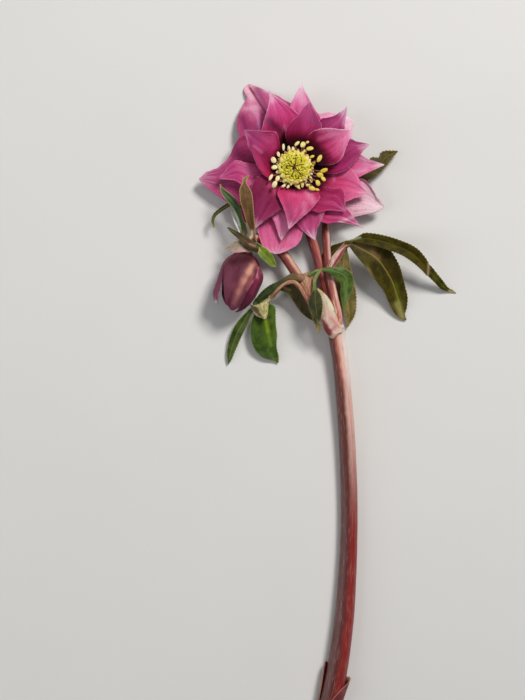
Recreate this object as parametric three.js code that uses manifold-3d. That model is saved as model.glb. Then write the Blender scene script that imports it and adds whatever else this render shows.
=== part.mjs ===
import * as THREE from "three";
import Module from "manifold-3d";
import { mergeVertices } from "three/addons/utils/BufferGeometryUtils.js";

// A double hellebore cut with its stem and laid down on a surface: one open
// flower, one hanging bud, and the bracts round the forks of the stem.
// Millimetres. +Z is up off the surface, +Y runs from the cut end to the
// flower, and the origin is on the surface under the middle of the whole.

const PETAL_THICK = 0.55; // tepals and petals of the open flower
const LEAF_THICK = 0.6; // bracts and their leaflets
const BUD_THICK = 0.6; // tepals of the closed bud
const SHEATH_THICK = 0.5; // papery sheath round the foot of the stem
const STEM_SIDES = 12;
const BRANCH_SIDES = 10;
const FILAMENT_R = 0.3;
const STYLE_R = 0.34;
const DOME_BASE_Z = 13.65; // underside of the mass of stamens, just over the receptacle
const DOME_TOP_Z = 20.4;
const DOME_R = 6.3;
const WELL_R = 1.35; // well in the top of the dome that the styles stand in
const WELL_Z = 17.5;

// Stations of the stem and its three branches: x, y, z, radius.
const SCAPE = [[0.24, -124.34, 5.12, 4.25], [2, -117.58, 5.06, 4.2], [3.99, -107.65, 4.9, 4.12], [5.43, -97.74, 4.6, 4.02], [6.64, -87.82, 4.2, 3.86], [7.53, -75.91, 3.78, 3.66], [8.18, -63.99, 3.46, 3.48], [8.5, -52.04, 3.35, 3.38], [8.5, -40.08, 3.32, 3.32], [8.1, -28.11, 3.55, 3.3], [7.53, -16.14, 3.95, 3.25], [6.63, -4.17, 4.5, 3.18], [5.66, 6.99, 5.1, 3.16], [4.48, 16.93, 5.7, 3.2], [3.64, 22.5, 6.1, 3.35], [3.39, 24.69, 6.3, 3.55], [2.83, 27.27, 6.5, 3.3]];
const LEFT_BRANCH = [[3.35, 24.88, 6.3, 2.6], [0.36, 29.25, 6.9, 2.4], [-3.43, 33.61, 7.5, 2.35], [-7.41, 38.76, 8, 2.3], [-10.98, 45.1, 8.2, 2.15], [-14.75, 51.26, 8, 2], [-18.71, 56.64, 7.3, 1.95], [-22.68, 59.82, 7.3, 1.85], [-26.26, 61.55, 8.6, 1.8], [-28.83, 62.15, 10.2, 1.85], [-30.29, 61.05, 10.9, 1.75], [-30.93, 58.87, 11, 1.6], [-31.56, 56.91, 10.5, 1.7], [-32.2, 55.35, 9.9, 2.3], [-32.6, 54.18, 9.6, 2.3]];
const FLOWER_STALK = [[3.36, 24.89, 6.2, 2.5], [1.39, 32.84, 5.6, 2.15], [-0.79, 40.81, 5, 2], [-2.96, 49.59, 4.5, 1.95], [-4.95, 57.16, 4.2, 1.9], [-6.94, 63.55, 4, 1.9], [-8.93, 70.73, 3.8, 1.9], [-10.52, 78.31, 3.7, 1.9], [-11.52, 83.87, 3.9, 1.95], [-12.09, 86.98, 5.1, 2.1], [-12.32, 88.83, 7, 2.4], [-12.38, 89.49, 8.8, 3], [-12.41, 89.64, 10.6, 3.7], [-12.44, 89.56, 13.3, 3.9]];
const REAR_BRANCH = [[3.74, 25.28, 6.8, 2.4], [3.43, 32.42, 7.6, 2], [2, 39.56, 7.9, 1.85], [0.73, 46.31, 7.7, 1.75], [-0.13, 52.68, 7.1, 1.68], [-0.58, 59.47, 6.1, 1.62], [-0.79, 67.08, 5, 1.6], [-0.17, 74.69, 4.2, 1.55], [1.24, 80.69, 3.8, 1.5], [2.63, 85.07, 3.8, 1.5]];

// Each blade lies between two edges, a and b, traced from base to tip in plan, with an optional
// middle line m. z holds its heights: one row a station along it, one number a station across it.
const BLADES = {
  tepal_upper_left: {
    a: [[-17.14, 93.07], [-26.26, 96.24], [-33.8, 99.53], [-35.6, 103.61], [-36.21, 108.52], [-35.03, 113.02], [-33.24, 116.1], [-32.05, 118.14], [-32.93, 119.98], [-33.45, 121.61], [-33.05, 123.04], [-31.86, 124.07]],
    b: [[-13.98, 95.38], [-12.39, 101.76], [-12.76, 109.05], [-15.11, 116.05], [-17.49, 117.52], [-19.88, 119.2], [-22.27, 120.15], [-24.26, 120.72], [-26.26, 122.17], [-29.06, 123.25], [-30.86, 124.09]],
    z: [[8.67, 8.89, 9.1, 9.31, 9.51], [9, 9.05, 9.21, 9.36, 9.39], [8.64, 8.71, 8.87, 8.92, 8.66], [7.63, 7.76, 7.92, 7.81, 7.13], [6.11, 6.55, 6.78, 6.5, 5.42], [4.34, 4.99, 5.26, 4.97, 3.93], [2.76, 3.27, 3.46, 3.24, 2.53], [1.43, 1.65, 1.72, 1.61, 1.31], [0.33, 0.34, 0.31, 0.22, 0.07]],
  },
  tepal_upper_right: {
    a: [[-11.6, 94.61], [-12.39, 102.92], [-10.79, 108.95], [-7.99, 111.83], [-4.8, 112.52], [-3.19, 111.59], [-1.79, 112.03], [0.01, 112.55], [2.02, 112.13], [4.43, 111.98], [7.23, 111.43], [8.83, 110.25], [10.03, 108.86], [10.43, 107.87]],
    b: [[-7.63, 92.23], [-0.91, 93.78], [5.5, 97.13], [8.76, 101.3], [9.79, 103.36], [10.01, 105], [9.62, 105.98], [10.26, 106.92], [10.43, 107.45]],
    z: [[9.3, 9.3, 9.3, 9.3, 9.3], [9.59, 9.45, 9.4, 9.48, 9.72], [9.34, 9.29, 9.27, 9.4, 9.8], [8.47, 8.73, 8.82, 8.96, 9.38], [7.1, 7.78, 8, 8.05, 8.2], [5.48, 6.49, 6.83, 6.75, 6.5], [4.14, 5.15, 5.49, 5.38, 5.08], [3.14, 3.95, 4.22, 4.12, 3.84], [2.9, 3.12, 3.2, 3.17, 3.1]],
  },
  tepal_right: {
    a: [[-7.63, 88.66], [-0.13, 89.79], [7, 88.61], [11.77, 86.86], [14.56, 85.89], [16.56, 83.94], [18.57, 81.21], [20.6, 77.7], [22.07, 74.97]],
    b: [[-9.22, 85.09], [-4.07, 77.95], [2.29, 71.66], [7.48, 69.73], [11.07, 70.55], [14.67, 71.57], [18.26, 72.19], [20.66, 73.19], [22.01, 74.19]],
    z: [[9.4, 9.4, 9.4, 9.4, 9.4], [9.98, 9.69, 9.59, 9.64, 9.78], [10.23, 9.71, 9.53, 9.55, 9.58], [10.12, 9.53, 9.32, 9.25, 9.02], [9.8, 9.2, 9, 8.85, 8.4], [9.32, 8.66, 8.44, 8.22, 7.57], [8.52, 7.84, 7.62, 7.42, 6.82], [7.58, 6.95, 6.73, 6.61, 6.24], [6.3, 6.08, 6, 5.97, 5.9]],
  },
  tepal_bottom: {
    a: [[-16.35, 85.87], [-23.09, 77.09], [-27.44, 69.52], [-28.04, 65.15], [-27.05, 61.2], [-25.47, 58.05], [-23.09, 56.37], [-20.92, 55.71]],
    b: [[-11.99, 84.7], [-10.82, 76.32], [-10.04, 69.93], [-10.05, 64.76], [-10.85, 61.2], [-12.03, 59.42], [-14.79, 57.65], [-17.56, 56.41], [-19.53, 55.79]],
    z: [[9.53, 9.48, 9.44, 9.4, 9.36], [9.95, 9.8, 9.73, 9.73, 9.8], [10.42, 10.13, 10.02, 10.1, 10.36], [10.95, 10.48, 10.32, 10.48, 10.99], [11.53, 10.84, 10.61, 10.85, 11.59], [12.05, 11.17, 10.87, 11.16, 12.05], [12.04, 11.18, 10.9, 11.19, 12.04], [11.76, 11.09, 10.87, 11.1, 11.77], [10.88, 10.66, 10.59, 10.68, 10.91]],
  },
  tepal_left: {
    a: [[-16.36, 91.39], [-23.09, 96.14], [-29.43, 101.31], [-32.99, 102.93], [-35.18, 102.03], [-36.65, 100.19], [-37.76, 97.84], [-38.76, 95.49], [-40.15, 93.34], [-42.14, 91.58], [-44.13, 90.02], [-46.92, 89.06], [-48.91, 88.28], [-50.11, 86.91], [-51.31, 85.92]],
    b: [[-16.75, 85.9], [-22.29, 76.82], [-28.24, 69.74], [-32.61, 68.18], [-35.8, 71.78], [-39.78, 76.17], [-43.75, 78.97], [-46.54, 80.96], [-49.32, 83.14], [-51.31, 85.61]],
    z: [[9.89, 9.7, 9.51, 9.32, 9.14], [10.05, 9.67, 9.41, 9.19, 8.9], [9.98, 9.41, 9.1, 8.83, 8.37], [9.6, 8.94, 8.59, 8.26, 7.57], [9.09, 8.36, 8.04, 7.67, 6.8], [8.3, 7.73, 7.48, 7.15, 6.32], [7.43, 7.01, 6.85, 6.61, 5.96], [6.6, 6.34, 6.25, 6.15, 5.87], [5.91, 5.79, 5.78, 5.81, 5.84]],
  },
  petal_01: {
    a: [[-17.57, 86.81], [-20.74, 85.65], [-24.09, 85.34], [-26.65, 87.83], [-28.81, 91.36], [-29.99, 94.7], [-31.36, 96.86], [-32.15, 99.81], [-32.78, 102.16], [-33.4, 103.98]],
    b: [[-17.48, 91], [-18.21, 93.48], [-18.78, 96.45], [-19.38, 99.46], [-19.98, 101.93], [-20.96, 103.25], [-23.31, 103.61], [-26.26, 103.69], [-29.79, 103.93], [-33.16, 104.16]],
    z: [[13.1, 12.53, 11.99, 11.47, 10.97], [15.75, 14.88, 14.19, 13.85, 14.07], [17.44, 16.57, 15.86, 15.64, 16.32], [18.29, 17.68, 17.07, 16.96, 17.88], [18.26, 18.23, 17.87, 17.91, 19.1], [18.2, 18.49, 18.34, 18.48, 19.68], [18.2, 18.51, 18.47, 18.63, 19.56], [18.25, 18.4, 18.4, 18.53, 19.05], [18.15, 18.22, 18.3, 18.44, 18.68]],
  },
  petal_02: {
    a: [[-10.67, 95.49], [-9.93, 99.17], [-8.39, 101.97], [-6.25, 103.64], [-3.91, 104.36], [-1.18, 104.72], [1.57, 104.72], [4.71, 104.25], [8.09, 104.16]],
    b: [[-7.9, 92.56], [-4.6, 90.59], [-0.32, 90.25], [3.19, 91.14], [5.14, 92.88], [6.31, 95.81], [7.5, 98.97], [8.4, 101.33], [8.53, 103.86]],
    z: [[13.21, 13.02, 12.89, 12.83, 12.82], [15.84, 14.81, 14.46, 14.61, 15.12], [17.69, 16.26, 15.81, 16.07, 16.78], [19, 17.45, 16.97, 17.26, 18.03], [19.99, 18.42, 17.93, 18.19, 18.84], [20.42, 19.03, 18.6, 18.76, 19.13], [20.33, 19.22, 18.87, 18.91, 18.93], [19.88, 19.15, 18.92, 18.89, 18.77], [18.76, 18.61, 18.57, 18.57, 18.58]],
  },
  petal_03: {
    a: [[-14.4, 94.77], [-16.41, 99.25], [-17.22, 103.42], [-16.04, 106.13], [-14.47, 107.9], [-12.5, 109.69], [-10.53, 112.5], [-8.94, 114.33], [-7.52, 115.76]],
    b: [[-10.84, 95.21], [-7.74, 99.27], [-4.04, 102.87], [-2.75, 105.21], [-3.45, 107.77], [-4.82, 110.36], [-6.19, 112.55], [-6.81, 114.55], [-7.24, 115.75]],
    z: [[12.27, 12.12, 11.97, 11.84, 11.77], [14.43, 13.85, 13.59, 13.62, 13.92], [16.18, 15.32, 15, 15.12, 15.62], [17.27, 16.34, 16.01, 16.18, 16.73], [17.81, 16.89, 16.58, 16.72, 17.15], [17.78, 17.03, 16.79, 16.86, 17.07], [17.37, 16.84, 16.67, 16.7, 16.75], [16.65, 16.38, 16.29, 16.3, 16.32], [15.79, 15.81, 15.82, 15.84, 15.86]],
  },
  petal_04: {
    a: [[-12.81, 96.06], [-16.38, 101.45], [-17.57, 106.54], [-16.78, 110.89], [-15.4, 114.09], [-13.89, 116.9], [-12.42, 119.84], [-11.23, 122.22], [-10.71, 123.67]],
    b: [[-9.24, 95.69], [-4.93, 100.69], [-2.96, 105.38], [-3.16, 109.33], [-5.01, 112.32], [-6.9, 115.71], [-8.35, 118.51], [-9.65, 120.93], [-10.36, 123.67]],
    z: [[10.98, 10.91, 10.84, 10.76, 10.7], [12.1, 11.81, 11.68, 11.7, 11.84], [12.92, 12.49, 12.33, 12.39, 12.64], [13.19, 12.73, 12.57, 12.65, 12.92], [13.2, 12.74, 12.59, 12.66, 12.88], [12.86, 12.46, 12.33, 12.41, 12.64], [12.33, 12.02, 11.93, 12.01, 12.24], [11.69, 11.52, 11.47, 11.54, 11.75], [11, 11.01, 11.02, 11.03, 11.04]],
  },
  petal_05: {
    a: [[-17.16, 93.64], [-23.1, 97.77], [-26.45, 102.82], [-25.86, 106.75], [-24.76, 110.52], [-23.81, 114.11], [-23.3, 117.12], [-23.77, 119.82]],
    b: [[-14, 95.62], [-11.66, 101.35], [-10.89, 106.39], [-11.48, 110.11], [-13.26, 111.97], [-15.62, 113.88], [-18.37, 115.88], [-21.13, 117.99], [-23.49, 120.02]],
    z: [[11.6, 11.6, 11.59, 11.58, 11.58], [13.18, 12.81, 12.69, 12.81, 13.18], [14.37, 13.77, 13.57, 13.76, 14.31], [15.04, 14.37, 14.14, 14.34, 14.93], [15.3, 14.62, 14.4, 14.58, 15.1], [15.16, 14.59, 14.4, 14.56, 15.04], [14.82, 14.4, 14.26, 14.38, 14.73], [14.18, 13.95, 13.87, 13.93, 14.1], [13.4, 13.4, 13.4, 13.4, 13.4]],
  },
  petal_06: {
    a: [[-10.44, 94.85], [-8.11, 100.57], [-5.76, 105.61], [-3.01, 108.88], [-0.24, 109.45], [2.13, 110.15], [4.51, 111.6], [6.1, 112.7], [6.97, 113.94]],
    b: [[-7.47, 92.88], [-0.99, 95.49], [4.11, 98.59], [6.28, 101.73], [6.32, 104.89], [6.56, 108.06], [7.04, 111.04], [7.36, 112.83], [7.29, 113.94]],
    z: [[11.26, 11.25, 11.23, 11.2, 11.17], [12.85, 12.38, 12.21, 12.23, 12.32], [14.01, 13.22, 12.96, 13.02, 13.2], [14.66, 13.77, 13.47, 13.55, 13.77], [14.96, 14.06, 13.77, 13.84, 14.07], [14.77, 14.03, 13.79, 13.87, 14.1], [14.43, 13.9, 13.73, 13.8, 14], [13.95, 13.66, 13.56, 13.61, 13.73], [13.42, 13.42, 13.43, 13.43, 13.43]],
  },
  petal_07: {
    a: [[-8.08, 92.43], [-2.59, 95.82], [3.67, 99.25], [8.4, 101.1], [10.77, 100.05], [13.14, 99.56], [14.73, 99.23], [16, 98.77]],
    b: [[-7.69, 89.05], [-3.38, 87.53], [0.52, 86.92], [3.85, 87.19], [6.4, 88.03], [8.48, 89.81], [10.74, 92.32], [12.73, 94.92], [14.33, 96.93], [16.08, 98.46]],
    z: [[11.88, 11.96, 12.05, 12.14, 12.22], [13.04, 12.95, 12.98, 13.21, 13.77], [14.02, 13.92, 13.92, 14.26, 15.1], [14.86, 14.74, 14.73, 15.08, 16.01], [15.42, 15.29, 15.27, 15.6, 16.52], [15.6, 15.47, 15.43, 15.68, 16.38], [15.47, 15.32, 15.28, 15.43, 15.88], [15.1, 14.96, 14.9, 14.98, 15.2], [14.61, 14.6, 14.59, 14.57, 14.56]],
  },
  petal_08: {
    a: [[-7.27, 90.93], [0.61, 95.17], [6.91, 97.09], [11.84, 95.71], [14.22, 94.14], [16.4, 92.89], [19.18, 92], [22.07, 91.12]],
    b: [[-7.26, 87.4], [-0.17, 83.75], [6.92, 83.3], [11.46, 85.54], [14.03, 86.93], [16.8, 88.32], [19.58, 89.64], [22.16, 90.77]],
    z: [[10.83, 10.72, 10.62, 10.52, 10.44], [11.44, 11.23, 11.11, 11.05, 11.08], [12.07, 11.76, 11.6, 11.59, 11.73], [12.63, 12.22, 12.04, 12.05, 12.29], [12.97, 12.52, 12.32, 12.35, 12.62], [12.97, 12.53, 12.34, 12.38, 12.65], [12.81, 12.44, 12.28, 12.32, 12.57], [12.43, 12.22, 12.12, 12.14, 12.27], [12.03, 12.01, 11.99, 11.97, 11.96]],
  },
  petal_09: {
    a: [[-6.88, 88.11], [-2.18, 89.18], [3.71, 89.38], [8.05, 89.81], [10.14, 88.13], [12.02, 85.2], [13.74, 82.48], [15.54, 80.03]],
    b: [[-8.46, 84.56], [-4.16, 78.9], [0.96, 75.32], [6.1, 75.74], [8.48, 76.86], [10.86, 77.75], [13.24, 78.56], [15.62, 79.6]],
    z: [[11.47, 11.41, 11.38, 11.37, 11.39], [12.78, 12.44, 12.35, 12.42, 12.59], [13.69, 13.22, 13.11, 13.21, 13.41], [14.16, 13.65, 13.53, 13.64, 13.85], [14.34, 13.81, 13.68, 13.75, 13.83], [14.14, 13.7, 13.58, 13.59, 13.51], [13.65, 13.34, 13.25, 13.23, 13.14], [12.96, 12.8, 12.75, 12.74, 12.69], [12.32, 12.3, 12.29, 12.27, 12.25]],
  },
  petal_10: {
    a: [[-7.69, 84.88], [-4.19, 82.94], [-0.68, 81.79], [2.46, 81.38], [5.03, 81.28], [6.1, 79.92], [6.43, 77.2], [6.69, 74.87], [6.98, 72.69]],
    b: [[-10.66, 82.5], [-8.92, 77.24], [-6.96, 72.87], [-3.81, 71.84], [-0.26, 72.61], [3.7, 72.43], [6.7, 72.37]],
    z: [[12.53, 12.51, 12.53, 12.58, 12.59], [14.5, 14.02, 13.88, 13.94, 14.1], [15.78, 14.99, 14.74, 14.78, 14.87], [16.39, 15.51, 15.23, 15.24, 15.26], [16.61, 15.72, 15.44, 15.46, 15.48], [16.17, 15.5, 15.28, 15.3, 15.32], [15.59, 15.15, 15.01, 15.03, 15.04], [14.96, 14.75, 14.68, 14.69, 14.7], [14.36, 14.36, 14.37, 14.37, 14.38]],
  },
  petal_11: {
    a: [[-8.45, 85.02], [-1.37, 79.36], [4.94, 75.39], [8.12, 72.65], [9.96, 70.31], [11.24, 68.76], [12.52, 67.08], [13.88, 66.18]],
    b: [[-12.01, 83.45], [-8.87, 76.22], [-5.32, 70.65], [-2.56, 68.09], [-0.18, 67.67], [3, 68.1], [6.57, 67.89], [9.75, 67.32], [12.13, 66.49], [13.88, 65.86]],
    z: [[10.43, 10.36, 10.28, 10.24, 10.23], [11.36, 11.14, 11.04, 11.08, 11.29], [12.12, 11.8, 11.67, 11.77, 12.13], [12.6, 12.21, 12.08, 12.2, 12.59], [12.81, 12.4, 12.27, 12.36, 12.63], [12.54, 12.16, 12.05, 12.04, 11.98], [11.91, 11.66, 11.59, 11.53, 11.29], [11.11, 11.02, 11, 10.93, 10.67], [10.41, 10.43, 10.45, 10.46, 10.49]],
  },
  petal_12: {
    a: [[-13.4, 83.41], [-14.81, 75.77], [-14.02, 69.83], [-12.52, 67.46], [-10.86, 65.5], [-8.88, 63.66], [-6.9, 61.98], [-5.47, 61.12]],
    b: [[-9.85, 83.97], [-5.75, 78.08], [-2.41, 74.3], [-1.54, 72.33], [-2.2, 69.98], [-3.38, 67.72], [-4.31, 65.5], [-4.85, 63.15], [-5.08, 61.12]],
    z: [[10.9, 11.02, 11.13, 11.22, 11.29], [11.95, 11.97, 12.05, 12.27, 12.71], [12.75, 12.71, 12.78, 13.08, 13.76], [13.17, 13.12, 13.18, 13.52, 14.31], [13.34, 13.27, 13.33, 13.68, 14.5], [13.31, 13.2, 13.22, 13.52, 14.23], [13.04, 12.91, 12.9, 13.12, 13.63], [12.55, 12.45, 12.44, 12.54, 12.79], [12.03, 12.02, 12.02, 12.01, 12.01]],
  },
  petal_13: {
    a: [[-14.88, 84.27], [-19.37, 81.87], [-20.24, 79.43], [-19.19, 76.43], [-18.01, 73.74], [-17.03, 71.11], [-16.36, 68.26], [-15.97, 65.25]],
    b: [[-10.84, 84.74], [-6.58, 81.69], [-4.13, 79.81], [-3.37, 77.79], [-4.68, 75.32], [-6.64, 73.04], [-8.99, 70.89], [-11.34, 68.94], [-13.69, 66.88], [-15.57, 65.17]],
    z: [[12.1, 11.91, 11.77, 11.7, 11.66], [14.92, 14.15, 13.89, 14.16, 14.88], [16.66, 15.77, 15.55, 16.04, 17.19], [17.89, 17.09, 16.91, 17.47, 18.68], [18.57, 18.01, 17.91, 18.36, 19.36], [18.78, 18.38, 18.32, 18.64, 19.31], [18.78, 18.52, 18.49, 18.68, 19.1], [18.44, 18.33, 18.32, 18.42, 18.62], [18.19, 18.2, 18.21, 18.21, 18.2]],
  },
  petal_14: {
    a: [[-16.76, 84.6], [-21.13, 78.09], [-23.58, 72.93], [-22.87, 70.57], [-21.52, 68.49], [-20.5, 65.48], [-19.55, 62.74], [-18.67, 60.94]],
    b: [[-13.41, 83.55], [-12.45, 76.5], [-12.46, 70.95], [-14.23, 66.64], [-15.49, 65.08], [-16.63, 63.52], [-17.57, 62.35], [-18.44, 60.94]],
    z: [[10.81, 11.01, 11.25, 11.48, 11.71], [12.43, 12.36, 12.47, 12.71, 13.03], [13.55, 13.3, 13.33, 13.54, 13.83], [14.12, 13.79, 13.78, 13.96, 14.24], [14.32, 13.97, 13.92, 14.1, 14.43], [14.18, 13.85, 13.79, 13.96, 14.33], [13.74, 13.47, 13.41, 13.54, 13.83], [13.15, 12.99, 12.95, 13, 13.13], [12.66, 12.64, 12.63, 12.62, 12.61]],
  },
  petal_15: {
    a: [[-17.56, 87.29], [-21.92, 86.69], [-25.47, 86.72], [-28.22, 85.98], [-29.8, 83.41], [-30.78, 79.88], [-30.27, 75.59], [-29.8, 71.3], [-28.94, 65.81]],
    b: [[-15.98, 84.61], [-17.19, 80.41], [-17.4, 76.77], [-18, 73.77], [-19.97, 71.99], [-22.32, 70.43], [-24.68, 68.88], [-26.85, 67.23], [-28.62, 65.69]],
    z: [[11.94, 11.91, 11.87, 11.81, 11.77], [14.69, 14.1, 13.88, 13.86, 13.9], [16.07, 15.48, 15.26, 15.29, 15.45], [16.71, 16.29, 16.12, 16.2, 16.5], [16.81, 16.63, 16.56, 16.68, 17.11], [16.17, 16.4, 16.47, 16.6, 17.04], [15.69, 15.98, 16.07, 16.2, 16.6], [15.06, 15.34, 15.43, 15.51, 15.76], [14.83, 14.84, 14.84, 14.85, 14.86]],
  },
  petal_16: {
    a: [[-18.15, 89.52], [-23.89, 91.19], [-29.02, 91.16], [-32.97, 91.84], [-36.72, 92.65], [-38.9, 90.83], [-40.89, 88.51], [-42.47, 86.75], [-43.19, 85.69]],
    b: [[-18.43, 86.31], [-23.1, 81.33], [-28.63, 78.78], [-31.99, 80.97], [-34.56, 83.08], [-36.54, 84.44], [-39.71, 85.09], [-42.95, 85.38]],
    z: [[11.2, 11.2, 11.2, 11.2, 11.2], [12.17, 12.06, 12.02, 12.02, 12.02], [12.77, 12.55, 12.47, 12.45, 12.4], [13.03, 12.7, 12.58, 12.52, 12.32], [13, 12.55, 12.4, 12.3, 12], [12.81, 12.29, 12.12, 12.03, 11.78], [12.24, 11.84, 11.7, 11.65, 11.5], [11.5, 11.34, 11.28, 11.27, 11.22], [11, 11, 11, 11, 11]],
  },
  right_bract_sheath: {
    a: [[-0.71, 50.22], [0.68, 53.78], [2.66, 56.27], [5.04, 58.65], [7.42, 60.4], [9.41, 61.32]],
    b: [[2.48, 50.23], [3.86, 52.21], [5.04, 54.18], [6.23, 56.55], [7.53, 58.42], [9.8, 59.81]],
    z: [[9.57, 10.49, 9.01], [9.68, 10.68, 9.28], [9.75, 10.83, 9.51], [9.69, 10.83, 9.58], [9.57, 10.78, 9.59], [9.29, 10.55, 9.42]],
  },
  right_bract_leaflet_1: {
    a: [[9.91, 61.76], [11.67, 62.69], [13.97, 63.88], [17.07, 63.82], [20.95, 63.17], [24.89, 62.17], [28.85, 60.84], [32.91, 59.14], [35.77, 57.24], [38.13, 54.59], [39.78, 52.17], [40.56, 49.83], [40.23, 47.64]],
    b: [[10.31, 60.58], [12.65, 60], [16.29, 59.33], [20.57, 58.28], [24.51, 56.78], [28.53, 55.31], [32.19, 53.14], [35.57, 50.58], [37.63, 48.72], [39.13, 47.09]],
    z: [[11.8, 11.6, 11.8], [13, 12.65, 12.9], [13.8, 13.2, 13.5], [14.2, 13.4, 13.9], [14, 13.1, 13.7], [13.2, 12.3, 13], [11.9, 11.2, 11.8], [10.3, 9.8, 10.1], [8.3, 8.1, 8.1]],
  },
  right_bract_leaflet_2: {
    a: [[9.22, 60.73], [11.34, 61.03], [14.06, 60.78], [18.01, 60.14], [21.97, 58.8], [24.82, 56.93], [26.89, 53.84], [28.63, 50.35], [29.83, 46.47], [30.89, 42.58], [31.81, 39.03], [31.56, 34.66], [30.91, 31.83], [31.53, 29.84]],
    b: [[7.95, 59.31], [9.48, 56.91], [11.96, 53.73], [14.85, 50.41], [16.91, 47.43], [19.43, 44.34], [21.98, 41.25], [23.79, 37.36], [25.39, 34.2], [27.28, 31.62], [29.39, 30.11], [31.25, 29.52]],
    z: [[10.2, 10, 10.1], [10.87, 10.36, 10.87], [11.07, 10.32, 11.07], [10.83, 9.93, 10.83], [9.85, 8.95, 9.85], [8.45, 7.58, 8.45], [6.67, 5.9, 6.67], [4.66, 4.03, 4.66], [2.89, 2.47, 2.89], [1.66, 1.45, 1.66], [0.9, 0.9, 0.9]],
  },
  right_bract_leaflet_3: {
    a: [[5.86, 57.58], [4.11, 54.25], [3.35, 50.32], [2.79, 45.98], [3.41, 41.23], [4.63, 36.86], [5.85, 33.48], [6.98, 30.7], [7.75, 27.03]],
    b: [[7.56, 57.58], [8.27, 54.64], [8.9, 50.9], [9.73, 47.95], [10.47, 44.79], [11.18, 40.83], [11.41, 36.86], [11.23, 33.28], [10.44, 30.62], [9.06, 28.51], [8.03, 26.87]],
    z: [[8.7, 8.2, 8.7], [7.79, 7.29, 7.79], [6.77, 6.27, 6.77], [5.7, 5.2, 5.7], [4.87, 4.37, 4.87], [4.14, 3.65, 4.14], [3.5, 3, 3.5], [2.94, 2.44, 2.94], [2.48, 1.98, 2.48], [2.1, 1.6, 2.1]],
  },
  right_bract_leaflet_4: {
    a: [[7.09, 61.21], [4.76, 60.36], [2.03, 59.56], [-0.32, 58.03], [-2.3, 55.67], [-2.97, 52.89], [-2.49, 50.29]],
    b: [[7.69, 59.42], [5.76, 58.1], [4.04, 55.6], [1.7, 52.87], [-0.29, 50.69], [-1.89, 49.77]],
    z: [[7.4, 7.2, 7.4], [5.75, 5.55, 5.75], [3.87, 3.67, 3.87], [2.39, 2.19, 2.39], [1.53, 1.33, 1.53], [1.17, 0.97, 1.17], [1.1, 0.9, 1.1]],
  },
  back_bract: {
    a: [[2.37, 82.93], [6.76, 87.34], [11.55, 91.35], [16.33, 93.56], [17.33, 94.44], [20.33, 94.58], [20.93, 96.19], [22.34, 97], [25.14, 97.22], [27.79, 97.17]],
    b: [[4.01, 80.25], [8.78, 81.43], [13.55, 84.2], [16.13, 85.4], [18.32, 86.59], [20.72, 88.59], [23.12, 90.8], [25.12, 93.41], [26.73, 95.3], [27.94, 96.8]],
    z: [[6.1, 4.96, 4.42], [5.72, 4.86, 4.6], [5.45, 4.83, 4.8], [5.2, 4.75, 4.89], [4.99, 4.64, 4.9], [4.72, 4.45, 4.77], [4.41, 4.17, 4.53], [4.01, 3.8, 4.18], [3.51, 3.31, 3.71]],
  },
  lower_bract_sheath: {
    a: [[-0.27, 23.51], [-1.79, 25.65], [-2.6, 28.81], [-2.96, 32.37], [-3.11, 35.93], [-3.7, 39.1], [-4.64, 41.88]],
    b: [[5.9, 25.02], [5.09, 26.99], [4.01, 29.13], [3.13, 31.97], [1.94, 35.13], [0.25, 38.18], [-1.92, 40.56], [-4.09, 42.35]],
    z: [[9.7, 10.6, 10.9, 10.68, 10], [10.21, 11.11, 11.41, 11.19, 10.51], [10.79, 11.69, 11.99, 11.77, 11.09], [10.98, 11.88, 12.18, 11.95, 11.28], [10.95, 11.85, 12.15, 11.92, 11.25], [10.73, 11.63, 11.93, 11.7, 11.03], [10.45, 11.35, 11.65, 11.43, 10.75], [10.1, 11, 11.3, 11.07, 10.4]],
  },
  left_bract_sheath: {
    a: [[-7.07, 36.32], [-8.46, 38.3], [-9.84, 40.67], [-11.03, 43.04], [-11.74, 45.42], [-11.3, 47.48]],
    b: [[-6.47, 37.12], [-6.28, 39.89], [-5.76, 42.65], [-5.68, 45.03], [-6.2, 47.01], [-7.85, 48.72]],
    z: [[11, 11.3, 10.7], [11.2, 11.5, 10.9], [11.25, 11.55, 10.95], [11.25, 11.55, 10.95], [11.1, 11.4, 10.8], [10.85, 11.15, 10.55]],
  },
  left_bract_leaflet_1: {
    a: [[-10.83, 47.87], [-12.81, 48.03], [-14.99, 47.79], [-17.16, 46.68], [-19.93, 45.03], [-23.09, 43.47], [-25.86, 41.37], [-27.93, 39.27], [-29.28, 37.66], [-30.08, 36.32]],
    b: [[-11.42, 43.84], [-13.4, 44.79], [-15.18, 44.95], [-17.16, 43.84], [-19.33, 42.38], [-21.11, 40.89], [-23.09, 39.29], [-25.46, 37.5], [-27.65, 36.02], [-29.04, 35.56], [-30, 35.69]],
    z: [[11.15, 11.5, 11], [11.15, 11.5, 11], [11.25, 11.6, 11.1], [11.2, 11.55, 11.05], [10.85, 11.2, 10.7], [10.05, 10.4, 9.9], [8.95, 9.3, 8.8], [7.55, 7.9, 7.4], [6.05, 6.4, 5.9], [4.75, 5.1, 4.6]],
  },
  left_bract_leaflet_2: {
    a: [[-30.51, 34.63], [-33.02, 32.45], [-35.02, 30.27], [-36.9, 27.69], [-38.5, 24.51], [-39.55, 20.92], [-40.15, 17.73], [-40.23, 14.94], [-39.8, 12.38]],
    b: [[-29.24, 33.82], [-30.75, 30.85], [-32.23, 27.28], [-33.71, 24.5], [-35.03, 21.92], [-36.24, 18.93], [-37.44, 16.13], [-38.44, 13.74], [-39.44, 12.22]],
    z: [[6.06, 6.02, 6.95], [5.41, 5.27, 6.12], [4.77, 4.52, 5.26], [4.08, 3.73, 4.39], [3.35, 2.93, 3.51], [2.67, 2.2, 2.73], [2.2, 1.69, 2.18], [1.88, 1.34, 1.8], [1.64, 1.08, 1.51]],
  },
  left_bract_leaflet_3: {
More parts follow.
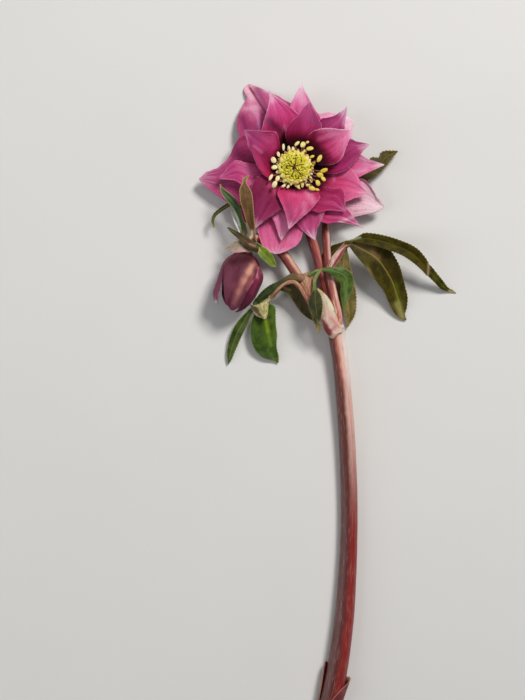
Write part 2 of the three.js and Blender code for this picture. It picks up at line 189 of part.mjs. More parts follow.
    a: [[-27.85, 34.41], [-29.44, 31.64], [-30.63, 28.47], [-30.84, 25.09], [-30.52, 21.71], [-29.45, 18.53], [-28.05, 16.53], [-25.86, 14.66], [-23.07, 13.74], [-21.47, 13.34], [-20.03, 12.42]],
    b: [[-23.88, 36.4], [-21.29, 35.22], [-20.81, 31.25], [-20.69, 27.28], [-20.28, 23.71], [-20.44, 20.52], [-20.19, 17.73], [-19.55, 15.13], [-19.63, 12.54]],
    m: [[-26.26, 35.41], [-26.06, 31.25], [-25.94, 27.68], [-25.26, 23.31], [-24.06, 19.33], [-22.27, 15.93], [-19.87, 12.54]],
    z: [[6.9, 6.67, 6.6, 6.67, 6.9], [6.37, 6.06, 5.95, 6.06, 6.37], [5.84, 5.37, 5.21, 5.37, 5.84], [5.3, 4.62, 4.4, 4.62, 5.3], [4.71, 3.97, 3.73, 3.97, 4.71], [4.04, 3.31, 3.06, 3.31, 4.04], [3.3, 2.62, 2.4, 2.62, 3.3], [2.5, 2.01, 1.84, 2.01, 2.5], [1.73, 1.47, 1.38, 1.47, 1.73], [1, 1, 1, 1, 1]],
  },
  left_bract_fold: {
    a: [[-21.66, 40.02], [-23.28, 38.51], [-25.07, 37.72], [-26.46, 36.61], [-28.24, 35.58], [-30.03, 35.63], [-31.18, 36.07]],
    b: [[-21.02, 38.52], [-22.85, 37.33], [-23.68, 35.98], [-23.68, 33.79], [-24.08, 31.69], [-24.83, 29.95], [-26.66, 30.5], [-28.64, 31.3], [-29.83, 33.01], [-30.78, 35.04]],
    z: [[8.38, 8.76, 8.14], [8.56, 8.95, 8.34], [8.6, 9, 8.4], [8.61, 9.03, 8.44], [8.41, 8.84, 8.27], [8.08, 8.54, 7.99], [7.68, 8.17, 7.65]],
  },
  left_bract_leaflet_4: {
    a: [[-18.73, 42.44], [-16.36, 43.65], [-13.99, 44.04], [-11.62, 41.95], [-9.63, 38.91], [-7.79, 35.76], [-6.41, 32.42], [-5.83, 29.7]],
    b: [[-19.6, 41.44], [-17.53, 40.66], [-15.42, 39.17], [-13.82, 37], [-12.11, 34.43], [-10.11, 31.97], [-7.97, 30.3], [-5.94, 29.18]],
    z: [[9.9, 9.2, 8.8], [10.6, 8.6, 8], [10.9, 8, 7.2], [10.7, 7.5, 6.6], [10.2, 7, 6.2], [9.4, 6.5, 5.9], [7.9, 6.1, 5.8], [6.2, 6, 6]],
  },
  left_bract_leaflet_5: {
    a: [[-4.71, 49.64], [-2.54, 50.02], [0.62, 50.46], [3.79, 50.62], [6.97, 49.85], [9.17, 48.01], [10.18, 45.46], [9.62, 41.91], [8.45, 38.75], [7.28, 36.38], [6.42, 33.73]],
    b: [[-4.51, 48.45], [-2.54, 48.72], [-0.57, 48.56], [1.61, 46.98], [4, 45.69], [5.01, 43.45], [4.76, 40.31], [5.15, 37.56], [6.1, 33.65]],
    z: [[11.6, 11.8, 11.6], [11.89, 12.18, 11.89], [11.9, 12.29, 11.81], [11.63, 12.03, 11.63], [10.89, 11.29, 11.28], [9.92, 10.26, 10.58], [9.19, 9.31, 9.69], [8.62, 8.62, 8.9], [7.92, 7.92, 8.11], [7.4, 7.4, 7.4]],
  },
  left_bract_leaflet_6: {
    a: [[-4.35, 48.68], [-5.5, 46.94], [-6.14, 44.95], [-6.14, 43.17], [-6.07, 41.86], [-7.09, 39.81], [-7.84, 37.44], [-7.84, 34.69], [-6.54, 31.73], [-3.84, 28.98]],
    b: [[-3.36, 47.97], [-4.39, 46.3], [-4.95, 44.56], [-4.96, 42.97], [-4.61, 41.79], [-3.31, 40.01], [-2.52, 37.44], [-2.32, 34.49], [-2.79, 31.54], [-3.44, 28.98]],
    z: [[13, 12.7, 13], [13.4, 13.1, 13.4], [13.8, 13.5, 13.8], [14.1, 13.8, 14.1], [14.25, 13.95, 14.25], [14.3, 14, 14.3], [14.25, 13.95, 14.25], [14.1, 13.8, 14.1], [13.7, 13.4, 13.7], [13.1, 12.8, 13.1]],
  },
  left_bract_leaflet_7: {
    a: [[-7.28, 36.12], [-7.28, 34.34], [-6.77, 31.96], [-6.09, 29.59], [-5.56, 27.23], [-4.57, 25.65], [-3.96, 24.26]],
    b: [[-6.09, 36.32], [-5.46, 34.34], [-4.51, 31.17], [-3.32, 28.81], [-2.91, 26.83], [-3.22, 25.41], [-3.69, 24.18]],
    z: [[11.4, 11.2, 11.4], [11.58, 11.38, 11.58], [11.57, 11.37, 11.57], [11.4, 11.2, 11.4], [11.04, 10.84, 11.04], [10.56, 10.36, 10.56], [10, 9.8, 10]],
  },
  bud_bract_leaflet_1: {
    a: [[-31.94, 60.96], [-31.54, 62.29], [-30.99, 63.84], [-31.61, 66.15], [-32.55, 68.83], [-33.72, 72.69], [-34.61, 75.4], [-35, 78.13], [-35.16, 80.47], [-34.49, 82.24], [-33.86, 83.31], [-33.98, 84.41], [-32.93, 85.48], [-31.44, 86.47]],
    b: [[-28.27, 60.76], [-28.5, 62.28], [-28.86, 63.83], [-28.93, 66.13], [-29.24, 69.59], [-29.55, 73.45], [-29.79, 76.94], [-30.37, 79.68], [-31.27, 81.52], [-32.45, 83.06], [-32.22, 84.41], [-31.24, 86.26]],
    z: [[13.85, 13.4, 14.05], [14.35, 13.9, 14.55], [15.45, 15, 15.65], [16.65, 16.2, 16.85], [17.6, 17.15, 17.8], [18.3, 17.85, 18.5], [18.9, 18.45, 19.1], [19.35, 18.9, 19.55], [19.6, 19.15, 19.8], [19.65, 19.2, 19.85], [19.5, 19.05, 19.7], [19.3, 18.85, 19.5], [19.05, 18.6, 19.25]],
  },
  bud_bract_leaflet_2: {
    a: [[-34.71, 62.9], [-34.63, 64.31], [-34.78, 66.65], [-35.25, 68.59], [-36.5, 71.33], [-38.48, 74.5], [-40.78, 77.32], [-42.13, 79.34], [-42.81, 81.54], [-42.94, 83.19]],
    b: [[-32.02, 62.82], [-31.94, 64.31], [-32.26, 65.68], [-32.84, 67.42], [-33.75, 69.76], [-34.53, 72.7], [-35.32, 75.28], [-36.51, 77.29], [-38.1, 78.9], [-40.08, 80.53], [-41.59, 81.74], [-42.7, 83.34]],
    z: [[12.9, 12.7, 12.95], [13.2, 13, 13.25], [14, 13.8, 14.05], [14.6, 14.4, 14.65], [14.8, 14.6, 14.85], [14.7, 14.5, 14.75], [14.2, 14, 14.25], [13.5, 13.3, 13.55], [12.8, 12.6, 12.85], [12.3, 12.1, 12.35], [11.8, 11.6, 11.85]],
  },
  bud_bract_leaflet_3: {
    a: [[-36.55, 74.51], [-38.33, 74.74], [-40.53, 73.61], [-42.93, 72.1], [-44.65, 70.56], [-45.26, 69], [-45.03, 66.45]],
    b: [[-36.94, 76.69], [-38.93, 76.32], [-40.92, 75.42], [-43.72, 73.51], [-45.72, 71.55], [-46.37, 69.4], [-45.75, 66.37]],
    z: [[10.8, 10.6, 10.8], [10.16, 9.96, 10.16], [9.39, 9.19, 9.39], [8.46, 8.26, 8.46], [7.56, 7.36, 7.56], [6.76, 6.56, 6.76], [6.2, 6, 6.2], [5.8, 5.6, 5.8]],
  },
  bud_bract_leaflet_4: {
    a: [[-35.9, 65.33], [-37, 67.69], [-37.91, 70.28], [-38.35, 72.29], [-37.88, 73.57]],
    b: [[-33.76, 65.72], [-34.75, 68.28], [-35.34, 70.27], [-36.46, 72.56], [-37.49, 73.73]],
    z: [[12.5, 12.2, 12.5], [12.68, 12.38, 12.68], [12.67, 12.37, 12.67], [12.5, 12.2, 12.5], [12.12, 11.82, 12.12], [11.7, 11.4, 11.7], [11.3, 11, 11.3]],
  },
  bud_bract_leaflet_5: {
    a: [[-28.62, 56.11], [-30.98, 57.21], [-33.35, 59.11], [-34.93, 60.8], [-36.32, 62.16], [-37.71, 63.41], [-39.21, 64.94], [-40.09, 66.1]],
    b: [[-28.62, 60.04], [-30, 60.9], [-31.77, 62.01], [-33.55, 63.14], [-35.33, 64.28], [-37.31, 65.26], [-38.9, 66.15], [-39.93, 66.41]],
    z: [[15, 15.35, 15.2], [15.1, 15.45, 15.3], [15.05, 15.4, 15.25], [14.65, 15, 14.85], [14.15, 14.5, 14.35], [13.6, 13.95, 13.8], [13.05, 13.4, 13.25], [12.55, 12.9, 12.75], [12.05, 12.4, 12.25]],
  },
  bud_bract_leaflet_6: {
    a: [[-29.33, 58.76], [-30.99, 59.35], [-32.57, 60.1], [-34.35, 60.91], [-36.13, 61.08], [-38.51, 60.02], [-40.38, 58.49], [-41.7, 57.06]],
    b: [[-29.18, 56.46], [-31.19, 56.3], [-33.56, 56.32], [-35.93, 56.07], [-37.8, 56.22], [-39.31, 57.12], [-40.5, 57.23], [-41.46, 56.77]],
    z: [[13.75, 13.75, 13.95], [13.8, 13.8, 14], [13.65, 13.65, 13.85], [13.2, 13.2, 13.4], [12.6, 12.6, 12.8], [11.8, 11.8, 12], [10.8, 10.8, 11], [9.9, 9.9, 10.1]],
  },
  bud_bract_leaflet_7: {
    a: [[-28.7, 59.14], [-28.23, 56.95], [-27.28, 54.78], [-26.02, 53.4], [-24.76, 52.42], [-23.5, 51.25], [-22.19, 50.55], [-20.81, 50.72]],
    b: [[-27.72, 59.93], [-26.65, 59.13], [-24.68, 57.82], [-23.1, 56.44], [-21.92, 54.67], [-21.13, 52.83], [-20.58, 51.03]],
    z: [[14, 13.6, 14], [14.46, 14.06, 14.46], [14.6, 14.2, 14.6], [14.6, 14.2, 14.6], [14.55, 14.15, 14.55], [14.27, 13.87, 14.27], [13.97, 13.57, 13.97], [13.6, 13.2, 13.6]],
  },
  right_bract_leaflet_1_tip: {
    a: [[38.96, 52.42], [41.01, 50.87], [43.42, 48.16], [46.16, 45.09], [48.28, 42.57], [50.16, 41.55], [51.35, 40.68]],
    b: [[38.17, 48.85], [40.26, 46.52], [42.68, 44.28], [45.4, 41.87], [47.72, 41.14], [50.01, 40.67], [51.31, 40.28]],
    z: [[8.9, 8.7, 8.8], [7.7, 7.3, 7.5], [6, 5.5, 5.7], [4.1, 3.6, 3.8], [2.28, 1.98, 2.08], [1.02, 0.82, 0.92], [0.24, 0.24, 0.24]],
  },
};

// Pieces that wrap round an axis: rows of x, y, z points of their middle surface.
const WRAPS = {
  bud_tepal_1: [
    [[-36.22, 56.12, 11.56], [-35.7, 55.91, 12.39], [-35.01, 55.65, 13.06], [-34.18, 55.37, 13.54], [-33.26, 55.08, 13.81], [-32.3, 54.79, 13.83], [-31.36, 54.52, 13.62], [-30.49, 54.29, 13.19], [-29.74, 54.11, 12.55], [-29.15, 53.99, 11.75]],
    [[-37.93, 55.06, 12.16], [-37.22, 54.77, 13.26], [-36.27, 54.42, 14.15], [-35.16, 54.05, 14.79], [-33.92, 53.65, 15.14], [-32.64, 53.27, 15.18], [-31.37, 52.91, 14.91], [-30.2, 52.59, 14.34], [-29.17, 52.34, 13.51], [-28.36, 52.17, 12.46]],
    [[-39.78, 53.28, 13.08], [-38.86, 52.92, 14.35], [-37.69, 52.5, 15.38], [-36.33, 52.05, 16.12], [-34.85, 51.57, 16.53], [-33.31, 51.11, 16.59], [-31.79, 50.67, 16.31], [-30.35, 50.28, 15.69], [-29.07, 49.96, 14.76], [-28.01, 49.73, 13.58]],
    [[-40.95, 50.69, 14.37], [-39.91, 50.3, 15.51], [-38.68, 49.87, 16.44], [-37.31, 49.42, 17.1], [-35.83, 48.95, 17.49], [-34.31, 48.49, 17.58], [-32.8, 48.05, 17.39], [-31.33, 47.64, 16.9], [-29.98, 47.29, 16.14], [-28.77, 47, 15.14]],
    [[-41.35, 47.5, 15.46], [-40.35, 47.15, 16.31], [-39.24, 46.77, 17], [-38.04, 46.37, 17.5], [-36.78, 45.98, 17.8], [-35.48, 45.58, 17.9], [-34.18, 45.2, 17.8], [-32.91, 44.84, 17.5], [-31.69, 44.5, 17.01], [-30.55, 44.21, 16.33]],
    [[-41.46, 44.12, 16.13], [-40.52, 43.8, 16.76], [-39.5, 43.46, 17.25], [-38.43, 43.11, 17.6], [-37.32, 42.77, 17.8], [-36.19, 42.43, 17.85], [-35.07, 42.1, 17.75], [-33.96, 41.78, 17.49], [-32.89, 41.49, 17.09], [-31.88, 41.22, 16.55]],
    [[-41.28, 40.85, 15.87], [-40.44, 40.56, 16.32], [-39.55, 40.27, 16.66], [-38.62, 39.98, 16.88], [-37.67, 39.69, 16.99], [-36.72, 39.41, 16.98], [-35.77, 39.13, 16.86], [-34.84, 38.87, 16.62], [-33.94, 38.62, 16.26], [-33.09, 38.4, 15.8]],
    [[-40.81, 37.9, 15.14], [-40.12, 37.68, 15.42], [-39.4, 37.45, 15.61], [-38.66, 37.22, 15.72], [-37.91, 36.99, 15.75], [-37.16, 36.77, 15.69], [-36.43, 36.56, 15.55], [-35.7, 36.36, 15.33], [-35.01, 36.17, 15.04], [-34.34, 36, 14.66]],
    [[-39.82, 35.42, 13.95], [-39.38, 35.28, 14.04], [-38.93, 35.15, 14.08], [-38.48, 35.01, 14.09], [-38.02, 34.88, 14.06], [-37.57, 34.75, 13.98], [-37.13, 34.62, 13.88], [-36.7, 34.5, 13.73], [-36.28, 34.39, 13.55], [-35.87, 34.28, 13.33]],
    [[-38.61, 33.63, 12.3], [-38.52, 33.6, 12.29], [-38.43, 33.58, 12.27], [-38.34, 33.55, 12.26], [-38.25, 33.52, 12.24], [-38.16, 33.5, 12.22], [-38.07, 33.47, 12.2], [-37.98, 33.45, 12.18], [-37.89, 33.42, 12.15], [-37.8, 33.4, 12.12]],
  ],
  bud_tepal_2: [
    [[-30.8, 54.46, 12.12], [-30.27, 54.34, 11.59], [-29.87, 54.26, 10.95], [-29.64, 54.24, 10.23], [-29.57, 54.27, 9.48], [-29.68, 54.35, 8.72], [-29.95, 54.48, 8.02]],
    [[-30.4, 52.7, 13.23], [-29.56, 52.5, 12.45], [-28.92, 52.37, 11.48], [-28.54, 52.33, 10.37], [-28.44, 52.38, 9.2], [-28.61, 52.51, 8.05], [-29.04, 52.71, 6.97]],
    [[-30.39, 50.3, 14.51], [-29.07, 49.96, 13.57], [-27.88, 49.69, 12.34], [-27.23, 49.61, 10.72], [-27.29, 49.74, 8.98], [-27.73, 49.98, 7.39], [-28.33, 50.26, 5.9]],
    [[-31.1, 47.52, 15.61], [-29.38, 47.08, 14.56], [-27.52, 46.61, 13.31], [-26.37, 46.4, 11.29], [-26.56, 46.61, 8.97], [-27.38, 46.99, 6.95], [-28.14, 47.35, 5.1]],
    [[-32.47, 44.59, 16.2], [-30.58, 44.1, 15.06], [-28.75, 43.65, 13.62], [-27.45, 43.4, 11.56], [-27.27, 43.51, 9.12], [-27.86, 43.84, 6.84], [-28.69, 44.23, 4.76]],
    [[-33.56, 41.48, 16.15], [-31.65, 40.98, 15.01], [-30.11, 40.63, 13.37], [-29.08, 40.46, 11.35], [-28.62, 40.47, 9.11], [-28.78, 40.68, 6.84], [-29.56, 41.05, 4.72]],
    [[-34.68, 38.58, 15.13], [-33.11, 38.17, 14.2], [-31.82, 37.87, 12.86], [-30.9, 37.71, 11.23], [-30.41, 37.68, 9.41], [-30.39, 37.81, 7.53], [-30.85, 38.07, 5.72]],
    [[-35.44, 36, 13.46], [-34.46, 35.76, 12.76], [-33.64, 35.57, 11.87], [-33.02, 35.46, 10.81], [-32.63, 35.42, 9.65], [-32.47, 35.46, 8.43], [-32.57, 35.57, 7.2]],
    [[-36.11, 34.04, 11.29], [-35.75, 33.95, 10.92], [-35.43, 33.89, 10.51], [-35.17, 33.84, 10.05], [-34.97, 33.81, 9.56], [-34.83, 33.81, 9.05], [-34.75, 33.82, 8.53]],
    [[-37.28, 32.94, 9.39], [-37.23, 32.93, 9.31], [-37.18, 32.92, 9.24], [-37.13, 32.91, 9.16], [-37.08, 32.91, 9.08], [-37.04, 32.9, 8.99], [-37.01, 32.89, 8.91]],
  ],
  bud_tepal_3: [
    [[-28.79, 54.12, 8.23], [-29.29, 54.33, 7.4], [-29.95, 54.57, 6.75], [-30.72, 54.83, 6.3], [-31.55, 55.09, 6.06], [-32.39, 55.35, 6.04], [-33.19, 55.58, 6.21], [-33.91, 55.77, 6.57], [-34.51, 55.91, 7.08], [-34.96, 56, 7.7]],
    [[-27.78, 52.34, 7.47], [-28.43, 52.61, 6.32], [-29.32, 52.94, 5.38], [-30.37, 53.3, 4.71], [-31.53, 53.68, 4.33], [-32.72, 54.04, 4.25], [-33.87, 54.37, 4.46], [-34.93, 54.65, 4.93], [-35.83, 54.88, 5.64], [-36.54, 55.03, 6.52]],
    [[-26.95, 49.89, 6.69], [-27.76, 50.24, 5.19], [-28.88, 50.66, 3.97], [-30.23, 51.12, 3.07], [-31.72, 51.6, 2.54], [-33.27, 52.08, 2.4], [-34.8, 52.52, 2.64], [-36.21, 52.9, 3.23], [-37.43, 53.2, 4.14], [-38.4, 53.42, 5.29]],
    [[-26.62, 47, 6.08], [-27.55, 47.4, 4.34], [-28.84, 47.88, 2.9], [-30.4, 48.42, 1.83], [-32.14, 48.98, 1.2], [-33.96, 49.54, 1.01], [-35.75, 50.06, 1.27], [-37.42, 50.51, 1.95], [-38.87, 50.88, 3.01], [-40.04, 51.13, 4.36]],
    [[-27.1, 43.94, 5.81], [-28.08, 44.36, 3.98], [-29.43, 44.87, 2.46], [-31.07, 45.43, 1.34], [-32.9, 46.03, 0.66], [-34.82, 46.61, 0.46], [-36.71, 47.16, 0.73], [-38.47, 47.64, 1.44], [-40.01, 48.03, 2.55], [-41.24, 48.3, 3.97]],
    [[-27.98, 40.87, 5.54], [-28.97, 41.29, 3.72], [-30.33, 41.8, 2.22], [-31.97, 42.36, 1.11], [-33.8, 42.96, 0.44], [-35.7, 43.54, 0.24], [-37.59, 44.09, 0.5], [-39.35, 44.57, 1.2], [-40.89, 44.96, 2.28], [-42.15, 45.24, 3.69]],
    [[-29.58, 38.22, 4.13], [-30.61, 38.62, 2.8], [-31.86, 39.07, 1.72], [-33.27, 39.55, 0.93], [-34.79, 40.03, 0.45], [-36.34, 40.51, 0.29], [-37.89, 40.96, 0.45], [-39.36, 41.37, 0.91], [-40.7, 41.72, 1.65], [-41.86, 42, 2.62]],
    [[-31.94, 36.19, 2.71], [-32.83, 36.5, 2.02], [-33.8, 36.83, 1.48], [-34.82, 37.16, 1.09], [-35.86, 37.49, 0.86], [-36.92, 37.81, 0.79], [-37.95, 38.11, 0.88], [-38.95, 38.4, 1.11], [-39.9, 38.66, 1.49], [-40.77, 38.88, 1.98]],
    [[-35.1, 34.91, 2.33], [-35.61, 35.07, 2.2], [-36.12, 35.23, 2.12], [-36.63, 35.38, 2.08], [-37.13, 35.53, 2.09], [-37.62, 35.68, 2.14], [-38.1, 35.81, 2.24], [-38.56, 35.94, 2.37], [-38.99, 36.06, 2.53], [-39.41, 36.17, 2.73]],
    [[-37.64, 34.07, 3.33], [-37.8, 34.11, 3.43], [-37.95, 34.15, 3.53], [-38.09, 34.18, 3.64], [-38.24, 34.22, 3.76], [-38.37, 34.25, 3.88], [-38.5, 34.28, 4], [-38.62, 34.31, 4.13], [-38.73, 34.33, 4.26], [-38.84, 34.35, 4.4]],
  ],
  bud_tepal_4: [
    [[-35.29, 56.19, 6.47], [-35.8, 56.28, 7.35], [-36.08, 56.3, 8.28], [-36.12, 56.25, 9.21], [-35.95, 56.14, 10.07], [-35.6, 55.99, 10.81], [-35.11, 55.8, 11.4]],
    [[-36.66, 55.19, 5.11], [-37.41, 55.34, 6.27], [-37.85, 55.39, 7.54], [-37.99, 55.34, 8.83], [-37.82, 55.2, 10.07], [-37.38, 55, 11.17], [-36.72, 54.74, 12.09]],
    [[-38.31, 53.58, 3.69], [-39.32, 53.78, 5.17], [-39.92, 53.85, 6.82], [-40.11, 53.79, 8.51], [-39.95, 53.63, 10.15], [-39.42, 53.37, 11.64], [-38.57, 53.03, 12.91]],
    [[-39.81, 51.32, 2.59], [-40.98, 51.55, 4.38], [-41.5, 51.57, 6.4], [-41.63, 51.48, 8.37], [-41.56, 51.33, 10.26], [-41.12, 51.07, 12.09], [-40.1, 50.66, 13.64]],
    [[-40.94, 48.54, 2.14], [-42.13, 48.76, 4.15], [-42.36, 48.68, 6.44], [-42.35, 48.53, 8.47], [-42.5, 48.45, 10.44], [-42.22, 48.22, 12.49], [-41.03, 47.76, 14.13]],
    [[-41.98, 45.58, 1.97], [-43.15, 45.78, 4.16], [-43.21, 45.64, 6.59], [-43.19, 45.49, 8.66], [-43.47, 45.43, 10.76], [-43.05, 45.16, 12.92], [-41.64, 44.63, 14.54]],
    [[-43.72, 42.89, 2.79], [-44.35, 42.93, 5.05], [-44.38, 42.79, 7.22], [-44.45, 42.68, 9.2], [-44.43, 42.54, 11.24], [-43.65, 42.18, 13.12], [-42.25, 41.66, 14.54]],
    [[-45.27, 40.45, 4.78], [-45.49, 40.39, 6.58], [-45.49, 40.27, 8.3], [-45.33, 40.11, 9.95], [-44.88, 39.87, 11.52], [-44.02, 39.52, 12.88], [-42.89, 39.11, 13.95]],
    [[-45.53, 38.17, 7.02], [-45.43, 38.07, 8.05], [-45.21, 37.94, 9.03], [-44.88, 37.78, 9.93], [-44.45, 37.59, 10.76], [-43.91, 37.38, 11.48], [-43.29, 37.15, 12.08]],
    [[-44.62, 36.31, 8.29], [-44.39, 36.22, 8.58], [-44.14, 36.13, 8.84], [-43.89, 36.03, 9.08], [-43.62, 35.94, 9.29], [-43.34, 35.84, 9.48], [-43.06, 35.75, 9.64]],
  ],
  bud_petal: [
    [[-39.63, 50.8, 12.19], [-38.84, 50.48, 13.34], [-37.81, 50.11, 14.26], [-36.61, 49.71, 14.92], [-35.28, 49.29, 15.28]],
    [[-40.07, 49.89, 12.23], [-39.25, 49.57, 13.41], [-38.19, 49.19, 14.37], [-36.95, 48.77, 15.05], [-35.59, 48.34, 15.42]],
    [[-40.66, 48.55, 12.28], [-39.81, 48.22, 13.5], [-38.72, 47.82, 14.49], [-37.44, 47.39, 15.19], [-36.04, 46.94, 15.57]],
    [[-41.33, 46.84, 12.31], [-40.47, 46.49, 13.57], [-39.35, 46.09, 14.58], [-38.03, 45.65, 15.3], [-36.59, 45.19, 15.69]],
    [[-41.94, 44.86, 12.25], [-41.07, 44.51, 13.5], [-39.95, 44.11, 14.52], [-38.63, 43.66, 15.24], [-37.19, 43.2, 15.63]],
    [[-42.14, 42.67, 12.01], [-41.33, 42.35, 13.14], [-40.3, 41.98, 14.06], [-39.09, 41.58, 14.72], [-37.77, 41.16, 15.08]],
    [[-42.07, 40.5, 11.72], [-41.35, 40.22, 12.66], [-40.46, 39.91, 13.42], [-39.44, 39.56, 13.97], [-38.32, 39.21, 14.28]],
    [[-41.77, 38.52, 11.35], [-41.18, 38.3, 12.06], [-40.47, 38.05, 12.64], [-39.66, 37.78, 13.07], [-38.78, 37.5, 13.32]],
    [[-41.12, 36.83, 11.13], [-40.77, 36.7, 11.47], [-40.37, 36.56, 11.77], [-39.95, 36.42, 12.01], [-39.49, 36.27, 12.19]],
    [[-40.52, 35.63, 10.86], [-40.39, 35.59, 10.96], [-40.26, 35.54, 11.05], [-40.12, 35.5, 11.14], [-39.98, 35.45, 11.21]],
  ],
  basal_sheath: [
    [[-3.29, -119.17, 6.48], [-3.53, -120.39, 6.47], [-3.78, -121.62, 6.46], [-4.05, -122.84, 6.46], [-4.35, -124.06, 6.46]],
    [[-1.67, -108.84, 5.31], [-2.21, -112.65, 5.35], [-2.79, -116.45, 5.4], [-3.59, -120.25, 5.43], [-4.53, -124.06, 5.46]],
    [[-1.01, -106.07, 3.94], [-1.65, -110.56, 4.06], [-2.41, -115.06, 4.16], [-3.33, -119.56, 4.24], [-4.47, -124.06, 4.28]],
    [[-0.01, -106.86, 2], [-0.76, -111.16, 2.13], [-1.58, -115.46, 2.23], [-2.55, -119.76, 2.3], [-3.66, -124.06, 2.34]],
    [[1.4, -108.45, 0.71], [0.63, -112.35, 0.79], [-0.15, -116.25, 0.85], [-1.09, -120.16, 0.9], [-2.11, -124.06, 0.92]],
    [[3.59, -109.64, 0.19], [2.87, -113.24, 0.22], [2.14, -116.85, 0.25], [1.25, -120.45, 0.26], [0.32, -124.06, 0.27]],
    [[5.71, -111.23, 0.74], [5.06, -114.43, 0.81], [4.41, -117.64, 0.87], [3.57, -120.85, 0.9], [2.75, -124.06, 0.92]],
    [[7.31, -112.42, 1.99], [6.61, -115.33, 2.12], [5.89, -118.24, 2.23], [5.07, -121.15, 2.3], [4.3, -124.06, 2.34]],
    [[8.44, -112.42, 3.64], [7.59, -115.33, 3.75], [6.76, -118.24, 3.84], [5.85, -121.15, 3.91], [5.03, -124.06, 3.95]],
    [[8.82, -113.01, 5.51], [7.86, -115.77, 5.52], [6.93, -118.54, 5.53], [5.98, -121.3, 5.53], [5.16, -124.06, 5.55]],
    [[7.82, -114.6, 7.13], [7.07, -116.97, 7.06], [6.28, -119.33, 6.99], [5.5, -121.7, 6.95], [4.82, -124.06, 6.94]],
    [[6.53, -115.79, 8.54], [5.93, -117.86, 8.43], [5.25, -119.93, 8.33], [4.62, -121.99, 8.26], [4.04, -124.06, 8.25]],
    [[4.95, -116.99, 9.6], [4.43, -118.75, 9.46], [3.89, -120.52, 9.34], [3.37, -122.29, 9.27], [2.89, -124.06, 9.24]],
    [[3.24, -118.77, 10.16], [2.85, -120.1, 10.01], [2.47, -121.42, 9.89], [2.09, -122.74, 9.8], [1.74, -124.06, 9.77]],
    [[1.35, -121.16, 10.38], [1.15, -121.88, 10.22], [0.95, -122.61, 10.1], [0.76, -123.34, 10.01], [0.57, -124.06, 9.98]],
  ],
};

// A bract grew as one piece: its blades, and the short necks that join them (two stations of x, y, z, radius).
const BRACTS = {
  right_bract: {
    blades: ["right_bract_sheath", "right_bract_leaflet_1", "right_bract_leaflet_1_tip", "right_bract_leaflet_2", "right_bract_leaflet_3", "right_bract_leaflet_4"],
    necks: [[[8.76, 60.15, 10.7, 0.75], [11.27, 61.61, 12.5, 0.75]], [[8.77, 60.08, 10.6, 0.75], [11.75, 58.82, 10.3, 0.75]], [[6.61, 58.32, 10.1, 0.75], [6.8, 56.62, 7.8, 0.75]], [[7.47, 59.46, 10.2, 0.65], [6.63, 60, 6.9, 0.65]], [[38.97, 49.35, 9.3, 0.62], [39.51, 49.62, 5.9, 0.62]]],
  },
  left_bract: {
    blades: ["left_bract_sheath", "left_bract_leaflet_1", "left_bract_leaflet_2", "left_bract_leaflet_3", "left_bract_fold", "left_bract_leaflet_4", "left_bract_leaflet_5", "left_bract_leaflet_6", "left_bract_leaflet_7"],
    necks: [[[-9.45, 44.82, 11.4, 0.6], [-13.21, 45.68, 11.5, 0.6]], [[-28.25, 37.53, 6.1, 0.7], [-30.16, 33.44, 5.5, 0.7]], [[-23.09, 40.52, 9.2, 0.6], [-23.68, 37.16, 8.9, 0.6]], [[-26.46, 34.59, 8.5, 0.7], [-26.18, 33.83, 6.3, 0.7]], [[-18.54, 43.33, 10.7, 0.6], [-17.61, 41.22, 8.1, 0.6]], [[-3.93, 49.11, 12, 0.6], [-6.68, 46.8, 11.3, 0.6]], [[-3.53, 49.19, 12, 0.55], [-3.91, 48.14, 12.8, 0.55]], [[-6.95, 38.1, 11.1, 0.55], [-6.52, 35.33, 11.3, 0.55]], [[-7.55, 36.71, 11.45, 0.7], [-9.65, 39.87, 11.6, 0.7]], [[-9.65, 39.87, 11.6, 0.75], [-11.83, 43.23, 11.75, 0.75]], [[-11.83, 43.23, 11.75, 0.78], [-14, 44.69, 11.8, 0.78]], [[-14, 44.69, 11.8, 0.75], [-16.77, 44.02, 11.6, 0.75]], [[-16.77, 44.02, 11.6, 0.7], [-19.53, 42.06, 10.8, 0.7]], [[-19.53, 42.06, 10.8, 0.65], [-21.5, 40, 9.4, 0.65]]],
  },
  bud_bract_upper: {
    blades: ["bud_bract_leaflet_1", "bud_bract_leaflet_2", "bud_bract_leaflet_4", "bud_bract_leaflet_3"],
    necks: [[[-30.2, 64.83, 14.7, 0.6], [-33.35, 66.42, 14.3, 0.6]], [[-33.36, 66.24, 14.1, 0.6], [-34.83, 66.52, 12.3, 0.6]], [[-36.39, 74.31, 14.3, 0.6], [-37.34, 75.29, 10.3, 0.6]]],
  },
  bud_bract_left: {
    blades: ["bud_bract_leaflet_5", "bud_bract_leaflet_6"],
    necks: [[[-31.57, 59.64, 15.2, 0.65], [-31.78, 58.52, 13.75, 0.65]]],
  },
  bud_bract_right: {
    blades: ["bud_bract_leaflet_7"],
    necks: [],
  },
  lower_bract: {
    blades: ["lower_bract_sheath"],
    necks: [],
  },
  back_bract: {
    blades: ["back_bract"],
    necks: [],
  },
};

const DOME = [-13.49, 89.49]; // middle of the mass of stamens
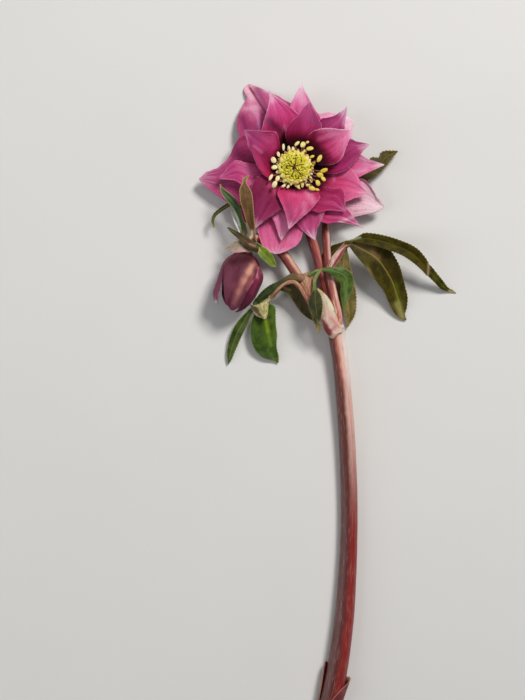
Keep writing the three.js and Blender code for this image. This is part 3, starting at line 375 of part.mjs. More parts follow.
// Long stamens: anther centre x, y, z, anther length, anther width.
const ANTHERS = [[-17.82, 97.43, 18.49, 2.4, 0.96], [-12.51, 98.83, 18.12, 2.2, 1.2], [-10.16, 98.39, 18.77, 2.4, 1.84], [-8.4, 99.29, 18.81, 1.2, 0.96], [-7.49, 96.86, 18.27, 2.6, 1.68], [-6.59, 93.8, 16.65, 1.8, 1.04], [-3.69, 92.9, 18.73, 2.8, 1.6], [-6.03, 91.15, 16.31, 2, 1.4], [-1.92, 88.19, 18.65, 2.8, 1.6], [-6.78, 88.16, 16.36, 1.8, 1.52], [-3.49, 86.42, 18.66, 2.4, 1.84], [-2.16, 84.88, 18.83, 2, 1.44], [-4.28, 83.25, 19.11, 2.2, 1.84], [-7, 84.78, 17.38, 2.4, 1.2], [-10.32, 82.96, 16.49, 2.4, 1.2], [-8.18, 82.41, 17.55, 1.6, 1.2], [-12.1, 81.84, 16.66, 2, 1.04], [-6.63, 81.17, 18.49, 2.4, 1.6], [-4.59, 80.69, 18.69, 1.6, 0.96], [-17.77, 82.14, 18.17, 1.6, 1.04], [-15.92, 81.96, 17.34, 1.6, 1.04], [-14.87, 83.63, 18.13, 2.4, 1.04], [-21.35, 82.63, 19.62, 2.6, 1.84], [-20.13, 85.04, 18.21, 2.24, 1.6], [-22.8, 85.48, 19.19, 2.4, 1.2], [-21.74, 92.34, 18.32, 2.4, 2], [-21.34, 89.52, 17.71, 2.2, 1.8], [-19.89, 87.86, 17.24, 1.84, 1.2], [-15.64, 97.07, 17.09, 1.76, 1.04], [-19.81, 94.63, 18.07, 2, 1.2], [-13.99, 96.76, 16.99, 1.84, 1.2], [-9.54, 95.91, 16.9, 1.84, 1.2], [-9.3, 85.8, 18.62, 1.84, 1.2], [-12.67, 83.84, 18.53, 1.84, 1.12], [-17.46, 84.52, 17.79, 2, 1.2]];
const STYLE_TIPS = [[-12.95, 93.18, 21.6], [-10.01, 90.52, 21.6], [-10.13, 86.06, 21.6], [-14.67, 85.98, 21.6], [-16.78, 89.98, 21.6]];

const LOOKS = {
  outer: ["#c98aa6", 0.6],
  petal: ["#a8406f", 0.6],
  bud: ["#7a4a58", 0.55],
  stem: ["#8a3a42", 0.5],
  leaf: ["#4c5a2c", 0.55],
  leafGreen: ["#3f6a33", 0.5],
  bract: ["#c98f86", 0.6],
  brown: ["#6b4a30", 0.65],
  stamen: ["#e6dc9a", 0.6],
  style: ["#7a1f3a", 0.5],
  sheath: ["#a8605c", 0.7],
};
const LOOK_OF = {
  stem: "stem",
  stamens: "stamen",
  styles: "style",
  basal_sheath: "sheath",
  lower_bract: "bract",
  back_bract: "brown",
  right_bract: "leaf",
};
function lookOf(name) {
  if (LOOK_OF[name]) return LOOK_OF[name];
  if (name.startsWith("tepal_")) return "outer";
  if (name.startsWith("petal_")) return "petal";
  if (name.startsWith("bud_tepal_") || name === "bud_petal") return "bud";
  return "leafGreen";
}

// n points evenly along a line of plan points
function along(line, n) {
  const d = [0];
  for (let i = 1; i < line.length; i++)
    d.push(d[i - 1] + Math.hypot(line[i][0] - line[i - 1][0], line[i][1] - line[i - 1][1]));
  const out = [];
  for (let k = 0, i = 1; k < n; k++) {
    const s = (d[d.length - 1] * k) / (n - 1);
    while (i < line.length - 1 && d[i] < s) i++;
    const f = (s - d[i - 1]) / (d[i] - d[i - 1]);
    out.push([0, 1].map((c) => line[i - 1][c] + (line[i][c] - line[i - 1][c]) * f));
  }
  return out;
}

function bladeGrid({ a, b, m, z }) {
  const nu = z.length, nv = z[0].length;
  const A = along(a, nu), B = along(b, nu), M = m && along(m, nu);
  return z.map((row, i) =>
    row.map((h, j) => {
      const v = j / (nv - 1), bow = 4 * v * (1 - v);
      const [x, y] = [0, 1].map(
        (c) => A[i][c] * (1 - v) + B[i][c] * v + (M ? (M[i][c] - (A[i][c] + B[i][c]) / 2) * bow : 0),
      );
      return new THREE.Vector3(x, y, h);
    }),
  );
}

// One closed shell round a grid of middle-surface points. Whatever would sink
// below the surface it lies on is flattened against it.
function shell(grid, thick) {
  const nu = grid.length, nv = grid[0].length;
  const pick = (i, j) => grid[Math.min(nu - 1, Math.max(0, i))][Math.min(nv - 1, Math.max(0, j))];
  const pos = [];
  for (const side of [1, -1])
    for (let i = 0; i < nu; i++)
      for (let j = 0; j < nv; j++) {
        const r = Math.min(i, nu - 2); // the narrow tip row stands square to the row before it
        const n = pick(r + 1, j).clone().sub(pick(r - 1, j)).cross(pick(r, j + 1).clone().sub(pick(r, j - 1)));
        const p = grid[i][j].clone().addScaledVector(n.normalize(), (side * thick) / 2);
        pos.push(p.x, p.y, Math.max(0, p.z));
      }
  const N = nu * nv, at = (i, j) => i * nv + j, tri = [];
  const quad = (p, q, r, s) => tri.push(p, q, r, p, r, s);
  for (let i = 0; i < nu - 1; i++)
    for (let j = 0; j < nv - 1; j++) {
      quad(at(i, j), at(i + 1, j), at(i + 1, j + 1), at(i, j + 1));
      tri.push(N + at(i, j), N + at(i + 1, j + 1), N + at(i + 1, j), N + at(i, j), N + at(i, j + 1), N + at(i + 1, j + 1));
    }
  const rim = [];
  for (let i = 0; i < nu; i++) rim.push(at(i, 0));
  for (let j = 1; j < nv; j++) rim.push(at(nu - 1, j));
  for (let i = nu - 2; i >= 0; i--) rim.push(at(i, nv - 1));
  for (let j = nv - 2; j > 0; j--) rim.push(at(0, j));
  rim.forEach((p, k) => {
    const q = rim[(k + 1) % rim.length];
    quad(q, p, N + p, N + q);
  });
  return facingOut(pos, tri);
}

function geometryOf(pos, tri) {
  const g = new THREE.BufferGeometry();
  g.setAttribute("position", new THREE.BufferAttribute(new Float32Array(pos), 3));
  g.setIndex(tri);
  return g;
}

function facingOut(pos, tri) {
  let v = 0;
  for (let i = 0; i < tri.length; i += 3) {
    const [p, q, r] = [0, 1, 2].map((k) => new THREE.Vector3().fromArray(pos, 3 * tri[i + k]));
    v += p.dot(q.cross(r));
  }
  if (v < 0) for (let i = 0; i < tri.length; i += 3) [tri[i + 1], tri[i + 2]] = [tri[i + 2], tri[i + 1]];
  return geometryOf(pos, tri);
}

// Closed round bar through stations of x, y, z, radius
function bar(stations, sides) {
  const p = stations.map((s) => new THREE.Vector3(s[0], s[1], s[2]));
  const n = p.length, pos = [], tri = [];
  let up = new THREE.Vector3(0, 0, 1);
  if (Math.hypot(p[1].x - p[0].x, p[1].y - p[0].y) < 0.05) up.set(0, 1, 0);
  for (let i = 0; i < n; i++) {
    const t = p[Math.min(n - 1, i + 1)].clone().sub(p[Math.max(0, i - 1)]).normalize();
    up = up.addScaledVector(t, -up.dot(t)).normalize();
    const side = new THREE.Vector3().crossVectors(t, up);
    for (let k = 0; k < sides; k++) {
      const a = (2 * Math.PI * k) / sides;
      const q = p[i].clone().addScaledVector(up, Math.cos(a) * stations[i][3]).addScaledVector(side, Math.sin(a) * stations[i][3]);
      pos.push(q.x, q.y, Math.max(0, q.z));
    }
    up = up.clone();
  }
  for (let i = 0; i < n - 1; i++)
    for (let k = 0; k < sides; k++) {
      const a = i * sides + k, b = i * sides + ((k + 1) % sides);
      tri.push(a, b, b + sides, a, b + sides, a + sides);
    }
  for (let k = 1; k < sides - 1; k++) {
    tri.push(0, k + 1, k);
    const e = (n - 1) * sides;
    tri.push(e, e + k, e + k + 1);
  }
  return facingOut(pos, tri);
}

const wasm = await Module();
wasm.setup();

function solid(geometry) {
  const g = geometry.clone();
  g.deleteAttribute("normal");
  g.deleteAttribute("uv");
  const merged = mergeVertices(g, 1e-4);
  return new wasm.Manifold(
    new wasm.Mesh({
      numProp: 3,
      vertProperties: merged.attributes.position.array,
      triVerts: new Uint32Array(merged.index.array),
    }),
  );
}

function fuse(geometries) {
  const whole = wasm.Manifold.union(geometries.map(solid)).simplify(0.004);
  const m = whole.getMesh();
  const pos = [];
  for (let i = 0; i < m.numVert; i++) pos.push(...m.vertProperties.subarray(i * m.numProp, i * m.numProp + 3));
  return geometryOf(pos, Array.from(m.triVerts));
}

// The mass of stamens: a dome on a short neck, with a well in the middle of its top
function domeGeometry() {
  const profile = [
    [0, DOME_BASE_Z], [3.6, DOME_BASE_Z], [4.2, DOME_BASE_Z + 0.75], [5.5, 15.6], [DOME_R, 16.7], [DOME_R - 0.1, 17.7],
    [5.3, 18.9], [3.8, 19.8], [2.2, DOME_TOP_Z - 0.1], [WELL_R, DOME_TOP_Z], [WELL_R, WELL_Z], [0, WELL_Z],
  ];
  const sides = 14, pos = [0, 0, DOME_BASE_Z], tri = [];
  const rings = profile.slice(1, -1);
  for (const [r, z] of rings)
    for (let k = 0; k < sides; k++)
      pos.push(r * Math.cos((2 * Math.PI * k) / sides), r * Math.sin((2 * Math.PI * k) / sides), z);
  pos.push(0, 0, WELL_Z);
  const last = 1 + rings.length * sides;
  for (let k = 0; k < sides; k++) {
    const q = (k + 1) % sides;
    tri.push(0, 1 + q, 1 + k);
    for (let i = 0; i < rings.length - 1; i++) {
      const a = 1 + i * sides + k, b = 1 + i * sides + q;
      tri.push(a, b, b + sides, a, b + sides, a + sides);
    }
    tri.push(last - sides + k, last - sides + q, last);
  }
  return facingOut(pos, tri).translate(DOME[0], DOME[1], 0);
}

function pod(x, y, z, length, width, turn, tilt) {
  const g = new THREE.IcosahedronGeometry(0.5, 0);
  g.deleteAttribute("normal");
  g.deleteAttribute("uv");
  const m = new THREE.Matrix4().compose(
    new THREE.Vector3(x, y, z),
    new THREE.Quaternion().setFromEuler(new THREE.Euler(0, -tilt, turn, "ZYX")),
    new THREE.Vector3(length, width, width),
  );
  return mergeVertices(g, 1e-4).applyMatrix4(m);
}

function stamensGeometry() {
  const parts = [domeGeometry()];
  ANTHERS.forEach(([x, y, z, length, width], i) => {
    const dx = x - DOME[0], dy = y - DOME[1], rho = Math.hypot(dx, dy), turn = Math.atan2(dy, dx);
    if (rho > 6.2) {
      const u = [dx / rho, dy / rho];
      parts.push(
        bar(
          [
            [DOME[0] + u[0] * 3.4, DOME[1] + u[1] * 3.4, 15.6, FILAMENT_R + 0.06],
            [DOME[0] + u[0] * (0.5 * rho + 2), DOME[1] + u[1] * (0.5 * rho + 2), 0.45 * z + 0.55 * 16.4, FILAMENT_R],
            [x, y, z, FILAMENT_R],
          ],
          4,
        ),
      );
    }
    parts.push(pod(x, y, z, Math.max(length, 1.2), Math.max(width, 1.0), turn + (i % 3) * 0.35, 0.25));
  });
  // unopened anthers packed over the dome
  const n = 36;
  for (let i = 0; i < n; i++) {
    const a = i * 2.39996, rho = 2.2 + 3.6 * Math.sqrt((i + 0.5) / n);
    const x = DOME[0] + rho * Math.cos(a), y = DOME[1] + rho * Math.sin(a);
    const near = STYLE_TIPS.some(([sx, sy]) => {
      const ux = sx - DOME[0], uy = sy - DOME[1], l = Math.hypot(ux, uy);
      const t = Math.min(1.15, Math.max(0, ((x - DOME[0]) * ux + (y - DOME[1]) * uy) / (l * l)));
      return Math.hypot(x - DOME[0] - t * ux, y - DOME[1] - t * uy) < 1.0;
    });
    if (near) continue;
    const z = 16.0 + 4.15 * Math.sqrt(1 - (rho / 6.9) ** 2);
    parts.push(pod(x, y, z, 1.25, 1.05, a, 0.5));
  }
  return fuse(parts);
}

function stylesGeometry() {
  const parts = [
    bar([[DOME[0], DOME[1], WELL_Z + 0.35, 0.85], [DOME[0], DOME[1], 20.0, 0.8], [DOME[0], DOME[1], 21.35, 0.6]], 8),
  ];
  for (const [x, y, z] of STYLE_TIPS) {
    const dx = x - DOME[0], dy = y - DOME[1];
    parts.push(
      bar(
        [
          [DOME[0], DOME[1], 20.9, STYLE_R],
          [DOME[0] + 0.3 * dx, DOME[1] + 0.3 * dy, z + 0.15, STYLE_R],
          [DOME[0] + 0.7 * dx, DOME[1] + 0.7 * dy, z + 0.2, STYLE_R - 0.04],
          [x, y, z - 0.2, STYLE_R - 0.08],
        ],
        6,
      ),
    );
  }
  return fuse(parts);
}

const group = new THREE.Group();
group.name = "hellebore_flower";

function add(name, geometry) {
  const [color, roughness] = LOOKS[lookOf(name)];
  const mesh = new THREE.Mesh(geometry, new THREE.MeshStandardMaterial({ color, roughness, metalness: 0 }));
  mesh.name = name;
  group.add(mesh);
}

add(
  "stem",
  fuse([bar(SCAPE, STEM_SIDES), bar(LEFT_BRANCH, BRANCH_SIDES), bar(FLOWER_STALK, BRANCH_SIDES), bar(REAR_BRANCH, BRANCH_SIDES)]),
);
for (const [name, blade] of Object.entries(BLADES))
  if (name.startsWith("tepal_") || name.startsWith("petal_")) add(name, shell(bladeGrid(blade), PETAL_THICK));
for (const [name, { blades, necks }] of Object.entries(BRACTS))
  add(name, fuse([...blades.map((b) => shell(bladeGrid(BLADES[b]), LEAF_THICK)), ...necks.map((n) => bar(n, 6))]));
for (const [name, rows] of Object.entries(WRAPS))
  add(name, shell(rows.map((r) => r.map((p) => new THREE.Vector3(...p))), name === "basal_sheath" ? SHEATH_THICK : BUD_THICK));
add("stamens", stamensGeometry());
add("styles", stylesGeometry());

export default group;
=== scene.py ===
import math

import bpy
import numpy as np
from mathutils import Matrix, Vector


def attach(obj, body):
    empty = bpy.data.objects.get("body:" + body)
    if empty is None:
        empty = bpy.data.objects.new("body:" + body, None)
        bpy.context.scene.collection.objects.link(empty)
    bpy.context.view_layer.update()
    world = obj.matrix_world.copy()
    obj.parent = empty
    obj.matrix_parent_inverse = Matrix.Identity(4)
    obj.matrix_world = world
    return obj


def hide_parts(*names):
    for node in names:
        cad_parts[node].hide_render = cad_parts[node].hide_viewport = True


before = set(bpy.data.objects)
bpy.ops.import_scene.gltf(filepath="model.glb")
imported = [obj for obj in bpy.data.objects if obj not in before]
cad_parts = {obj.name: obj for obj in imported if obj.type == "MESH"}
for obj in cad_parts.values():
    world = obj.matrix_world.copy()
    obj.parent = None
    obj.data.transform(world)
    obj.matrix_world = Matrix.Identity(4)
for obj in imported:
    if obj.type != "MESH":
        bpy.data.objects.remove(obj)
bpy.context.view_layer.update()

# ------------------------------------------------------------------------------------
# Tables, in millimetres in the row frame. A blade lies between two edges, a and b, that
# run from its base to its tip in plan, with an optional middle line m; z holds heights,
# one row a station along it and one number a station across it. A wrap is a grid of
# points of a piece's middle surface. A tube is stations of x, y, z, radius.
# ------------------------------------------------------------------------------------

BLADES = {
    'tepal_upper_left': {
        'a': [[-17.14, 93.07], [-26.26, 96.24], [-33.8, 99.53], [-35.6, 103.61], [-36.21, 108.52], [-35.03, 113.02], [-33.24, 116.1], [-32.05, 118.14], [-32.93, 119.98], [-33.45, 121.61], [-33.05, 123.04], [-31.86, 124.07]],
        'b': [[-13.98, 95.38], [-12.39, 101.76], [-12.76, 109.05], [-15.11, 116.05], [-17.49, 117.52], [-19.88, 119.2], [-22.27, 120.15], [-24.26, 120.72], [-26.26, 122.17], [-29.06, 123.25], [-30.86, 124.09]],
        'z': [[8.67, 8.89, 9.1, 9.31, 9.51], [9.0, 9.05, 9.21, 9.36, 9.39], [8.64, 8.71, 8.87, 8.92, 8.66], [7.63, 7.76, 7.92, 7.81, 7.13], [6.11, 6.55, 6.78, 6.5, 5.42], [4.34, 4.99, 5.26, 4.97, 3.93], [2.76, 3.27, 3.46, 3.24, 2.53], [1.43, 1.65, 1.72, 1.61, 1.31], [0.33, 0.34, 0.31, 0.22, 0.07]],
    },
    'tepal_upper_right': {
        'a': [[-11.6, 94.61], [-12.39, 102.92], [-10.79, 108.95], [-7.99, 111.83], [-4.8, 112.52], [-3.19, 111.59], [-1.79, 112.03], [0.01, 112.55], [2.02, 112.13], [4.43, 111.98], [7.23, 111.43], [8.83, 110.25], [10.03, 108.86], [10.43, 107.87]],
        'b': [[-7.63, 92.23], [-0.91, 93.78], [5.5, 97.13], [8.76, 101.3], [9.79, 103.36], [10.01, 105.0], [9.62, 105.98], [10.26, 106.92], [10.43, 107.45]],
        'z': [[9.3, 9.3, 9.3, 9.3, 9.3], [9.59, 9.45, 9.4, 9.48, 9.72], [9.34, 9.29, 9.27, 9.4, 9.8], [8.47, 8.73, 8.82, 8.96, 9.38], [7.1, 7.78, 8.0, 8.05, 8.2], [5.48, 6.49, 6.83, 6.75, 6.5], [4.14, 5.15, 5.49, 5.38, 5.08], [3.14, 3.95, 4.22, 4.12, 3.84], [2.9, 3.12, 3.2, 3.17, 3.1]],
    },
    'tepal_right': {
        'a': [[-7.63, 88.66], [-0.13, 89.79], [7.0, 88.61], [11.77, 86.86], [14.56, 85.89], [16.56, 83.94], [18.57, 81.21], [20.6, 77.7], [22.07, 74.97]],
        'b': [[-9.22, 85.09], [-4.07, 77.95], [2.29, 71.66], [7.48, 69.73], [11.07, 70.55], [14.67, 71.57], [18.26, 72.19], [20.66, 73.19], [22.01, 74.19]],
        'z': [[9.4, 9.4, 9.4, 9.4, 9.4], [9.98, 9.69, 9.59, 9.64, 9.78], [10.23, 9.71, 9.53, 9.55, 9.58], [10.12, 9.53, 9.32, 9.25, 9.02], [9.8, 9.2, 9.0, 8.85, 8.4], [9.32, 8.66, 8.44, 8.22, 7.57], [8.52, 7.84, 7.62, 7.42, 6.82], [7.58, 6.95, 6.73, 6.61, 6.24], [6.3, 6.08, 6.0, 5.97, 5.9]],
    },
    'tepal_bottom': {
        'a': [[-16.35, 85.87], [-23.09, 77.09], [-27.44, 69.52], [-28.04, 65.15], [-27.05, 61.2], [-25.47, 58.05], [-23.09, 56.37], [-20.92, 55.71]],
        'b': [[-11.99, 84.7], [-10.82, 76.32], [-10.04, 69.93], [-10.05, 64.76], [-10.85, 61.2], [-12.03, 59.42], [-14.79, 57.65], [-17.56, 56.41], [-19.53, 55.79]],
        'z': [[9.53, 9.48, 9.44, 9.4, 9.36], [9.95, 9.8, 9.73, 9.73, 9.8], [10.42, 10.13, 10.02, 10.1, 10.36], [10.95, 10.48, 10.32, 10.48, 10.99], [11.53, 10.84, 10.61, 10.85, 11.59], [12.05, 11.17, 10.87, 11.16, 12.05], [12.04, 11.18, 10.9, 11.19, 12.04], [11.76, 11.09, 10.87, 11.1, 11.77], [10.88, 10.66, 10.59, 10.68, 10.91]],
    },
    'tepal_left': {
        'a': [[-16.36, 91.39], [-23.09, 96.14], [-29.43, 101.31], [-32.99, 102.93], [-35.18, 102.03], [-36.65, 100.19], [-37.76, 97.84], [-38.76, 95.49], [-40.15, 93.34], [-42.14, 91.58], [-44.13, 90.02], [-46.92, 89.06], [-48.91, 88.28], [-50.11, 86.91], [-51.31, 85.92]],
        'b': [[-16.75, 85.9], [-22.29, 76.82], [-28.24, 69.74], [-32.61, 68.18], [-35.8, 71.78], [-39.78, 76.17], [-43.75, 78.97], [-46.54, 80.96], [-49.32, 83.14], [-51.31, 85.61]],
        'z': [[9.89, 9.7, 9.51, 9.32, 9.14], [10.05, 9.67, 9.41, 9.19, 8.9], [9.98, 9.41, 9.1, 8.83, 8.37], [9.6, 8.94, 8.59, 8.26, 7.57], [9.09, 8.36, 8.04, 7.67, 6.8], [8.3, 7.73, 7.48, 7.15, 6.32], [7.43, 7.01, 6.85, 6.61, 5.96], [6.6, 6.34, 6.25, 6.15, 5.87], [5.91, 5.79, 5.78, 5.81, 5.84]],
    },
    'petal_01': {
        'a': [[-17.57, 86.81], [-20.74, 85.65], [-24.09, 85.34], [-26.65, 87.83], [-28.81, 91.36], [-29.99, 94.7], [-31.36, 96.86], [-32.15, 99.81], [-32.78, 102.16], [-33.4, 103.98]],
        'b': [[-17.48, 91.0], [-18.21, 93.48], [-18.78, 96.45], [-19.38, 99.46], [-19.98, 101.93], [-20.96, 103.25], [-23.31, 103.61], [-26.26, 103.69], [-29.79, 103.93], [-33.16, 104.16]],
        'z': [[13.1, 12.53, 11.99, 11.47, 10.97], [15.75, 14.88, 14.19, 13.85, 14.07], [17.44, 16.57, 15.86, 15.64, 16.32], [18.29, 17.68, 17.07, 16.96, 17.88], [18.26, 18.23, 17.87, 17.91, 19.1], [18.2, 18.49, 18.34, 18.48, 19.68], [18.2, 18.51, 18.47, 18.63, 19.56], [18.25, 18.4, 18.4, 18.53, 19.05], [18.15, 18.22, 18.3, 18.44, 18.68]],
    },
    'petal_02': {
        'a': [[-10.67, 95.49], [-9.93, 99.17], [-8.39, 101.97], [-6.25, 103.64], [-3.91, 104.36], [-1.18, 104.72], [1.57, 104.72], [4.71, 104.25], [8.09, 104.16]],
        'b': [[-7.9, 92.56], [-4.6, 90.59], [-0.32, 90.25], [3.19, 91.14], [5.14, 92.88], [6.31, 95.81], [7.5, 98.97], [8.4, 101.33], [8.53, 103.86]],
        'z': [[13.21, 13.02, 12.89, 12.83, 12.82], [15.84, 14.81, 14.46, 14.61, 15.12], [17.69, 16.26, 15.81, 16.07, 16.78], [19.0, 17.45, 16.97, 17.26, 18.03], [19.99, 18.42, 17.93, 18.19, 18.84], [20.42, 19.03, 18.6, 18.76, 19.13], [20.33, 19.22, 18.87, 18.91, 18.93], [19.88, 19.15, 18.92, 18.89, 18.77], [18.76, 18.61, 18.57, 18.57, 18.58]],
    },
    'petal_03': {
        'a': [[-14.4, 94.77], [-16.41, 99.25], [-17.22, 103.42], [-16.04, 106.13], [-14.47, 107.9], [-12.5, 109.69], [-10.53, 112.5], [-8.94, 114.33], [-7.52, 115.76]],
        'b': [[-10.84, 95.21], [-7.74, 99.27], [-4.04, 102.87], [-2.75, 105.21], [-3.45, 107.77], [-4.82, 110.36], [-6.19, 112.55], [-6.81, 114.55], [-7.24, 115.75]],
        'z': [[12.27, 12.12, 11.97, 11.84, 11.77], [14.43, 13.85, 13.59, 13.62, 13.92], [16.18, 15.32, 15.0, 15.12, 15.62], [17.27, 16.34, 16.01, 16.18, 16.73], [17.81, 16.89, 16.58, 16.72, 17.15], [17.78, 17.03, 16.79, 16.86, 17.07], [17.37, 16.84, 16.67, 16.7, 16.75], [16.65, 16.38, 16.29, 16.3, 16.32], [15.79, 15.81, 15.82, 15.84, 15.86]],
    },
    'petal_04': {
        'a': [[-12.81, 96.06], [-16.38, 101.45], [-17.57, 106.54], [-16.78, 110.89], [-15.4, 114.09], [-13.89, 116.9], [-12.42, 119.84], [-11.23, 122.22], [-10.71, 123.67]],
        'b': [[-9.24, 95.69], [-4.93, 100.69], [-2.96, 105.38], [-3.16, 109.33], [-5.01, 112.32], [-6.9, 115.71], [-8.35, 118.51], [-9.65, 120.93], [-10.36, 123.67]],
        'z': [[10.98, 10.91, 10.84, 10.76, 10.7], [12.1, 11.81, 11.68, 11.7, 11.84], [12.92, 12.49, 12.33, 12.39, 12.64], [13.19, 12.73, 12.57, 12.65, 12.92], [13.2, 12.74, 12.59, 12.66, 12.88], [12.86, 12.46, 12.33, 12.41, 12.64], [12.33, 12.02, 11.93, 12.01, 12.24], [11.69, 11.52, 11.47, 11.54, 11.75], [11.0, 11.01, 11.02, 11.03, 11.04]],
    },
    'petal_05': {
        'a': [[-17.16, 93.64], [-23.1, 97.77], [-26.45, 102.82], [-25.86, 106.75], [-24.76, 110.52], [-23.81, 114.11], [-23.3, 117.12], [-23.77, 119.82]],
        'b': [[-14.0, 95.62], [-11.66, 101.35], [-10.89, 106.39], [-11.48, 110.11], [-13.26, 111.97], [-15.62, 113.88], [-18.37, 115.88], [-21.13, 117.99], [-23.49, 120.02]],
        'z': [[11.6, 11.6, 11.59, 11.58, 11.58], [13.18, 12.81, 12.69, 12.81, 13.18], [14.37, 13.77, 13.57, 13.76, 14.31], [15.04, 14.37, 14.14, 14.34, 14.93], [15.3, 14.62, 14.4, 14.58, 15.1], [15.16, 14.59, 14.4, 14.56, 15.04], [14.82, 14.4, 14.26, 14.38, 14.73], [14.18, 13.95, 13.87, 13.93, 14.1], [13.4, 13.4, 13.4, 13.4, 13.4]],
    },
    'petal_06': {
        'a': [[-10.44, 94.85], [-8.11, 100.57], [-5.76, 105.61], [-3.01, 108.88], [-0.24, 109.45], [2.13, 110.15], [4.51, 111.6], [6.1, 112.7], [6.97, 113.94]],
        'b': [[-7.47, 92.88], [-0.99, 95.49], [4.11, 98.59], [6.28, 101.73], [6.32, 104.89], [6.56, 108.06], [7.04, 111.04], [7.36, 112.83], [7.29, 113.94]],
        'z': [[11.26, 11.25, 11.23, 11.2, 11.17], [12.85, 12.38, 12.21, 12.23, 12.32], [14.01, 13.22, 12.96, 13.02, 13.2], [14.66, 13.77, 13.47, 13.55, 13.77], [14.96, 14.06, 13.77, 13.84, 14.07], [14.77, 14.03, 13.79, 13.87, 14.1], [14.43, 13.9, 13.73, 13.8, 14.0], [13.95, 13.66, 13.56, 13.61, 13.73], [13.42, 13.42, 13.43, 13.43, 13.43]],
    },
    'petal_07': {
        'a': [[-8.08, 92.43], [-2.59, 95.82], [3.67, 99.25], [8.4, 101.1], [10.77, 100.05], [13.14, 99.56], [14.73, 99.23], [16.0, 98.77]],
        'b': [[-7.69, 89.05], [-3.38, 87.53], [0.52, 86.92], [3.85, 87.19], [6.4, 88.03], [8.48, 89.81], [10.74, 92.32], [12.73, 94.92], [14.33, 96.93], [16.08, 98.46]],
        'z': [[11.88, 11.96, 12.05, 12.14, 12.22], [13.04, 12.95, 12.98, 13.21, 13.77], [14.02, 13.92, 13.92, 14.26, 15.1], [14.86, 14.74, 14.73, 15.08, 16.01], [15.42, 15.29, 15.27, 15.6, 16.52], [15.6, 15.47, 15.43, 15.68, 16.38], [15.47, 15.32, 15.28, 15.43, 15.88], [15.1, 14.96, 14.9, 14.98, 15.2], [14.61, 14.6, 14.59, 14.57, 14.56]],
    },
    'petal_08': {
        'a': [[-7.27, 90.93], [0.61, 95.17], [6.91, 97.09], [11.84, 95.71], [14.22, 94.14], [16.4, 92.89], [19.18, 92.0], [22.07, 91.12]],
        'b': [[-7.26, 87.4], [-0.17, 83.75], [6.92, 83.3], [11.46, 85.54], [14.03, 86.93], [16.8, 88.32], [19.58, 89.64], [22.16, 90.77]],
        'z': [[10.83, 10.72, 10.62, 10.52, 10.44], [11.44, 11.23, 11.11, 11.05, 11.08], [12.07, 11.76, 11.6, 11.59, 11.73], [12.63, 12.22, 12.04, 12.05, 12.29], [12.97, 12.52, 12.32, 12.35, 12.62], [12.97, 12.53, 12.34, 12.38, 12.65], [12.81, 12.44, 12.28, 12.32, 12.57], [12.43, 12.22, 12.12, 12.14, 12.27], [12.03, 12.01, 11.99, 11.97, 11.96]],
    },
    'petal_09': {
        'a': [[-6.88, 88.11], [-2.18, 89.18], [3.71, 89.38], [8.05, 89.81], [10.14, 88.13], [12.02, 85.2], [13.74, 82.48], [15.54, 80.03]],
        'b': [[-8.46, 84.56], [-4.16, 78.9], [0.96, 75.32], [6.1, 75.74], [8.48, 76.86], [10.86, 77.75], [13.24, 78.56], [15.62, 79.6]],
        'z': [[11.47, 11.41, 11.38, 11.37, 11.39], [12.78, 12.44, 12.35, 12.42, 12.59], [13.69, 13.22, 13.11, 13.21, 13.41], [14.16, 13.65, 13.53, 13.64, 13.85], [14.34, 13.81, 13.68, 13.75, 13.83], [14.14, 13.7, 13.58, 13.59, 13.51], [13.65, 13.34, 13.25, 13.23, 13.14], [12.96, 12.8, 12.75, 12.74, 12.69], [12.32, 12.3, 12.29, 12.27, 12.25]],
    },
    'petal_10': {
        'a': [[-7.69, 84.88], [-4.19, 82.94], [-0.68, 81.79], [2.46, 81.38], [5.03, 81.28], [6.1, 79.92], [6.43, 77.2], [6.69, 74.87], [6.98, 72.69]],
        'b': [[-10.66, 82.5], [-8.92, 77.24], [-6.96, 72.87], [-3.81, 71.84], [-0.26, 72.61], [3.7, 72.43], [6.7, 72.37]],
        'z': [[12.53, 12.51, 12.53, 12.58, 12.59], [14.5, 14.02, 13.88, 13.94, 14.1], [15.78, 14.99, 14.74, 14.78, 14.87], [16.39, 15.51, 15.23, 15.24, 15.26], [16.61, 15.72, 15.44, 15.46, 15.48], [16.17, 15.5, 15.28, 15.3, 15.32], [15.59, 15.15, 15.01, 15.03, 15.04], [14.96, 14.75, 14.68, 14.69, 14.7], [14.36, 14.36, 14.37, 14.37, 14.38]],
    },
    'petal_11': {
        'a': [[-8.45, 85.02], [-1.37, 79.36], [4.94, 75.39], [8.12, 72.65], [9.96, 70.31], [11.24, 68.76], [12.52, 67.08], [13.88, 66.18]],
        'b': [[-12.01, 83.45], [-8.87, 76.22], [-5.32, 70.65], [-2.56, 68.09], [-0.18, 67.67], [3.0, 68.1], [6.57, 67.89], [9.75, 67.32], [12.13, 66.49], [13.88, 65.86]],
        'z': [[10.43, 10.36, 10.28, 10.24, 10.23], [11.36, 11.14, 11.04, 11.08, 11.29], [12.12, 11.8, 11.67, 11.77, 12.13], [12.6, 12.21, 12.08, 12.2, 12.59], [12.81, 12.4, 12.27, 12.36, 12.63], [12.54, 12.16, 12.05, 12.04, 11.98], [11.91, 11.66, 11.59, 11.53, 11.29], [11.11, 11.02, 11.0, 10.93, 10.67], [10.41, 10.43, 10.45, 10.46, 10.49]],
    },
    'petal_12': {
        'a': [[-13.4, 83.41], [-14.81, 75.77], [-14.02, 69.83], [-12.52, 67.46], [-10.86, 65.5], [-8.88, 63.66], [-6.9, 61.98], [-5.47, 61.12]],
        'b': [[-9.85, 83.97], [-5.75, 78.08], [-2.41, 74.3], [-1.54, 72.33], [-2.2, 69.98], [-3.38, 67.72], [-4.31, 65.5], [-4.85, 63.15], [-5.08, 61.12]],
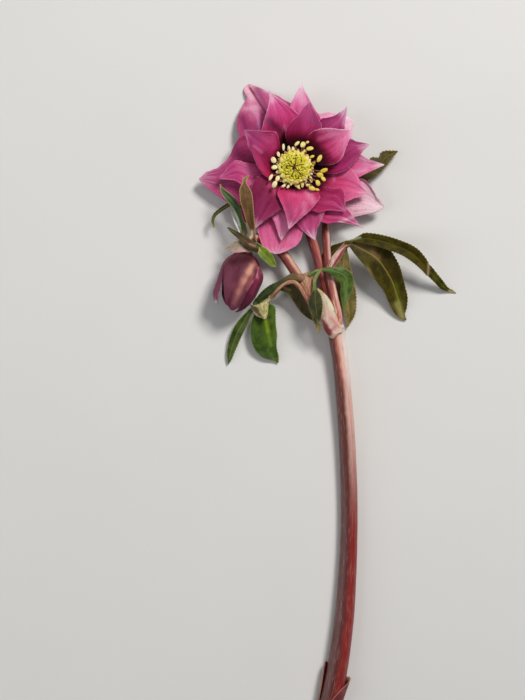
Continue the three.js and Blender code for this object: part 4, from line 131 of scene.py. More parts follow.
        'z': [[10.9, 11.02, 11.13, 11.22, 11.29], [11.95, 11.97, 12.05, 12.27, 12.71], [12.75, 12.71, 12.78, 13.08, 13.76], [13.17, 13.12, 13.18, 13.52, 14.31], [13.34, 13.27, 13.33, 13.68, 14.5], [13.31, 13.2, 13.22, 13.52, 14.23], [13.04, 12.91, 12.9, 13.12, 13.63], [12.55, 12.45, 12.44, 12.54, 12.79], [12.03, 12.02, 12.02, 12.01, 12.01]],
    },
    'petal_13': {
        'a': [[-14.88, 84.27], [-19.37, 81.87], [-20.24, 79.43], [-19.19, 76.43], [-18.01, 73.74], [-17.03, 71.11], [-16.36, 68.26], [-15.97, 65.25]],
        'b': [[-10.84, 84.74], [-6.58, 81.69], [-4.13, 79.81], [-3.37, 77.79], [-4.68, 75.32], [-6.64, 73.04], [-8.99, 70.89], [-11.34, 68.94], [-13.69, 66.88], [-15.57, 65.17]],
        'z': [[12.1, 11.91, 11.77, 11.7, 11.66], [14.92, 14.15, 13.89, 14.16, 14.88], [16.66, 15.77, 15.55, 16.04, 17.19], [17.89, 17.09, 16.91, 17.47, 18.68], [18.57, 18.01, 17.91, 18.36, 19.36], [18.78, 18.38, 18.32, 18.64, 19.31], [18.78, 18.52, 18.49, 18.68, 19.1], [18.44, 18.33, 18.32, 18.42, 18.62], [18.19, 18.2, 18.21, 18.21, 18.2]],
    },
    'petal_14': {
        'a': [[-16.76, 84.6], [-21.13, 78.09], [-23.58, 72.93], [-22.87, 70.57], [-21.52, 68.49], [-20.5, 65.48], [-19.55, 62.74], [-18.67, 60.94]],
        'b': [[-13.41, 83.55], [-12.45, 76.5], [-12.46, 70.95], [-14.23, 66.64], [-15.49, 65.08], [-16.63, 63.52], [-17.57, 62.35], [-18.44, 60.94]],
        'z': [[10.81, 11.01, 11.25, 11.48, 11.71], [12.43, 12.36, 12.47, 12.71, 13.03], [13.55, 13.3, 13.33, 13.54, 13.83], [14.12, 13.79, 13.78, 13.96, 14.24], [14.32, 13.97, 13.92, 14.1, 14.43], [14.18, 13.85, 13.79, 13.96, 14.33], [13.74, 13.47, 13.41, 13.54, 13.83], [13.15, 12.99, 12.95, 13.0, 13.13], [12.66, 12.64, 12.63, 12.62, 12.61]],
    },
    'petal_15': {
        'a': [[-17.56, 87.29], [-21.92, 86.69], [-25.47, 86.72], [-28.22, 85.98], [-29.8, 83.41], [-30.78, 79.88], [-30.27, 75.59], [-29.8, 71.3], [-28.94, 65.81]],
        'b': [[-15.98, 84.61], [-17.19, 80.41], [-17.4, 76.77], [-18.0, 73.77], [-19.97, 71.99], [-22.32, 70.43], [-24.68, 68.88], [-26.85, 67.23], [-28.62, 65.69]],
        'z': [[11.94, 11.91, 11.87, 11.81, 11.77], [14.69, 14.1, 13.88, 13.86, 13.9], [16.07, 15.48, 15.26, 15.29, 15.45], [16.71, 16.29, 16.12, 16.2, 16.5], [16.81, 16.63, 16.56, 16.68, 17.11], [16.17, 16.4, 16.47, 16.6, 17.04], [15.69, 15.98, 16.07, 16.2, 16.6], [15.06, 15.34, 15.43, 15.51, 15.76], [14.83, 14.84, 14.84, 14.85, 14.86]],
    },
    'petal_16': {
        'a': [[-18.15, 89.52], [-23.89, 91.19], [-29.02, 91.16], [-32.97, 91.84], [-36.72, 92.65], [-38.9, 90.83], [-40.89, 88.51], [-42.47, 86.75], [-43.19, 85.69]],
        'b': [[-18.43, 86.31], [-23.1, 81.33], [-28.63, 78.78], [-31.99, 80.97], [-34.56, 83.08], [-36.54, 84.44], [-39.71, 85.09], [-42.95, 85.38]],
        'z': [[11.2, 11.2, 11.2, 11.2, 11.2], [12.17, 12.06, 12.02, 12.02, 12.02], [12.77, 12.55, 12.47, 12.45, 12.4], [13.03, 12.7, 12.58, 12.52, 12.32], [13.0, 12.55, 12.4, 12.3, 12.0], [12.81, 12.29, 12.12, 12.03, 11.78], [12.24, 11.84, 11.7, 11.65, 11.5], [11.5, 11.34, 11.28, 11.27, 11.22], [11.0, 11.0, 11.0, 11.0, 11.0]],
    },
    'right_bract_sheath': {
        'a': [[-0.71, 50.22], [0.68, 53.78], [2.66, 56.27], [5.04, 58.65], [7.42, 60.4], [9.41, 61.32]],
        'b': [[2.48, 50.23], [3.86, 52.21], [5.04, 54.18], [6.23, 56.55], [7.53, 58.42], [9.8, 59.81]],
        'z': [[9.57, 10.49, 9.01], [9.68, 10.68, 9.28], [9.75, 10.83, 9.51], [9.69, 10.83, 9.58], [9.57, 10.78, 9.59], [9.29, 10.55, 9.42]],
    },
    'right_bract_leaflet_1': {
        'a': [[9.91, 61.76], [11.67, 62.69], [13.97, 63.88], [17.07, 63.82], [20.95, 63.17], [24.89, 62.17], [28.85, 60.84], [32.91, 59.14], [35.77, 57.24], [38.13, 54.59], [39.78, 52.17], [40.56, 49.83], [40.23, 47.64]],
        'b': [[10.31, 60.58], [12.65, 60.0], [16.29, 59.33], [20.57, 58.28], [24.51, 56.78], [28.53, 55.31], [32.19, 53.14], [35.57, 50.58], [37.63, 48.72], [39.13, 47.09]],
        'z': [[11.8, 11.6, 11.8], [13.0, 12.65, 12.9], [13.8, 13.2, 13.5], [14.2, 13.4, 13.9], [14.0, 13.1, 13.7], [13.2, 12.3, 13.0], [11.9, 11.2, 11.8], [10.3, 9.8, 10.1], [8.3, 8.1, 8.1]],
    },
    'right_bract_leaflet_2': {
        'a': [[9.22, 60.73], [11.34, 61.03], [14.06, 60.78], [18.01, 60.14], [21.97, 58.8], [24.82, 56.93], [26.89, 53.84], [28.63, 50.35], [29.83, 46.47], [30.89, 42.58], [31.81, 39.03], [31.56, 34.66], [30.91, 31.83], [31.53, 29.84]],
        'b': [[7.95, 59.31], [9.48, 56.91], [11.96, 53.73], [14.85, 50.41], [16.91, 47.43], [19.43, 44.34], [21.98, 41.25], [23.79, 37.36], [25.39, 34.2], [27.28, 31.62], [29.39, 30.11], [31.25, 29.52]],
        'z': [[10.2, 10.0, 10.1], [10.87, 10.36, 10.87], [11.07, 10.32, 11.07], [10.83, 9.93, 10.83], [9.85, 8.95, 9.85], [8.45, 7.58, 8.45], [6.67, 5.9, 6.67], [4.66, 4.03, 4.66], [2.89, 2.47, 2.89], [1.66, 1.45, 1.66], [0.9, 0.9, 0.9]],
    },
    'right_bract_leaflet_3': {
        'a': [[5.86, 57.58], [4.11, 54.25], [3.35, 50.32], [2.79, 45.98], [3.41, 41.23], [4.63, 36.86], [5.85, 33.48], [6.98, 30.7], [7.75, 27.03]],
        'b': [[7.56, 57.58], [8.27, 54.64], [8.9, 50.9], [9.73, 47.95], [10.47, 44.79], [11.18, 40.83], [11.41, 36.86], [11.23, 33.28], [10.44, 30.62], [9.06, 28.51], [8.03, 26.87]],
        'z': [[8.7, 8.2, 8.7], [7.79, 7.29, 7.79], [6.77, 6.27, 6.77], [5.7, 5.2, 5.7], [4.87, 4.37, 4.87], [4.14, 3.65, 4.14], [3.5, 3.0, 3.5], [2.94, 2.44, 2.94], [2.48, 1.98, 2.48], [2.1, 1.6, 2.1]],
    },
    'right_bract_leaflet_4': {
        'a': [[7.09, 61.21], [4.76, 60.36], [2.03, 59.56], [-0.32, 58.03], [-2.3, 55.67], [-2.97, 52.89], [-2.49, 50.29]],
        'b': [[7.69, 59.42], [5.76, 58.1], [4.04, 55.6], [1.7, 52.87], [-0.29, 50.69], [-1.89, 49.77]],
        'z': [[7.4, 7.2, 7.4], [5.75, 5.55, 5.75], [3.87, 3.67, 3.87], [2.39, 2.19, 2.39], [1.53, 1.33, 1.53], [1.17, 0.97, 1.17], [1.1, 0.9, 1.1]],
    },
    'back_bract': {
        'a': [[2.37, 82.93], [6.76, 87.34], [11.55, 91.35], [16.33, 93.56], [17.33, 94.44], [20.33, 94.58], [20.93, 96.19], [22.34, 97.0], [25.14, 97.22], [27.79, 97.17]],
        'b': [[4.01, 80.25], [8.78, 81.43], [13.55, 84.2], [16.13, 85.4], [18.32, 86.59], [20.72, 88.59], [23.12, 90.8], [25.12, 93.41], [26.73, 95.3], [27.94, 96.8]],
        'z': [[6.1, 4.96, 4.42], [5.72, 4.86, 4.6], [5.45, 4.83, 4.8], [5.2, 4.75, 4.89], [4.99, 4.64, 4.9], [4.72, 4.45, 4.77], [4.41, 4.17, 4.53], [4.01, 3.8, 4.18], [3.51, 3.31, 3.71]],
    },
    'lower_bract_sheath': {
        'a': [[-0.27, 23.51], [-1.79, 25.65], [-2.6, 28.81], [-2.96, 32.37], [-3.11, 35.93], [-3.7, 39.1], [-4.64, 41.88]],
        'b': [[5.9, 25.02], [5.09, 26.99], [4.01, 29.13], [3.13, 31.97], [1.94, 35.13], [0.25, 38.18], [-1.92, 40.56], [-4.09, 42.35]],
        'z': [[9.7, 10.6, 10.9, 10.68, 10.0], [10.21, 11.11, 11.41, 11.19, 10.51], [10.79, 11.69, 11.99, 11.77, 11.09], [10.98, 11.88, 12.18, 11.95, 11.28], [10.95, 11.85, 12.15, 11.92, 11.25], [10.73, 11.63, 11.93, 11.7, 11.03], [10.45, 11.35, 11.65, 11.43, 10.75], [10.1, 11.0, 11.3, 11.07, 10.4]],
    },
    'left_bract_sheath': {
        'a': [[-7.07, 36.32], [-8.46, 38.3], [-9.84, 40.67], [-11.03, 43.04], [-11.74, 45.42], [-11.3, 47.48]],
        'b': [[-6.47, 37.12], [-6.28, 39.89], [-5.76, 42.65], [-5.68, 45.03], [-6.2, 47.01], [-7.85, 48.72]],
        'z': [[11.0, 11.3, 10.7], [11.2, 11.5, 10.9], [11.25, 11.55, 10.95], [11.25, 11.55, 10.95], [11.1, 11.4, 10.8], [10.85, 11.15, 10.55]],
    },
    'left_bract_leaflet_1': {
        'a': [[-10.83, 47.87], [-12.81, 48.03], [-14.99, 47.79], [-17.16, 46.68], [-19.93, 45.03], [-23.09, 43.47], [-25.86, 41.37], [-27.93, 39.27], [-29.28, 37.66], [-30.08, 36.32]],
        'b': [[-11.42, 43.84], [-13.4, 44.79], [-15.18, 44.95], [-17.16, 43.84], [-19.33, 42.38], [-21.11, 40.89], [-23.09, 39.29], [-25.46, 37.5], [-27.65, 36.02], [-29.04, 35.56], [-30.0, 35.69]],
        'z': [[11.15, 11.5, 11.0], [11.15, 11.5, 11.0], [11.25, 11.6, 11.1], [11.2, 11.55, 11.05], [10.85, 11.2, 10.7], [10.05, 10.4, 9.9], [8.95, 9.3, 8.8], [7.55, 7.9, 7.4], [6.05, 6.4, 5.9], [4.75, 5.1, 4.6]],
    },
    'left_bract_leaflet_2': {
        'a': [[-30.51, 34.63], [-33.02, 32.45], [-35.02, 30.27], [-36.9, 27.69], [-38.5, 24.51], [-39.55, 20.92], [-40.15, 17.73], [-40.23, 14.94], [-39.8, 12.38]],
        'b': [[-29.24, 33.82], [-30.75, 30.85], [-32.23, 27.28], [-33.71, 24.5], [-35.03, 21.92], [-36.24, 18.93], [-37.44, 16.13], [-38.44, 13.74], [-39.44, 12.22]],
        'z': [[6.06, 6.02, 6.95], [5.41, 5.27, 6.12], [4.77, 4.52, 5.26], [4.08, 3.73, 4.39], [3.35, 2.93, 3.51], [2.67, 2.2, 2.73], [2.2, 1.69, 2.18], [1.88, 1.34, 1.8], [1.64, 1.08, 1.51]],
    },
    'left_bract_leaflet_3': {
        'a': [[-27.85, 34.41], [-29.44, 31.64], [-30.63, 28.47], [-30.84, 25.09], [-30.52, 21.71], [-29.45, 18.53], [-28.05, 16.53], [-25.86, 14.66], [-23.07, 13.74], [-21.47, 13.34], [-20.03, 12.42]],
        'b': [[-23.88, 36.4], [-21.29, 35.22], [-20.81, 31.25], [-20.69, 27.28], [-20.28, 23.71], [-20.44, 20.52], [-20.19, 17.73], [-19.55, 15.13], [-19.63, 12.54]],
        'z': [[6.9, 6.67, 6.6, 6.67, 6.9], [6.37, 6.06, 5.95, 6.06, 6.37], [5.84, 5.37, 5.21, 5.37, 5.84], [5.3, 4.62, 4.4, 4.62, 5.3], [4.71, 3.97, 3.73, 3.97, 4.71], [4.04, 3.31, 3.06, 3.31, 4.04], [3.3, 2.62, 2.4, 2.62, 3.3], [2.5, 2.01, 1.84, 2.01, 2.5], [1.73, 1.47, 1.38, 1.47, 1.73], [1.0, 1.0, 1.0, 1.0, 1.0]],
        'm': [[-26.26, 35.41], [-26.06, 31.25], [-25.94, 27.68], [-25.26, 23.31], [-24.06, 19.33], [-22.27, 15.93], [-19.87, 12.54]],
    },
    'left_bract_fold': {
        'a': [[-21.66, 40.02], [-23.28, 38.51], [-25.07, 37.72], [-26.46, 36.61], [-28.24, 35.58], [-30.03, 35.63], [-31.18, 36.07]],
        'b': [[-21.02, 38.52], [-22.85, 37.33], [-23.68, 35.98], [-23.68, 33.79], [-24.08, 31.69], [-24.83, 29.95], [-26.66, 30.5], [-28.64, 31.3], [-29.83, 33.01], [-30.78, 35.04]],
        'z': [[8.38, 8.76, 8.14], [8.56, 8.95, 8.34], [8.6, 9.0, 8.4], [8.61, 9.03, 8.44], [8.41, 8.84, 8.27], [8.08, 8.54, 7.99], [7.68, 8.17, 7.65]],
    },
    'left_bract_leaflet_4': {
        'a': [[-18.73, 42.44], [-16.36, 43.65], [-13.99, 44.04], [-11.62, 41.95], [-9.63, 38.91], [-7.79, 35.76], [-6.41, 32.42], [-5.83, 29.7]],
        'b': [[-19.6, 41.44], [-17.53, 40.66], [-15.42, 39.17], [-13.82, 37.0], [-12.11, 34.43], [-10.11, 31.97], [-7.97, 30.3], [-5.94, 29.18]],
        'z': [[9.9, 9.2, 8.8], [10.6, 8.6, 8.0], [10.9, 8.0, 7.2], [10.7, 7.5, 6.6], [10.2, 7.0, 6.2], [9.4, 6.5, 5.9], [7.9, 6.1, 5.8], [6.2, 6.0, 6.0]],
    },
    'left_bract_leaflet_5': {
        'a': [[-4.71, 49.64], [-2.54, 50.02], [0.62, 50.46], [3.79, 50.62], [6.97, 49.85], [9.17, 48.01], [10.18, 45.46], [9.62, 41.91], [8.45, 38.75], [7.28, 36.38], [6.42, 33.73]],
        'b': [[-4.51, 48.45], [-2.54, 48.72], [-0.57, 48.56], [1.61, 46.98], [4.0, 45.69], [5.01, 43.45], [4.76, 40.31], [5.15, 37.56], [6.1, 33.65]],
        'z': [[11.6, 11.8, 11.6], [11.89, 12.18, 11.89], [11.9, 12.29, 11.81], [11.63, 12.03, 11.63], [10.89, 11.29, 11.28], [9.92, 10.26, 10.58], [9.19, 9.31, 9.69], [8.62, 8.62, 8.9], [7.92, 7.92, 8.11], [7.4, 7.4, 7.4]],
    },
    'left_bract_leaflet_6': {
        'a': [[-4.35, 48.68], [-5.5, 46.94], [-6.14, 44.95], [-6.14, 43.17], [-6.07, 41.86], [-7.09, 39.81], [-7.84, 37.44], [-7.84, 34.69], [-6.54, 31.73], [-3.84, 28.98]],
        'b': [[-3.36, 47.97], [-4.39, 46.3], [-4.95, 44.56], [-4.96, 42.97], [-4.61, 41.79], [-3.31, 40.01], [-2.52, 37.44], [-2.32, 34.49], [-2.79, 31.54], [-3.44, 28.98]],
        'z': [[13.0, 12.7, 13.0], [13.4, 13.1, 13.4], [13.8, 13.5, 13.8], [14.1, 13.8, 14.1], [14.25, 13.95, 14.25], [14.3, 14.0, 14.3], [14.25, 13.95, 14.25], [14.1, 13.8, 14.1], [13.7, 13.4, 13.7], [13.1, 12.8, 13.1]],
    },
    'left_bract_leaflet_7': {
        'a': [[-7.28, 36.12], [-7.28, 34.34], [-6.77, 31.96], [-6.09, 29.59], [-5.56, 27.23], [-4.57, 25.65], [-3.96, 24.26]],
        'b': [[-6.09, 36.32], [-5.46, 34.34], [-4.51, 31.17], [-3.32, 28.81], [-2.91, 26.83], [-3.22, 25.41], [-3.69, 24.18]],
        'z': [[11.4, 11.2, 11.4], [11.58, 11.38, 11.58], [11.57, 11.37, 11.57], [11.4, 11.2, 11.4], [11.04, 10.84, 11.04], [10.56, 10.36, 10.56], [10.0, 9.8, 10.0]],
    },
    'bud_bract_leaflet_1': {
        'a': [[-31.94, 60.96], [-31.54, 62.29], [-30.99, 63.84], [-31.61, 66.15], [-32.55, 68.83], [-33.72, 72.69], [-34.61, 75.4], [-35.0, 78.13], [-35.16, 80.47], [-34.49, 82.24], [-33.86, 83.31], [-33.98, 84.41], [-32.93, 85.48], [-31.44, 86.47]],
        'b': [[-28.27, 60.76], [-28.5, 62.28], [-28.86, 63.83], [-28.93, 66.13], [-29.24, 69.59], [-29.55, 73.45], [-29.79, 76.94], [-30.37, 79.68], [-31.27, 81.52], [-32.45, 83.06], [-32.22, 84.41], [-31.24, 86.26]],
        'z': [[13.85, 13.4, 14.05], [14.35, 13.9, 14.55], [15.45, 15.0, 15.65], [16.65, 16.2, 16.85], [17.6, 17.15, 17.8], [18.3, 17.85, 18.5], [18.9, 18.45, 19.1], [19.35, 18.9, 19.55], [19.6, 19.15, 19.8], [19.65, 19.2, 19.85], [19.5, 19.05, 19.7], [19.3, 18.85, 19.5], [19.05, 18.6, 19.25]],
    },
    'bud_bract_leaflet_2': {
        'a': [[-34.71, 62.9], [-34.63, 64.31], [-34.78, 66.65], [-35.25, 68.59], [-36.5, 71.33], [-38.48, 74.5], [-40.78, 77.32], [-42.13, 79.34], [-42.81, 81.54], [-42.94, 83.19]],
        'b': [[-32.02, 62.82], [-31.94, 64.31], [-32.26, 65.68], [-32.84, 67.42], [-33.75, 69.76], [-34.53, 72.7], [-35.32, 75.28], [-36.51, 77.29], [-38.1, 78.9], [-40.08, 80.53], [-41.59, 81.74], [-42.7, 83.34]],
        'z': [[12.9, 12.7, 12.95], [13.2, 13.0, 13.25], [14.0, 13.8, 14.05], [14.6, 14.4, 14.65], [14.8, 14.6, 14.85], [14.7, 14.5, 14.75], [14.2, 14.0, 14.25], [13.5, 13.3, 13.55], [12.8, 12.6, 12.85], [12.3, 12.1, 12.35], [11.8, 11.6, 11.85]],
    },
    'bud_bract_leaflet_3': {
        'a': [[-36.55, 74.51], [-38.33, 74.74], [-40.53, 73.61], [-42.93, 72.1], [-44.65, 70.56], [-45.26, 69.0], [-45.03, 66.45]],
        'b': [[-36.94, 76.69], [-38.93, 76.32], [-40.92, 75.42], [-43.72, 73.51], [-45.72, 71.55], [-46.37, 69.4], [-45.75, 66.37]],
        'z': [[10.8, 10.6, 10.8], [10.16, 9.96, 10.16], [9.39, 9.19, 9.39], [8.46, 8.26, 8.46], [7.56, 7.36, 7.56], [6.76, 6.56, 6.76], [6.2, 6.0, 6.2], [5.8, 5.6, 5.8]],
    },
    'bud_bract_leaflet_4': {
        'a': [[-35.9, 65.33], [-37.0, 67.69], [-37.91, 70.28], [-38.35, 72.29], [-37.88, 73.57]],
        'b': [[-33.76, 65.72], [-34.75, 68.28], [-35.34, 70.27], [-36.46, 72.56], [-37.49, 73.73]],
        'z': [[12.5, 12.2, 12.5], [12.68, 12.38, 12.68], [12.67, 12.37, 12.67], [12.5, 12.2, 12.5], [12.12, 11.82, 12.12], [11.7, 11.4, 11.7], [11.3, 11.0, 11.3]],
    },
    'bud_bract_leaflet_5': {
        'a': [[-28.62, 56.11], [-30.98, 57.21], [-33.35, 59.11], [-34.93, 60.8], [-36.32, 62.16], [-37.71, 63.41], [-39.21, 64.94], [-40.09, 66.1]],
        'b': [[-28.62, 60.04], [-30.0, 60.9], [-31.77, 62.01], [-33.55, 63.14], [-35.33, 64.28], [-37.31, 65.26], [-38.9, 66.15], [-39.93, 66.41]],
        'z': [[15.0, 15.35, 15.2], [15.1, 15.45, 15.3], [15.05, 15.4, 15.25], [14.65, 15.0, 14.85], [14.15, 14.5, 14.35], [13.6, 13.95, 13.8], [13.05, 13.4, 13.25], [12.55, 12.9, 12.75], [12.05, 12.4, 12.25]],
    },
    'bud_bract_leaflet_6': {
        'a': [[-29.33, 58.76], [-30.99, 59.35], [-32.57, 60.1], [-34.35, 60.91], [-36.13, 61.08], [-38.51, 60.02], [-40.38, 58.49], [-41.7, 57.06]],
        'b': [[-29.18, 56.46], [-31.19, 56.3], [-33.56, 56.32], [-35.93, 56.07], [-37.8, 56.22], [-39.31, 57.12], [-40.5, 57.23], [-41.46, 56.77]],
        'z': [[13.75, 13.75, 13.95], [13.8, 13.8, 14.0], [13.65, 13.65, 13.85], [13.2, 13.2, 13.4], [12.6, 12.6, 12.8], [11.8, 11.8, 12.0], [10.8, 10.8, 11.0], [9.9, 9.9, 10.1]],
    },
    'bud_bract_leaflet_7': {
        'a': [[-28.7, 59.14], [-28.23, 56.95], [-27.28, 54.78], [-26.02, 53.4], [-24.76, 52.42], [-23.5, 51.25], [-22.19, 50.55], [-20.81, 50.72]],
        'b': [[-27.72, 59.93], [-26.65, 59.13], [-24.68, 57.82], [-23.1, 56.44], [-21.92, 54.67], [-21.13, 52.83], [-20.58, 51.03]],
        'z': [[14.0, 13.6, 14.0], [14.46, 14.06, 14.46], [14.6, 14.2, 14.6], [14.6, 14.2, 14.6], [14.55, 14.15, 14.55], [14.27, 13.87, 14.27], [13.97, 13.57, 13.97], [13.6, 13.2, 13.6]],
    },
    'right_bract_leaflet_1_tip': {
        'a': [[38.96, 52.42], [41.01, 50.87], [43.42, 48.16], [46.16, 45.09], [48.28, 42.57], [50.16, 41.55], [51.35, 40.68]],
        'b': [[38.17, 48.85], [40.26, 46.52], [42.68, 44.28], [45.4, 41.87], [47.72, 41.14], [50.01, 40.67], [51.31, 40.28]],
        'z': [[8.9, 8.7, 8.8], [7.7, 7.3, 7.5], [6.0, 5.5, 5.7], [4.1, 3.6, 3.8], [2.28, 1.98, 2.08], [1.02, 0.82, 0.92], [0.24, 0.24, 0.24]],
    },
}
